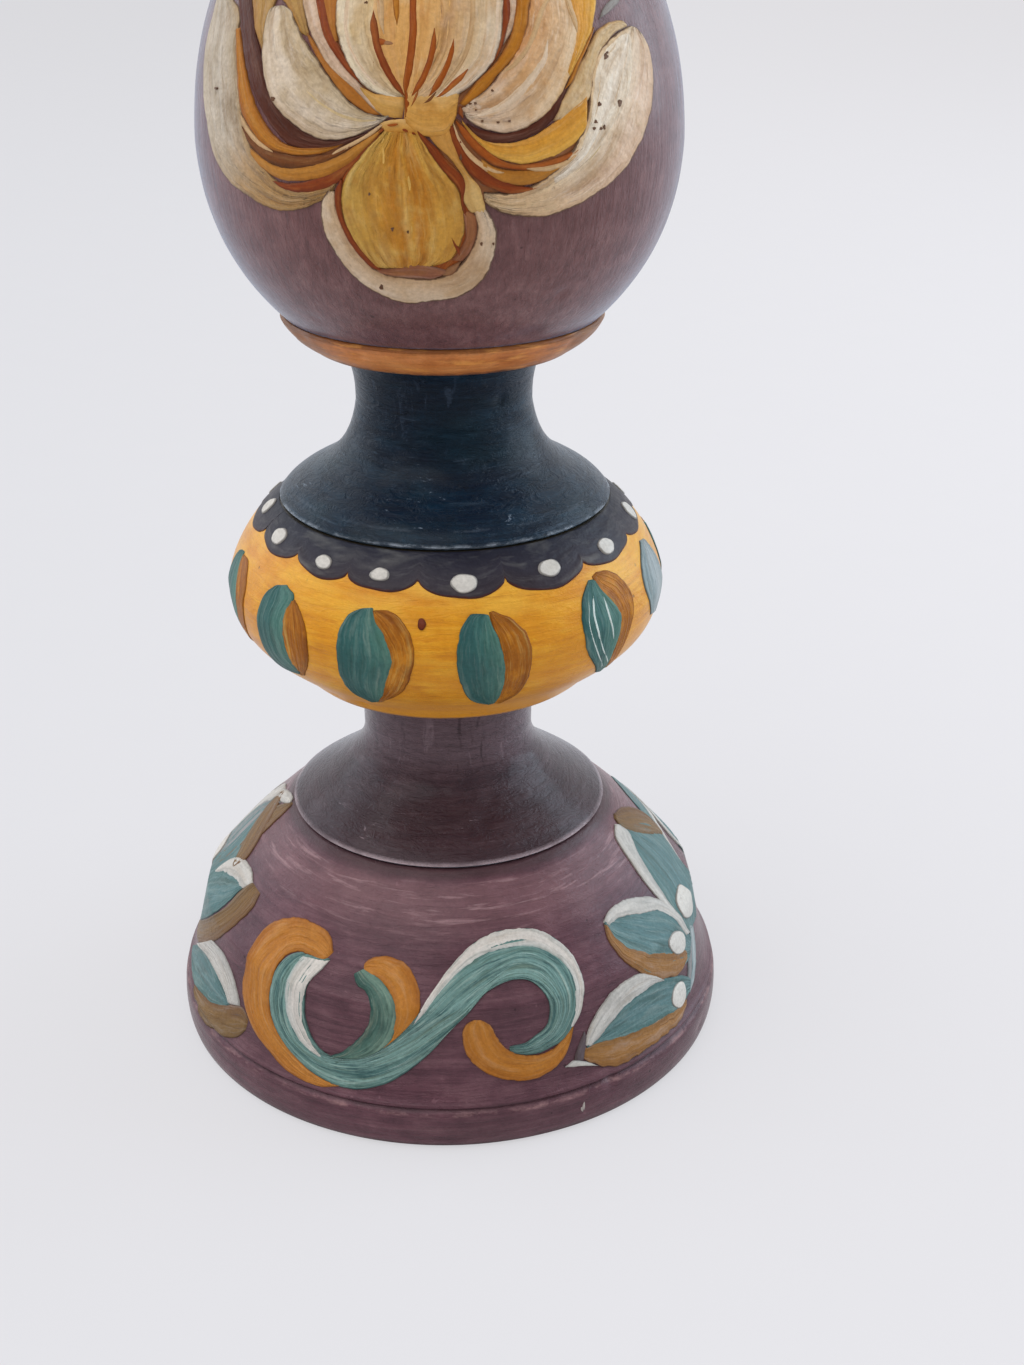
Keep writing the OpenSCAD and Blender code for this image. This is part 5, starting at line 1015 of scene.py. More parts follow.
     [(-47.7, 82.8), (-43.4, 81.7), (-44.7, 79.6), (-44.5, 76.9), (-44.1, 73.8), (-43.3, 71.5), (-41.9, 69.9)]),
    ("leaf1_b", "ring", "leafbrown", 2,
     [(-44, 81.4), (-45.9, 79.3), (-45.3, 76.4), (-44.8, 73.1), (-44.2, 70.7), (-43.5, 68.9)],
     [(-43.1, 81.5), (-39.4, 79.9), (-36.9, 77.4), (-36.6, 74.6), (-38.1, 72), (-41.7, 69.3)]),
    ("leaf2_t", "ring", "tealdeep", 3,
     [(-22.1, 82.5), (-25.1, 81.6), (-27.2, 79.5), (-27.7, 76.2), (-27.6, 72.3), (-26.4, 68.5), (-23.1, 65.8)],
     [(-19.5, 82.8), (-18.1, 81.1), (-15.5, 79.3), (-13.3, 76.2), (-15.1, 72.6), (-17, 69.6), (-20.6, 66.7)]),
    ("leaf2_b", "ring", "leafbrown", 2,
     [(-19.3, 82.3), (-18.4, 80.8), (-15.9, 78.8), (-13.7, 76.2), (-15.6, 72.5), (-17.6, 69.5), (-21.5, 66.2)],
     [(-18.6, 82.4), (-14.2, 82.4), (-10.5, 80.9), (-8.3, 78.3), (-8.8, 74.1), (-11.9, 70.4), (-19.2, 67)]),
    ("leaf3_t", "ring", "tealdeep", 3,
     [(9.2, 82.3), (5.7, 82.1), (3.3, 80.1), (2.3, 76.9), (3.2, 72.6), (6.2, 68.7), (11.7, 66.6)],
     [(10.4, 82.2), (11.1, 81), (12.5, 78.9), (13.7, 76.2), (14.1, 73.2), (13.8, 69.6), (13.2, 66.7)]),
    ("leaf3_b", "ring", "leafbrown", 2,
     [(10.9, 82.4), (11.3, 81), (12.5, 78.9), (13.4, 76.2), (13.9, 73.2), (13.5, 69.6), (13.2, 66.7)],
     [(11.7, 82.5), (16.3, 81.3), (19.6, 79.2), (20.7, 76.5), (20.2, 72.3), (18.3, 68.6), (14.8, 66.4)]),
    ("leaf4_t", "ring", "tealdeep", 3,
     [(41.9, 83.8), (37.6, 81.8), (35.9, 78.7), (37.2, 74.3), (45.7, 68.3)],
     [(43.6, 83.7), (46, 81.1), (49.3, 78.2), (48.7, 75.1), (47.7, 71.4), (50.5, 67.2)]),
    ("leaf4_b", "ring", "leafbrown", 2,
     [(43.4, 84.1), (44.1, 82.2), (47.9, 79.4), (48.5, 75.9), (47.9, 70.9), (52, 67.5)],
     [(45.2, 84.3), (50.4, 83.7), (54.5, 81.8), (55.9, 79.3), (54, 75.5), (51.4, 71.3)]),
    ("leaf5", "ring", "paleblue", 3,
     [(74.1, 84.1), (66.5, 81.9), (63.5, 79.1), (67.5, 73.6)],
     [(78.2, 83.7), (81.5, 79.8), (81, 75.8), (74.6, 72.4)]),
    # Three thin whitish lines on leaf 4: painted glints.
    ("leaf4_g1", "ring", "hair", 4,
     [(39.1, 81.5), (37.5, 77.9), (40.3, 73.7), (46.4, 69.2)],
     [(39.5, 81.5), (37.9, 77.9), (40.8, 73.6), (46.8, 69.1)]),
    ("leaf4_g2", "ring", "hair", 4,
     [(41.2, 82.1), (39.5, 78.9), (41.8, 74.2), (48.6, 69.3)],
     [(41.8, 82.1), (40.1, 78.9), (42.4, 74.1), (49.1, 69.2)]),
    ("leaf4_g3", "ring", "hair", 4,
     [(44.4, 81.1), (44.5, 78.1), (46.5, 74)],
     [(44.9, 81.1), (45.2, 78), (46.7, 74)]),
]
OVALS = [
    ("bud_smudge1", "head", "ochrelight", 9, [(-16, 155.6), (-16.4, 155.4), (-17.2, 155.4), (-18, 155.5), (-18.3, 155.8), (-17.9, 156), (-17.1, 156), (-16.2, 155.8)]),
    ("bud_smudge2", "head", "mudbrown", 10, [(-13.4, 155.1), (-13.9, 155), (-15, 155), (-16.2, 155), (-16.6, 155.2), (-16.2, 155.3), (-15, 155.3), (-13.9, 155.2)]),
    ("bud_smear1", "head", "rust", 11, [(-11.8, 157.3), (-12.2, 157.1), (-12.9, 157.1), (-13.4, 157.3), (-13.6, 157.6), (-13.2, 157.8), (-12.5, 157.7), (-11.9, 157.6)]),
    ("bud_smear2", "head", "mudbrown", 11, [(-10.2, 157.3), (-10.5, 157.1), (-11.3, 157.1), (-12.1, 157.2), (-12.4, 157.3), (-12, 157.5), (-11.3, 157.5), (-10.5, 157.4)]),
    ("bud_smear3", "head", "pit", 11, [(-16.4, 161.6), (-16.5, 161.5), (-16.9, 161.5), (-17.2, 161.5), (-17.4, 161.6), (-17.2, 161.7), (-16.9, 161.8), (-16.6, 161.7)]),
    ("dab_1", "head", "dab", 9, [(6.2, 149.7), (5.8, 149.6), (5.1, 149.6), (4.6, 149.8), (4.5, 150.1), (4.9, 150.2), (5.6, 150.2), (6.1, 150)]),
    ("dab_2", "head", "dab", 9, [(7.8, 149.6), (7.5, 149.4), (6.8, 149.2), (6, 149.2), (5.7, 149.4), (5.9, 149.6), (6.6, 149.8), (7.4, 149.8)]),
    ("dab_3", "head", "dab", 9, [(9.8, 149), (9.4, 148.8), (8.5, 148.8), (7.8, 149), (7.5, 149.2), (7.9, 149.4), (8.7, 149.4), (9.5, 149.2)]),
    ("dab_4", "head", "dab", 9, [(12.4, 148.8), (12, 148.6), (11.3, 148.5), (10.5, 148.6), (10.2, 148.8), (10.5, 149), (11.3, 149.1), (12.1, 149)]),
    ("dab_5", "head", "dab", 9, [(14.7, 148.8), (14.5, 148.6), (13.9, 148.4), (13.2, 148.5), (12.8, 148.6), (13.1, 148.8), (13.7, 148.9), (14.4, 148.9)]),
    ("dab_6", "head", "dab", 9, [(8.5, 150), (8.1, 149.9), (7.6, 150), (7.1, 150.3), (7.1, 150.5), (7.5, 150.6), (8.1, 150.5), (8.5, 150.2)]),
    ("dab_7", "head", "dab", 9, [(10.3, 150), (10.2, 149.8), (9.6, 149.6), (8.9, 149.6), (8.5, 149.7), (8.7, 149.9), (9.3, 150.1), (10, 150.1)]),
    ("dab_8", "head", "dab", 9, [(6.8, 150.3), (6.5, 150.2), (6.1, 150.2), (5.7, 150.3), (5.6, 150.5), (5.8, 150.6), (6.3, 150.6), (6.6, 150.5)]),
    ("nick_1", "head", "pit", 11, [(6.5, 150.6), (6.4, 150.5), (6.2, 150.5), (5.9, 150.5), (5.8, 150.6), (5.9, 150.7), (6.2, 150.7), (6.4, 150.7)]),
    ("nick_2", "head", "pit", 11, [(7.5, 150.6), (7.5, 150.5), (7.2, 150.5), (7, 150.5), (7, 150.6), (7, 150.7), (7.3, 150.8), (7.5, 150.7)]),
    ("nick_3", "head", "pit", 11, [(5, 149.5), (4.9, 149.4), (4.7, 149.3), (4.6, 149.4), (4.5, 149.5), (4.6, 149.7), (4.8, 149.7), (4.9, 149.7)]),
    ("nick_4", "head", "pit", 11, [(8.9, 148.6), (8.8, 148.5), (8.6, 148.5), (8.4, 148.5), (8.3, 148.6), (8.4, 148.7), (8.6, 148.7), (8.8, 148.7)]),
    ("nick_5", "head", "pit", 11, [(12.3, 148.4), (12.2, 148.3), (12, 148.3), (11.7, 148.3), (11.6, 148.4), (11.7, 148.5), (12, 148.5), (12.2, 148.5)]),
    ("nick_6", "head", "pit", 11, [(14.7, 148.5), (14.6, 148.4), (14.4, 148.4), (14.2, 148.4), (14.1, 148.5), (14.2, 148.6), (14.4, 148.6), (14.6, 148.6)]),
    ("nick_7", "head", "pit", 11, [(11.2, 152), (11.1, 151.9), (10.9, 151.9), (10.7, 152), (10.6, 152), (10.7, 152.1), (10.9, 152.2), (11.1, 152.1)]),
    ("nick_8", "head", "pit", 11, [(7.6, 149.9), (7.5, 149.8), (7.3, 149.8), (7.2, 149.8), (7.1, 149.9), (7.2, 149.9), (7.3, 150), (7.5, 149.9)]),
    ("hub_dash1", "head", "redbrown", 14, [(-11.9, 147.7), (-11.9, 147.5), (-12.2, 147.3), (-12.7, 147.2), (-12.9, 147.2), (-12.9, 147.3), (-12.6, 147.5), (-12.1, 147.7)]),
    ("hub_dash2", "head", "rust", 14, [(-8.8, 148.3), (-9.1, 148.1), (-9.9, 148), (-10.7, 148), (-11, 148.1), (-10.7, 148.2), (-10, 148.3), (-9.2, 148.3)]),
    ("hub_dash3", "head", "redbrown", 14, [(-6.7, 147.4), (-6.9, 147.4), (-7.3, 147.4), (-7.7, 147.5), (-7.8, 147.7), (-7.6, 147.7), (-7.1, 147.7), (-6.8, 147.5)]),
    ("hub_dash4", "head", "redbrown", 14, [(-5.1, 147.1), (-5.3, 147.1), (-5.6, 147.1), (-5.9, 147.2), (-5.9, 147.3), (-5.8, 147.4), (-5.5, 147.3), (-5.2, 147.2)]),
    ("pit_1", "head", "pit", 13, [(40, 155), (39.7, 154.8), (39.2, 154.7), (38.9, 154.8), (38.8, 155), (39, 155.3), (39.5, 155.4), (39.9, 155.2)]),
    ("pit_2", "head", "pit", 13, [(40.3, 155.5), (40.2, 155.4), (39.9, 155.3), (39.7, 155.4), (39.6, 155.5), (39.8, 155.6), (40.1, 155.6), (40.3, 155.6)]),
    ("pit_3", "head", "pit", 13, [(36.6, 149.6), (36.4, 149.5), (36.1, 149.4), (35.7, 149.5), (35.6, 149.7), (35.8, 149.9), (36.1, 149.9), (36.5, 149.8)]),
    ("pit_4", "head", "pit", 13, [(42.7, 149.5), (42.4, 149.2), (42, 149.1), (41.6, 149.2), (41.4, 149.6), (41.7, 149.8), (42.1, 149.9), (42.5, 149.8)]),
    ("pit_5", "head", "pit", 13, [(35.2, 147.6), (35.1, 147.5), (34.8, 147.5), (34.5, 147.5), (34.4, 147.7), (34.6, 147.8), (34.8, 147.9), (35.1, 147.8)]),
    ("pit_6", "head", "pit", 13, [(34.7, 146.9), (34.5, 146.7), (34.3, 146.7), (34, 146.8), (33.9, 146.9), (34, 147), (34.3, 147.1), (34.6, 147)]),
    ("pit_7", "head", "pit", 13, [(36.5, 146.8), (36.4, 146.6), (36.1, 146.6), (35.8, 146.7), (35.7, 146.8), (35.9, 146.9), (36.1, 147), (36.4, 146.9)]),
    ("pit_8", "head", "pit", 13, [(37.4, 146.9), (37.3, 146.7), (37.1, 146.6), (36.8, 146.7), (36.8, 146.9), (36.9, 147.1), (37.1, 147.2), (37.3, 147.1)]),
    ("pit_9", "head", "pit", 13, [(-37.6, 150.3), (-37.7, 150.1), (-38.1, 150), (-38.6, 150), (-38.8, 150.2), (-38.6, 150.4), (-38.2, 150.5), (-37.8, 150.4)]),
    ("pit_10", "head", "pit", 13, [(-10.3, 135.7), (-10.4, 135.5), (-10.6, 135.4), (-10.8, 135.5), (-10.9, 135.7), (-10.8, 135.8), (-10.6, 135.9), (-10.3, 135.9)]),
    ("pit_11", "head", "pit", 13, [(-7, 135.4), (-7.1, 135.2), (-7.3, 135.2), (-7.4, 135.2), (-7.5, 135.4), (-7.4, 135.5), (-7.2, 135.6), (-7.1, 135.5)]),
    ("pit_12", "head", "pit", 13, [(-14.2, 127.8), (-14.4, 127.5), (-14.7, 127.4), (-15.1, 127.5), (-15.1, 127.7), (-14.9, 128), (-14.6, 128.1), (-14.2, 128)]),
    ("pit_13", "head", "pit", 13, [(8.8, 133.8), (8.7, 133.6), (8.5, 133.5), (8.3, 133.6), (8.2, 133.8), (8.3, 133.9), (8.5, 134), (8.7, 133.9)]),
    ("pit_14", "head", "pit", 13, [(11.4, 133.7), (11.3, 133.6), (11.2, 133.5), (11, 133.6), (10.9, 133.7), (11, 133.8), (11.1, 133.9), (11.3, 133.8)]),
    ("pit_15", "head", "pit", 13, [(-14.9, 139.9), (-15, 139.8), (-15.2, 139.7), (-15.3, 139.8), (-15.3, 139.9), (-15.3, 140), (-15.1, 140.1), (-15, 140.1)]),
    ("pit_16", "head", "pit", 13, [(-58.6, 150.3), (-58.8, 150.2), (-59.2, 150.1), (-59.6, 150.1), (-59.8, 150.2), (-59.7, 150.3), (-59.3, 150.4), (-58.8, 150.4)]),
    ("pit_17", "head", "pit", 13, [(4.3, 144.4), (4.2, 144.2), (4, 144.1), (3.8, 144.2), (3.8, 144.4), (3.8, 144.7), (4, 144.8), (4.2, 144.7)]),
    ("chip_1", "foot", "chip", 1, [(26.5, 3.9), (26.4, 3.4), (26.2, 3.3), (26, 3.6), (26, 4.1), (26.2, 4.5), (26.4, 4.7), (26.5, 4.4)]),
    ("chip_2", "foot", "chip", 1, [(26.1, 3.4), (26.1, 3.1), (26, 3), (25.8, 3.2), (25.6, 3.5), (25.6, 3.8), (25.8, 3.9), (25.9, 3.8)]),
    ("r_dotA", "foot", "dot", 9, [(77.7, 20.4), (75.9, 18.9), (71.5, 19.6), (67.9, 21.8), (69.2, 23.1), (72.7, 23.9), (76.4, 23.6), (77.8, 22.5)]),
    ("r_dotB", "foot", "dot", 9, [(66.4, 17.3), (64.2, 16.7), (60.9, 17.4), (58.6, 19), (58.2, 20.6), (60, 21.4), (63.2, 20.8), (66, 19)]),
    ("r_dotC", "foot", "dot", 9, [(60.7, 10.1), (58.3, 9.5), (56, 9.9), (54.9, 11.1), (55.5, 12.6), (57.6, 13.4), (60.1, 12.9), (61.5, 11.5)]),
    ("spot", "ring", "dotbrown", 4, [(-5.3, 81.2), (-5.5, 80.7), (-6.2, 80.4), (-7, 80.6), (-7.3, 81.2), (-7, 81.7), (-6.3, 81.9), (-5.6, 81.7)]),
]


def spline(P, n):
    """n points, evenly spaced, on a smooth curve through P."""
    P = np.array(P, float)
    Q = np.vstack([2 * P[0] - P[1], P, 2 * P[-1] - P[-2]])
    pts = []
    for k in range(1, len(Q) - 2):
        p0, p1, p2, p3 = Q[k - 1], Q[k], Q[k + 1], Q[k + 2]
        d = [max(np.hypot(*(b - a)), 1e-6) ** 0.5 for a, b in ((p0, p1), (p1, p2), (p2, p3))]
        t0, t1 = 0, d[0]; t2 = t1 + d[1]; t3 = t2 + d[2]
        for t in np.linspace(t1, t2, 14, endpoint=False):
            a1 = (t1 - t) / (t1 - t0) * p0 + (t - t0) / (t1 - t0) * p1
            a2 = (t2 - t) / (t2 - t1) * p1 + (t - t1) / (t2 - t1) * p2
            a3 = (t3 - t) / (t3 - t2) * p2 + (t - t2) / (t3 - t2) * p3
            b1 = (t2 - t) / (t2 - t0) * a1 + (t - t0) / (t2 - t0) * a2
            b2 = (t3 - t) / (t3 - t1) * a2 + (t - t1) / (t3 - t1) * a3
            pts.append((t2 - t) / (t2 - t1) * b1 + (t - t1) / (t2 - t1) * b2)
    pts.append(P[-1])
    pts = np.array(pts)
    L = np.concatenate([[0], np.cumsum(np.hypot(*np.diff(pts, axis=0).T))])
    s = np.linspace(0, L[-1], n)
    return np.stack([np.interp(s, L, pts[:, 0]), np.interp(s, L, pts[:, 1])], 1)


class Painting:
    """Many strokes gathered into one mesh, each face with its own paint."""
    def __init__(self):
        self.V, self.F, self.UV, self.run, self.edge, self.wid, self.fm, self.mats = [], [], [], [], [], [], [], []
        self.n = 0

    def add(self, verts, faces, uv, run_, edge, mat, wid=2.0):
        self.wid.append(np.full(len(verts), wid))
        if mat not in self.mats:
            self.mats.append(mat)
        k = self.mats.index(mat)
        self.V.append(verts); self.F.append(faces + self.n); self.UV.append(uv); self.run.append(run_); self.edge.append(edge)
        self.fm += [k] * len(faces); self.n += len(verts)

    def build(self, name, body):
        ob = mesh_object(name, np.vstack(self.V), np.vstack(self.F), np.vstack(self.UV), {"run": np.concatenate(self.run), "edge": np.concatenate(self.edge), "wid": np.concatenate(self.wid)})
        for m in self.mats:
            ob.data.materials.append(m)
        ob.data.polygons.foreach_set("material_index", self.fm)
        ob.data.update()
        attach(ob, body)
        return ob


def wavy(n, seed, lo=1.0, hi=4.0):
    """A smooth random function, about -1 to 1."""
    g = np.random.default_rng(seed)
    am, k, p = g.uniform(0.3, 1, n), g.uniform(lo, hi, n), g.uniform(0, 6.28, n)
    return lambda x: sum(a * np.sin(kk * x + pp) for a, kk, pp in zip(am, k, p)) / am.sum() * 1.5


def stroke(pt, piece, kind, layer, A, B, turn=0.0, flip=False, nu=None, nv=None, seed=0, thick=0.08, lift=0.028):
    """A ribbon of paint between two edges, raised from the surface, its sides sunk into it."""
    R = float(np.mean([r_of(piece, p[1]) for p in A + B]))
    k = math.radians(1) * R
    a = np.array([[p[0] * k, p[1]] for p in A]); b = np.array([[p[0] * k, p[1]] for p in B])
    La = np.hypot(*np.diff(a, axis=0).T).sum(); Lb = np.hypot(*np.diff(b, axis=0).T).sum()
    nu = nu or int(np.clip(max(La, Lb) / 0.42, 12, 88))
    ea, eb = spline(a, nu), spline(b, nu)
    width = np.hypot(*(ea - eb).T)
    wmean = float(np.percentile(width, 70))
    nv = nv or int(np.clip(wmean / 0.38 + 5, 7, 25))
    vs = np.concatenate([[0.0, 0.0], np.array([0.035, 0.075]), np.linspace(0.13, 0.87, nv - 4), np.array([0.925, 0.965]), [1.0, 1.0]])
    s = np.linspace(0, 1, nu)
    L = s * (La + Lb) / 2
    wa, wb = wavy(5, seed + 11, 0.8, 3.2), wavy(5, seed + 12, 0.8, 3.2)
    rag = 0.07 if kind != "ochrerag" else 0.16
    wa2, wb2 = wavy(6, seed + 15, 3.5, 7.0), wavy(6, seed + 16, 3.5, 7.0)
    ja = (rag * wa(L) + 0.045 * wa2(L)) * np.minimum(1, width / 2) - 0.05; jb = (rag * wb(L) + 0.045 * wb2(L)) * np.minimum(1, width / 2) + 0.05
    dirw = (eb - ea) / np.maximum(width, 1e-6)[:, None]
    grow = np.minimum(1, width / 0.4)
    ea = ea + dirw * (ja * grow)[:, None]; eb = eb + dirw * (jb * grow)[:, None]
    if wmean < 1.3:
        mid = (ea + eb) / 2
        tp = np.clip(np.minimum(L, L[-1] - L) / 1.3, 0.10, 1)[:, None] ** 0.6
        ea, eb = mid + (ea - mid) * tp, mid + (eb - mid) * tp
    width = np.hypot(*(ea - eb).T)
    br = wavy(6, seed + 13, 1.2, 2.0 + 1.1 * wmean)
    br2 = wavy(4, seed + 14, 0.15, 0.6)
    V, UV, RUN, E = [], [], [], []
    de = np.full(nu, 99.0)
    if width[0] > 0.6:
        de = np.minimum(de, L)
    if width[-1] > 0.6:
        de = np.minimum(de, L[-1] - L)
    base = 0.03 + lift * layer
    soft = np.clip(width * 0.16, 0.05, 0.20)
    for j, v in enumerate(vs):
        P = ea * (1 - v) + eb * v
        dist = np.minimum(min(v, 1 - v) * width, de)
        body = 1 - np.exp(-(dist / soft) ** 1.4)
        rim = np.exp(-((dist - 0.32) / 0.20) ** 2) * np.minimum(1, width / 1.5) * 0.35
        h = base + thick * (body * (0.85 + 0.45 * br(v * 6.28 + 0.25 * br2(L)) * np.minimum(1, width / 1.2)) + rim)
        h = np.maximum(h, base * 0.9)
        h = np.where(dist < 1e-6, -0.06, h)
        phi = P[:, 0] / R
        if flip:
            phi = -phi
        phi = phi + math.radians(turn)
        V.append(at(piece, phi, P[:, 1], h))
        UV.append(np.stack([L + seed * 7.3, np.full(nu, v)], 1)); RUN.append(s); E.append(np.maximum(dist, 0))
    # the two outermost rows lie on each other: the inner of them stands up as the wall
    for row, v in ((1, vs[1]), (len(vs) - 2, vs[-2])):
        P = ea * (1 - v) + eb * v
        phi = (P[:, 0] / R) * (-1 if flip else 1) + math.radians(turn)
        h = np.where(de < 1e-6, -0.06, base + thick * 0.12)
        V[row] = at(piece, phi, P[:, 1], h)
    m = len(vs)
    idx = np.arange(m * nu).reshape(m, nu)
    f = np.stack([idx[:-1, :-1], idx[:-1, 1:], idx[1:, 1:], idx[1:, :-1]], -1).reshape(-1, 4)
    V = np.vstack(V)
    best = 0.0
    for q in f[:: max(1, len(f) // 60)]:
        cc = V[q]; nn = np.cross(cc[2] - cc[0], cc[3] - cc[1]); o = cc.mean(0).copy(); o[2] = 0
        best += float(nn @ o)
    if best < 0:
        f = f[:, ::-1]
    pt.add(V, f, np.vstack(UV), np.concatenate(RUN), np.concatenate(E), KIND[kind], max(wmean, 0.3))


def blob(pt, piece, kind, layer, ring8, turn=0.0, flip=False, seed=0, thick=0.28):
    """A dab of paint: a low dome inside a closed outline."""
    R = float(np.mean([r_of(piece, p[1]) for p in ring8])); k = math.radians(1) * R
    P = np.array([[p[0] * k, p[1]] for p in ring8]); c = P.mean(0)
    zc = (P - c)[:, 0] + 1j * (P - c)[:, 1]; n8 = len(zc); F_ = np.fft.fft(zc) / n8
    tt = np.linspace(0, 2 * math.pi, 41)[:-1]
    zz = sum(F_[q_] * np.exp(1j * q_ * tt) for q_ in (-2, -1, 1, 2))
    closed = c + np.stack([zz.real, zz.imag], 1)
    g = np.random.default_rng(seed + 5)
    closed = c + (closed - c) * (1 + (4.0 if kind == "pit" else 1.0) * (0.035 * np.sin(3 * tt + g.uniform(0, 6)) + 0.02 * np.sin(5 * tt + g.uniform(0, 6))))[:, None]
    rmin = np.hypot(*(closed - c).T).min()
    ts = [1.0, 1.0, 0.93, 0.84, 0.7, 0.5, 0.3, 0.12]
    V, UV, E, RUN = [], [], [], []
    base = 0.03 + 0.028 * layer
    for j, t in enumerate(ts):
        Q = c + (closed - c) * t
        h = -0.06 if j == 0 else base + thick * ((1 - t ** 3) ** 0.5 * 0.8 + (0.18 if 0 < j < 4 else 0))
        phi = Q[:, 0] / R
        if flip:
            phi = -phi
        V.append(at(piece, phi + math.radians(turn), Q[:, 1], np.full(40, h)))
        UV.append(np.stack([Q[:, 0] + seed * 3.1, (Q[:, 1] - c[1]) / 4 + 0.5], 1)); E.append(np.full(40, (1 - t) * rmin)); RUN.append(np.full(40, 0.5))
    phi = np.array([c[0] / R]) * (-1 if flip else 1) + math.radians(turn)
    V.append(at(piece, phi, np.array([c[1]]), np.array([base + thick * 0.8]))); UV.append(np.array([[c[0] + seed * 3.1, 0.5]])); E.append(np.array([rmin])); RUN.append(np.array([0.5]))
    V = np.vstack(V); n = 40
    i = np.arange(n); j2 = (i + 1) % n
    f = [np.stack([a * n + i, a * n + j2, (a + 1) * n + j2, (a + 1) * n + i], 1) for a in range(len(ts) - 1)]
    a = (len(ts) - 1) * n; apex = len(V) - 1
    # the centre is closed with quads that share the apex, two rim points at a time
    cap = np.stack([a + i[0::2], a + j2[0::2], a + (i[0::2] + 2) % n, np.full(n // 2, apex)], 1)
    f = np.vstack(f + [cap])
    cc = V[f[n * 2]]; nn = np.cross(cc[1] - cc[0], cc[3] - cc[0]); o = cc.mean(0).copy(); o[2] = 0
    if float(nn @ o) < 0:
        f = f[:, ::-1]
    pt.add(V, f, np.vstack(UV), np.concatenate(RUN), np.concatenate(E), KIND[kind], 2.0)


# ------------------------------------------------------------------ wooden pieces
ROOT = "maraca_body"
up_wall = head_d / 2 - wall / 2
floor_r = head_start_d / 2 - 2
inner_low = run([in_r, z_seam], [0, 0.5], [0.28, 0.9], [floor_r, z_floor], 24)
_b = np.linspace(math.asin((rebate_h + 0.1) / in_h), math.pi / 2, 26)
inner_up = np.stack([in_r * np.cos(_b), z_seam + in_h * np.sin(_b)], 1)
lathe("foot_skin", "foot", [(foot_top_d / 2 - 1.4, foot_h), (bore_r, foot_h), (bore_r, bore_floor), (0.0, bore_floor), (0.0, 0.4), (foot_d / 2 - 6.0, 0.4), (foot_d / 2 - 7.5, 0.0)], 400, 0.45, "foot", ROOT, M["plum"])
lathe("lower_collar_skin", "lower_collar", [(bore_r, z_ring), (bore_r, z_collar)], 320, 0.32, "lower_collar", ROOT, M["plum_collar"])
lathe("ring_skin", "ring", [(bore_r, z_upper), (bore_r, z_ring)], 400, 0.42, "ring", ROOT, M["ochre"])
lathe("upper_collar_skin", "upper_collar", [(bore_r, z_band), (bore_r, z_upper)], 360, 0.30, "upper_collar", ROOT, M["navy"])
lathe("head_band_skin", "head_band", [(bore_r, z_head), (bore_r, z_band)], 360, 0.22, "head_band", ROOT, M["copper"])
lathe("head_lower_skin", "head_lower_shell", [(up_wall, z_seam), (up_wall, z_seam + rebate_h), (in_r, z_seam + rebate_h)] + [tuple(p) for p in inner_low] + [(0.0, z_floor), (0.0, z_head + socket), (bore_r, z_head + socket), (bore_r, z_head)], 360, 0.5, "head_lower_shell", ROOT, M["plum_head"])
lathe("head_upper_skin", "head_upper_shell", [tuple(p) for p in inner_up[::-1]] + [(up_wall + 0.05, z_seam + rebate_h + 0.1), (up_wall + 0.05, z_seam)], 360, 0.6, "head_upper_shell", ROOT, M["plum_head"])

# the dowel: bare wood with shallow glue flutes
def dowel():
    n, r = 192, 8.0
    phi = np.linspace(0, 2 * math.pi, n, endpoint=False)
    flute = 0.18 * (0.5 + 0.5 * np.cos(24 * phi)) ** 3
    lo, hi = bore_floor + 0.2, z_head + socket - 0.2
    zs = np.concatenate([[lo, lo + 0.35, lo + 0.7, lo + 1.0], np.linspace(lo + 2, hi - 2, 60), [hi - 1.0, hi - 0.7, hi - 0.35, hi]])
    cut = np.concatenate([[1.0, 0.55, 0.25, 0.05], np.zeros(60), [0.05, 0.25, 0.55, 1.0]])
    V = [np.array([[0, 0, lo]])]
    for z, c in zip(zs, cut):
        rr = r - c - flute * (1 if 0.3 > c else 0.3)
        V.append(np.stack([rr * np.sin(phi), -rr * np.cos(phi), np.full(n, z)], 1))
    V.append(np.array([[0, 0, hi]]))
    V = np.vstack(V) * MM
    i = np.arange(n); j = (i + 1) % n
    f = [(1 + a * n + int(x), 1 + a * n + int(y), 1 + (a + 1) * n + int(y), 1 + (a + 1) * n + int(x)) for a in range(len(zs) - 1) for x, y in zip(i, j)]
    f += [(0, 1 + int(y), 1 + int(x)) for x, y in zip(i, j)]
    t = 1 + (len(zs) - 1) * n
    f += [(len(V) - 1, t + int(x), t + int(y)) for x, y in zip(i, j)]
    ob = mesh_object("dowel_fluted", V, f)
    g = Graph("bare_wood")
    mm = g.vmul(g.t.nodes.new("ShaderNodeTexCoord").outputs["Object"], (1000.0, 1000.0, 1000.0))
    gr = g.noise(g.vmul(mm, (1.1, 0.5, 0.03)), 1.0, 4.0, 0.6, dist=0.6)
    pore = g.noise(g.vmul(mm, (3.0, 3.0, 0.12)), 1.0, 3.0, 0.6)
    col = g.ramp(gr, [(0.3, (176, 142, 96)), (0.5, (204, 172, 124)), (0.62, (190, 154, 104)), (0.75, (214, 184, 138))])
    col = g.mix(g.remap(pore, 0.58, 0.7, 0.0, 0.5), col, lin((140, 106, 66)))
    ob.data.materials.append(g.finish(col, g.remap(gr, 0.3, 0.7, 0.5, 0.7), [(g.math("MULTIPLY", pore, 0.08), 1.0), (g.math("MULTIPLY", gr, 0.10), 1.0)]))
    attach(ob, ROOT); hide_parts("handle_dowel")


dowel()

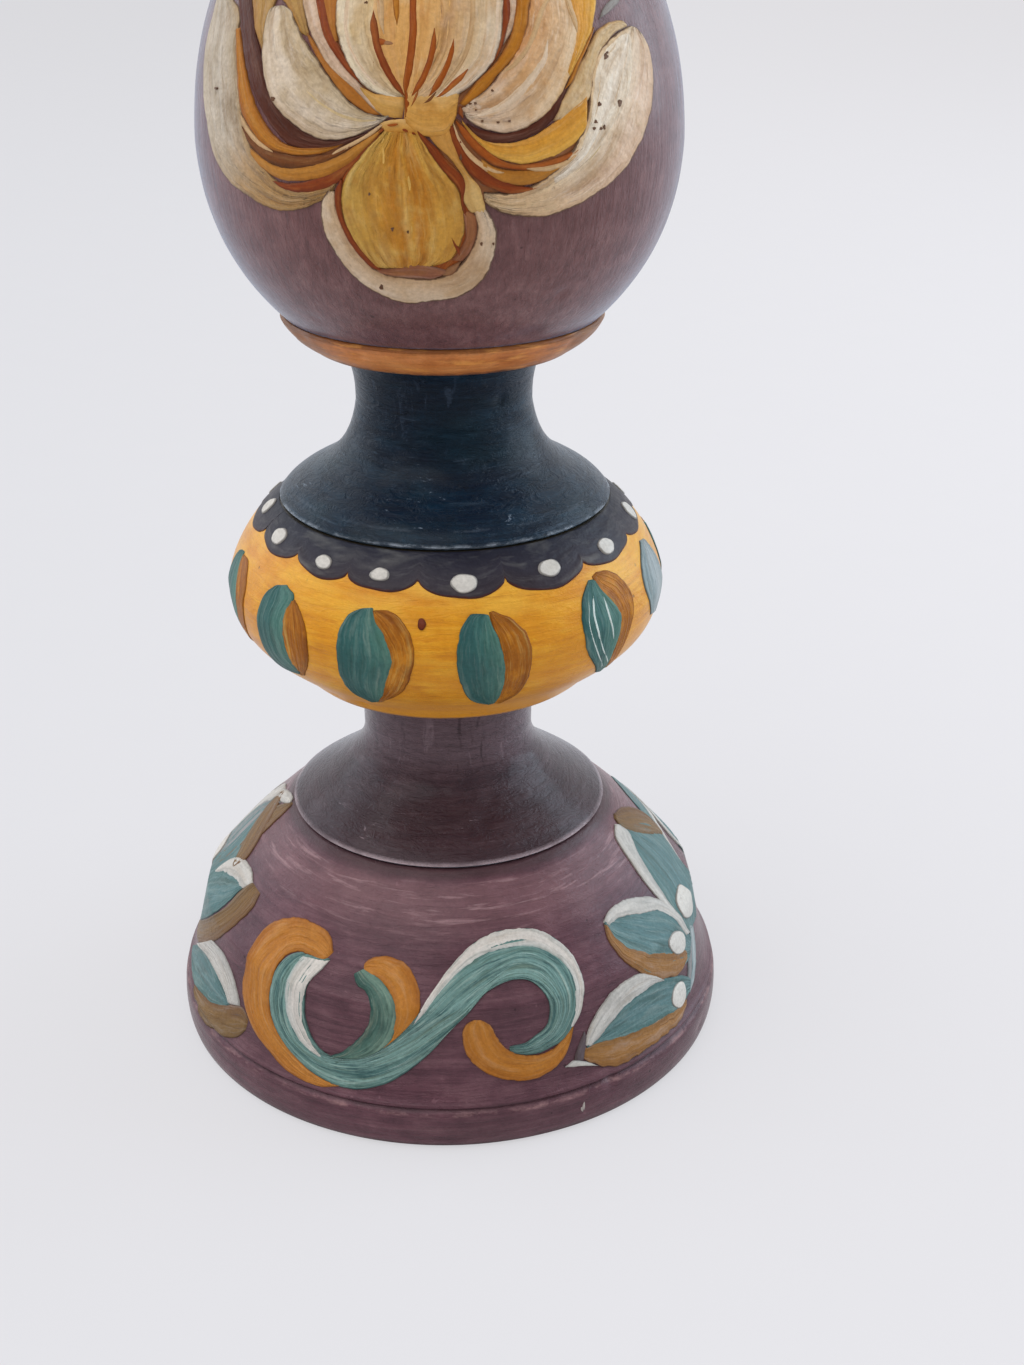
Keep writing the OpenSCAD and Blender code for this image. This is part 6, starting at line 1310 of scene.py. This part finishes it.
# dried peas: wrinkled, each a little different, with a dark eye
def pea_paint():
    g = Graph("dried_pea")
    mm = g.vmul(g.t.nodes.new("ShaderNodeTexCoord").outputs["Object"], (1000.0, 1000.0, 1000.0))
    a = g.noise(mm, 0.45, 3.0); b = g.noise(mm, 2.2, 4.0, 0.65)
    col = g.ramp(a, [(0.35, (150, 138, 74)), (0.5, (182, 166, 96)), (0.65, (196, 176, 120))])
    col = g.mix(g.remap(b, 0.58, 0.72, 0.0, 0.5), col, lin((132, 110, 62)))
    eye = g.t.nodes.new("ShaderNodeAttribute"); eye.attribute_name = "eye"
    col = g.mix(g.math("MULTIPLY", eye.outputs["Fac"], 0.85), col, lin((88, 62, 38)))
    return g.finish(col, g.remap(b, 0.3, 0.7, 0.45, 0.65), [(g.math("MULTIPLY", b, 0.10), 1.0)])


PEA = pea_paint()
for k in range(24):
    name = f"pellet_{k + 1:02d}"
    lo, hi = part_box(name)
    c = (lo + hi) / 2; R = (hi.z - lo.z) / 2
    g_ = np.random.default_rng(900 + k)
    nu_, nv_ = 48, 28
    th = np.linspace(0, math.pi, nv_ + 1)[1:-1]; ph = np.linspace(0, 2 * math.pi, nu_, endpoint=False)
    D = np.array([[math.sin(t) * math.cos(p), math.sin(t) * math.sin(p), math.cos(t)] for t in th for p in ph])
    D = np.vstack([D, [[0, 0, 1]], [[0, 0, -1]]])
    rad = np.ones(len(D))
    for _ in range(12):
        ax = g_.normal(size=3); ax /= np.linalg.norm(ax)
        rad -= 0.011 * (1 + np.sin(g_.uniform(2.5, 7) * (D @ ax) * 2 + g_.uniform(0, 6)))
    e = g_.normal(size=3); e[2] = abs(e[2]); e /= np.linalg.norm(e)
    eye = np.exp(-((1 - D @ e) / 0.018) ** 2); rad -= 0.03 * eye
    low = D[:, 2] < -0.93
    rad = np.where(low, np.maximum(rad, 0.95), rad)
    V = np.array(c) + D * (R * rad)[:, None]
    V[:, 2] += (lo.z - V[:, 2].min())
    f = [(a * nu_ + i, (a + 1) * nu_ + i, (a + 1) * nu_ + (i + 1) % nu_, a * nu_ + (i + 1) % nu_) for a in range(nv_ - 2) for i in range(nu_)]
    top, bot = len(D) - 2, len(D) - 1
    f += [(top, i, (i + 1) % nu_) for i in range(nu_)] + [(bot, (nv_ - 2) * nu_ + (i + 1) % nu_, (nv_ - 2) * nu_ + i) for i in range(nu_)]
    ob = mesh_object(f"pea_{k + 1:02d}", V, f, attrs={"eye": eye})
    ob.data.materials.append(PEA)
    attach(ob, name + "_body"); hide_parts(name)

# ------------------------------------------------------------------ painting on the head: one flower in front, one behind
TIPS = {"petal_wide_l": (-64.8, 162.6), "gap_l": (-53.5, 166.5), "petal_back_l": (-44.5, 168.5), "petal_back_l2": (-36.0, 170.0), "petal_mid_l": (-31.0, 171.0), "under_ml": (-28.0, 168.0), "lick_l5": (-25.5, 170.5), "lick_l6": (-22.6, 169.0),
        "bud_l": (-14.5, 173.5), "bud_m": (-4.5, 175.5), "bud_r": (8.5, 173.5), "bud_pale1": (-18.0, 170.5), "bud_pale2": (14.0, 170.5), "bud_pale3": (6.0, 171.5), "bud_pale5": (-10.5, 171.0), "bud_line_2": (-6.0, 172.0), "bud_line_2b": (-9.0, 171.0),
        "lick_r1": (17.0, 170.0), "stripe_r": (19.5, 169.0), "lick_r2": (22.5, 171.0), "under_r": (20.0, 168.0), "in_r_line1": (27.0, 167.5), "back_r_pale": (34.0, 167.5),
        "petal_in_r": (29.5, 169.5), "petal_back_r": (38.0, 168.5), "leaf_pale": (56.0, 167.0)}


def extended(name, A, B):
    """Strokes whose upper ends are out of sight run on to a rounded tip."""
    if name not in TIPS:
        return A, B
    t = TIPS[name]
    def more(E, other):
        e, o = E[0], other[0]
        out = []
        for f_, keep in ((0.97, 0.22), (0.80, 0.55), (0.50, 0.86)):
            c_ = ((e[0] + o[0]) / 2, (e[1] + o[1]) / 2)
            x = c_[0] + (t[0] - c_[0]) * f_ + (e[0] - c_[0]) * keep * (1.15 if f_ < 0.9 else 1)
            y = c_[1] + (t[1] - c_[1]) * f_ + (e[1] - c_[1]) * keep * 0.5
            out.append((x, y))
        return [t] + out + list(E)
    return more(A, B), more(B, A)


for where, turn in (("front", 0.0), ("back", 180.0)):
    pt = Painting()
    for n_, (name, piece, kind, layer, A, B) in enumerate(STROKES):
        if piece != "head":
            continue
        A, B = extended(name, A, B)
        stroke(pt, "head", kind, layer, A, B, turn=turn, seed=n_ + (0 if turn == 0 else 200), thick=0.04 if kind in ("dark", "under", "whitecream", "tearpale", "ridgeline") else 0.08)
    for n_, (name, piece, kind, layer, P) in enumerate(OVALS):
        if piece == "head":
            blob(pt, "head", kind, layer, P, turn=turn, seed=n_, thick=0.03)
    pt.build(f"paint_flower_{where}", ROOT)

# ------------------------------------------------------------------ painting on the foot: scroll front and back, a spray on each side
RIGHT = [s for s in STROKES if s[1] == "foot" and s[0].startswith("r_")]
LEFT = [s for s in STROKES if s[1] == "foot" and s[0].startswith("l_")]
SCROLL = [s for s in STROKES if s[1] == "foot" and not s[0].startswith(("r_", "l_"))]
FOOTKIND = {"ochre": "ochrefoot"}


def mirror(P, axis):
    return [(2 * axis - a, z) for a, z in P]


def moved(P, by):
    return [(a + by, z) for a, z in P]


for where, turn in (("front", 0.0), ("back", 187.0)):
    pt = Painting()
    for n_, (name, piece, kind, layer, A, B) in enumerate(SCROLL):
        stroke(pt, "foot", FOOTKIND.get(kind, kind), layer, A, B, turn=turn, seed=300 + n_ + int(turn), thick=0.08, nv=27 if kind == "doubleload" else None)
    pt.build(f"paint_scroll_{where}", ROOT)
pt = Painting()
AX = 82.0
for n_, (name, piece, kind, layer, A, B) in enumerate(RIGHT):
    if name == "r_leafD_white":
        continue
    stroke(pt, "foot", kind, layer, A, B, seed=400 + n_, thick=0.08)
    if name.startswith(("r_leafB", "r_leafC")):
        stroke(pt, "foot", kind, layer, mirror(A, AX), mirror(B, AX), seed=440 + n_, thick=0.08)
for n_, (name, piece, kind, layer, P) in enumerate(OVALS):
    if piece == "foot" and name.startswith("r_"):
        blob(pt, "foot", kind, layer, P, seed=n_)
        if not name.endswith("A"):
            blob(pt, "foot", kind, layer, mirror(P, AX), seed=n_ + 20)
# the leaf that leans away over the side
stroke(pt, "foot", "tealflat", 2, [(117, 29.0), (106, 28.0), (98.5, 27.8), (92, 26.0), (87, 23.2), (84.5, 19.0)], [(118.5, 30.6), (112, 32.6), (104, 32.6), (97, 31.0), (91.5, 27.8), (86, 19.4)], seed=481, thick=0.08)
stroke(pt, "foot", "white", 3, [(117, 28.8), (106, 26.9), (98.3, 26.6), (91, 24.8), (86.2, 22.4), (84.6, 20.0)], [(117.4, 29.4), (107, 28.5), (99, 28.1), (92.2, 26.4), (87.6, 23.7), (85.2, 20.2)], seed=482, thick=0.08)
pt.build("paint_spray_right", ROOT)
# two old chips in the paint
pt = Painting()
for n_, (name, piece, kind, layer, P) in enumerate(OVALS):
    if piece == "foot" and name.startswith("chip"):
        blob(pt, "foot", kind, layer, P, seed=n_ + 70, thick=0.03)
pt.build("paint_chips", ROOT)
pt = Painting()
for n_, (name, piece, kind, layer, A, B) in enumerate(LEFT):
    stroke(pt, "foot", kind, layer, A, B, seed=500 + n_, thick=0.08)
# the far half of the left spray is made of the right spray's leaves, carried round behind
BY = -174.0
for n_, (name, piece, kind, layer, A, B) in enumerate(RIGHT):
    if name in ("r_leafD_white", "r_tip"):
        continue
    stroke(pt, "foot", kind, layer, moved(A, BY), moved(B, BY), seed=540 + n_, thick=0.08)
for n_, (name, piece, kind, layer, P) in enumerate(OVALS):
    if piece == "foot" and name.startswith("r_"):
        blob(pt, "foot", kind, layer, moved(P, BY), seed=n_ + 40)
pt.build("paint_spray_left", ROOT)

# ------------------------------------------------------------------ painting on the ring: leaves all round, the scalloped border and its dots
pt = Painting()
LEAF = {s[0]: s for s in STROKES if s[1] == "ring"}
for n_, nm in enumerate(("leaf1_b", "leaf1_t", "leaf2_b", "leaf2_t", "leaf3_b", "leaf3_t", "leaf4_b", "leaf4_t", "leaf4_g1", "leaf4_g2", "leaf4_g3", "leaf5")):
    name, piece, kind, layer, A, B = LEAF[nm]
    stroke(pt, "ring", kind, layer, A, B, seed=600 + n_, thick=0.08)
k = 0
for turn in (-74, 68, 98, 128, 158, 188, 218, 248):
    src = ("leaf2", "leaf3")[k % 2]
    off = {"leaf2": 18.0, "leaf3": -11.5}[src]
    for part in ("_b", "_t"):
        name, piece, kind, layer, A, B = LEAF[src + part]
        if turn == 68:
            continue
        stroke(pt, "ring", kind, layer, A, B, turn=turn + off, seed=640 + 2 * k, thick=0.08)
    k += 1
for n_, (name, piece, kind, layer, P) in enumerate(OVALS):
    if piece == "ring" and kind == "dotbrown":
        blob(pt, "ring", kind, layer, P, seed=70, thick=0.08)
pt.build("paint_ring_leaves", ROOT)

pt = Painting()
CUSP = [(-71.4, 87.2), (-48.9, 86.8), (-29, 86.2), (-8, 86.4), (16.6, 86.1), (42.7, 86), (68.8, 86.2)]
CUSP = [(-71.4, 87.0)] + CUSP[1:] + [(93.5, 86.4), (117.0, 86.2), (141.5, 86.4), (166.0, 86.2), (190.0, 86.5), (214.0, 86.2), (238.0, 86.5), (262.5, 86.8), (288.6, 87.0)]
LOW = [85.2, 84.9, 84.7, 84.2, 84.0, 84.6, 84.9, 84.6, 84.9, 84.4, 84.6, 84.9, 84.5, 84.8, 85.2]
deg = np.arange(-71.4, 288.6, 0.4)
low = np.zeros(len(deg)); nearest = np.zeros(len(deg))
for (c0, z0), (c1, z1), zl in zip(CUSP[:-1], CUSP[1:], LOW):
    m_ = (deg >= c0 - 1e-6) & (deg <= c1 + 1e-6)
    s_ = (deg[m_] - c0) / (c1 - c0)
    zc = z0 + (z1 - z0) * s_
    low[m_] = zc - (zc.mean() - zl) * np.clip(1 - (2 * s_ - 1) ** 2, 0, 1) ** 0.55
phi = np.radians(deg)
top = np.full(len(phi), 89.15)
low = low + 0.07 * np.sin(17 * phi + 2) + 0.05 * np.sin(31 * phi)
rows_v = np.concatenate([[0.0, 0.0], np.linspace(0.04, 0.86, 9), [0.92, 0.96], [1.0, 1.0]])
V, UV, E, RUN = [], [], [], []
for j, v in enumerate(rows_v):
    z = top * (1 - v) + low * v
    dist = (1 - v) * (top - low)
    h = 0.07 + 0.10 * (1 - np.exp(-(dist / 0.22) ** 1.4)) * (0.8 + 0.2 * np.sin(3 * v * 6.28 + 7 * phi)) + 0.04 * np.exp(-((dist - 0.35) / 0.2) ** 2)
    if j == len(rows_v) - 1:
        h = np.full(len(phi), -0.06)
    V.append(at("ring", phi, z, h)); UV.append(np.stack([phi * 27, np.full(len(phi), v)], 1)); E.append(np.maximum(dist, 0)); RUN.append(np.full(len(phi), 0.5))
n = len(phi); i = np.arange(n); j2 = (i + 1) % n
f = np.vstack([np.stack([a * n + i, (a + 1) * n + i, (a + 1) * n + j2, a * n + j2], 1) for a in range(len(rows_v) - 1)])
pt.add(np.vstack(V), f, np.vstack(UV), np.concatenate(RUN), np.concatenate(E), KIND["border"], 3.5)
DOTS = [
    [(-76.3, 89), (-74.6, 88.6), (-77.4, 87.9), (-83.9, 87.2), (-92, 86.5), (-94.8, 86.8), (-89.1, 88.1), (-82, 88.9)],
    [(-57.7, 87.6), (-57.4, 87.2), (-59.4, 86.7), (-62.5, 86.5), (-65.1, 86.6), (-65.5, 87.1), (-63.4, 87.6), (-60.1, 87.8)],
    [(-35.3, 86.9), (-35.3, 86.3), (-36.9, 85.9), (-39.1, 85.9), (-40.7, 86.4), (-40.8, 87), (-39.3, 87.4), (-36.9, 87.3)],
    [(-16.2, 86.6), (-16.8, 86.1), (-18.7, 85.8), (-20.9, 85.9), (-22.1, 86.3), (-21.6, 86.9), (-19.7, 87.2), (-17.4, 87.1)],
    [(8.6, 85.8), (7.3, 85.1), (4.7, 84.8), (2.1, 85.2), (1.1, 85.9), (2.3, 86.7), (5.1, 86.9), (7.7, 86.6)],
    [(34.7, 86), (32.6, 85.3), (29.5, 85.3), (27.1, 85.8), (26.8, 86.6), (28.8, 87.3), (32.1, 87.3), (34.6, 86.8)],
    [(59.5, 85.7), (55.8, 85.1), (51.6, 85.3), (49.2, 86), (49.9, 87), (53.5, 87.5), (58.1, 87.4), (60.6, 86.6)],
    [(92.4, 85), (82, 85.9), (74.6, 86.8), (71.4, 87.7), (73.3, 88.3), (79.5, 88.2), (87.9, 87.2), (97.2, 85)]]
for n_, P in enumerate(DOTS):
    at_phi = (max(p[0] for p in P) + min(p[0] for p in P)) / 2
    dot_w = math.radians(max(p[0] for p in P) - min(p[0] for p in P)) * 27; dot_h = max(p[1] for p in P) - min(p[1] for p in P)
    if dot_w > 3.6 or dot_w > 2.2 * dot_h:
        P = [(at_phi + 3.7 * math.cos(t), sum(p[1] for p in P) / len(P) + max(0.95, 0.36 * dot_h) * math.sin(t)) for t in np.linspace(0, 6.283, 9)[:-1]]
    blob(pt, "ring", "dot", 5, P, seed=100 + n_, thick=0.30)
for n_, (a, s_) in enumerate(((105.5, 1.0), (129.5, 0.9), (154, 1.1), (178, 0.95), (202, 1.05), (226, 0.85), (250.5, 1.0))):
    P = [(a + 2.9 * s_ * math.cos(t), 86.5 + 0.95 * s_ * math.sin(t)) for t in np.linspace(0, 6.283, 9)[:-1]]
    blob(pt, "ring", "dot", 5, P, seed=120 + n_, thick=0.30)
pt.build("paint_scallop_border", ROOT)

# ------------------------------------------------------------------ stage, light, camera
def flat_floor():
    """A pale lightbox floor: it glows a little, so shadows on it stay faint. Its colour is painted darker towards -x, a
    painted shade across the floor.
    """
    g = Graph("floor")
    co = g.t.nodes.new("ShaderNodeTexCoord").outputs["Object"]
    n1 = g.noise(g.vmul(co, (60.0, 60.0, 60.0)), 1.0, 3.0)
    g.b.inputs["Emission Color"].default_value = (0.985, 0.975, 1.0, 1.0)
    g.b.inputs["Emission Strength"].default_value = FLOOR_GLOW
    sx = g.t.nodes.new("ShaderNodeSeparateXYZ"); g.put(sx.inputs[0], co)
    k_ = g.math("ADD", g.math("MULTIPLY", n1, 0.12), g.remap(sx.outputs[0], -0.25, 0.25, 0.0, 0.88, True))
    return g.finish(g.ramp(k_, [(0.0, (106, 106, 109)), (1.0, (124, 122, 124))]), 0.9, [(g.math("MULTIPLY", n1, 0.02), 0.3)], spec=0.0)


FLOOR_GLOW = 0.58
s_ = 6.0
floor = mesh_object("floor", [(-s_, -s_, 0), (s_, -s_, 0), (s_, s_, 0), (-s_, s_, 0)], [(0, 1, 2, 3)])
floor.data.materials.append(flat_floor())

# a soft white room, a little darker overhead and on the viewer's side, brighter to the sides and behind
world = bpy.data.worlds.new("studio"); bpy.context.scene.world = world
world.use_nodes = True
wt = world.node_tree
for n_ in list(wt.nodes):
    wt.nodes.remove(n_)


def wmath(op, a, b=0.0, clamp=False):
    nd = wt.nodes.new("ShaderNodeMath"); nd.operation = op; nd.use_clamp = clamp
    for k_, v_ in enumerate((a, b)):
        if isinstance(v_, bpy.types.NodeSocket):
            wt.links.new(v_, nd.inputs[k_])
        else:
            nd.inputs[k_].default_value = v_
    return nd.outputs[0]


wo = wt.nodes.new("ShaderNodeOutputWorld"); bg = wt.nodes.new("ShaderNodeBackground")
tc = wt.nodes.new("ShaderNodeTexCoord"); sp = wt.nodes.new("ShaderNodeSeparateXYZ")
wt.links.new(tc.outputs["Generated"], sp.inputs[0])
X_, Y_, Z_ = sp.outputs[0], sp.outputs[1], sp.outputs[2]
frontness = wmath("MAXIMUM", wmath("MULTIPLY", Y_, -1.0), 0.0)
side = wmath("ABSOLUTE", X_)
back_ = wmath("MAXIMUM", Y_, 0.0)
val = wmath("ADD", 0.60, wmath("MULTIPLY", wmath("MAXIMUM", Z_, 0.0), 0.28))
val = wmath("ADD", val, wmath("MULTIPLY", side, 0.24))
val = wmath("ADD", val, wmath("MULTIPLY", back_, 0.26))
val = wmath("SUBTRACT", val, wmath("MULTIPLY", frontness, 0.42))
bg.inputs[0].default_value = (0.955, 0.975, 1.0, 1.0)
wt.links.new(val, bg.inputs[1])
wt.links.new(bg.outputs[0], wo.inputs[0])


def area(name, loc, target, size, power, color=(1, 1, 1), disk=False):
    l = bpy.data.lights.new(name, "AREA"); l.energy = power; l.size = size; l.color = color
    if disk:
        l.shape = "DISK"
    o = bpy.data.objects.new(name, l); bpy.context.scene.collection.objects.link(o)
    o.location = loc
    o.rotation_euler = (Vector(target) - Vector(loc)).to_track_quat("-Z", "Y").to_euler()
    return o


area("key_above", (-0.55, -0.45, 1.45), (0, 0, 0.08), 1.7, 12.8, disk=True)
area("rim_right", (0.95, 0.22, 0.45), (0, 0, 0.10), 0.8, 6.2, color=(0.66, 0.84, 1.0))
area("rim_left", (-0.95, 0.40, 0.50), (0, 0, 0.10), 0.8, 2.6, color=(0.72, 0.86, 1.0))

cam_data = bpy.data.cameras.new("camera"); cam = bpy.data.objects.new("camera", cam_data)
bpy.context.scene.collection.objects.link(cam)
pitch, roll, yaw = math.radians(25.95), math.radians(0.269), math.radians(2.273)
fwd = Vector((math.sin(yaw) * math.cos(pitch), math.cos(yaw) * math.cos(pitch), -math.sin(pitch)))
right = Vector((math.cos(yaw), -math.sin(yaw), 0.0)); up = right.cross(fwd)
r2 = right * math.cos(roll) + up * math.sin(roll); u2 = -right * math.sin(roll) + up * math.cos(roll)
m = Matrix((( r2.x, u2.x, -fwd.x, 0.0), (r2.y, u2.y, -fwd.y, -5.768 * 0.045), (r2.z, u2.z, -fwd.z, 4.066 * 0.045), (0, 0, 0, 1)))
cam.matrix_world = m
cam_data.sensor_width = 36.0; cam_data.sensor_fit = "AUTO"; cam_data.lens = 1800 / 1365 * 36.0
cam_data.clip_start = 0.01; cam_data.clip_end = 40
bpy.context.scene.camera = cam
bpy.context.scene.view_settings.view_transform = "Standard"
bpy.context.scene.view_settings.look = "None"
bpy.context.scene.view_settings.exposure = 0.0
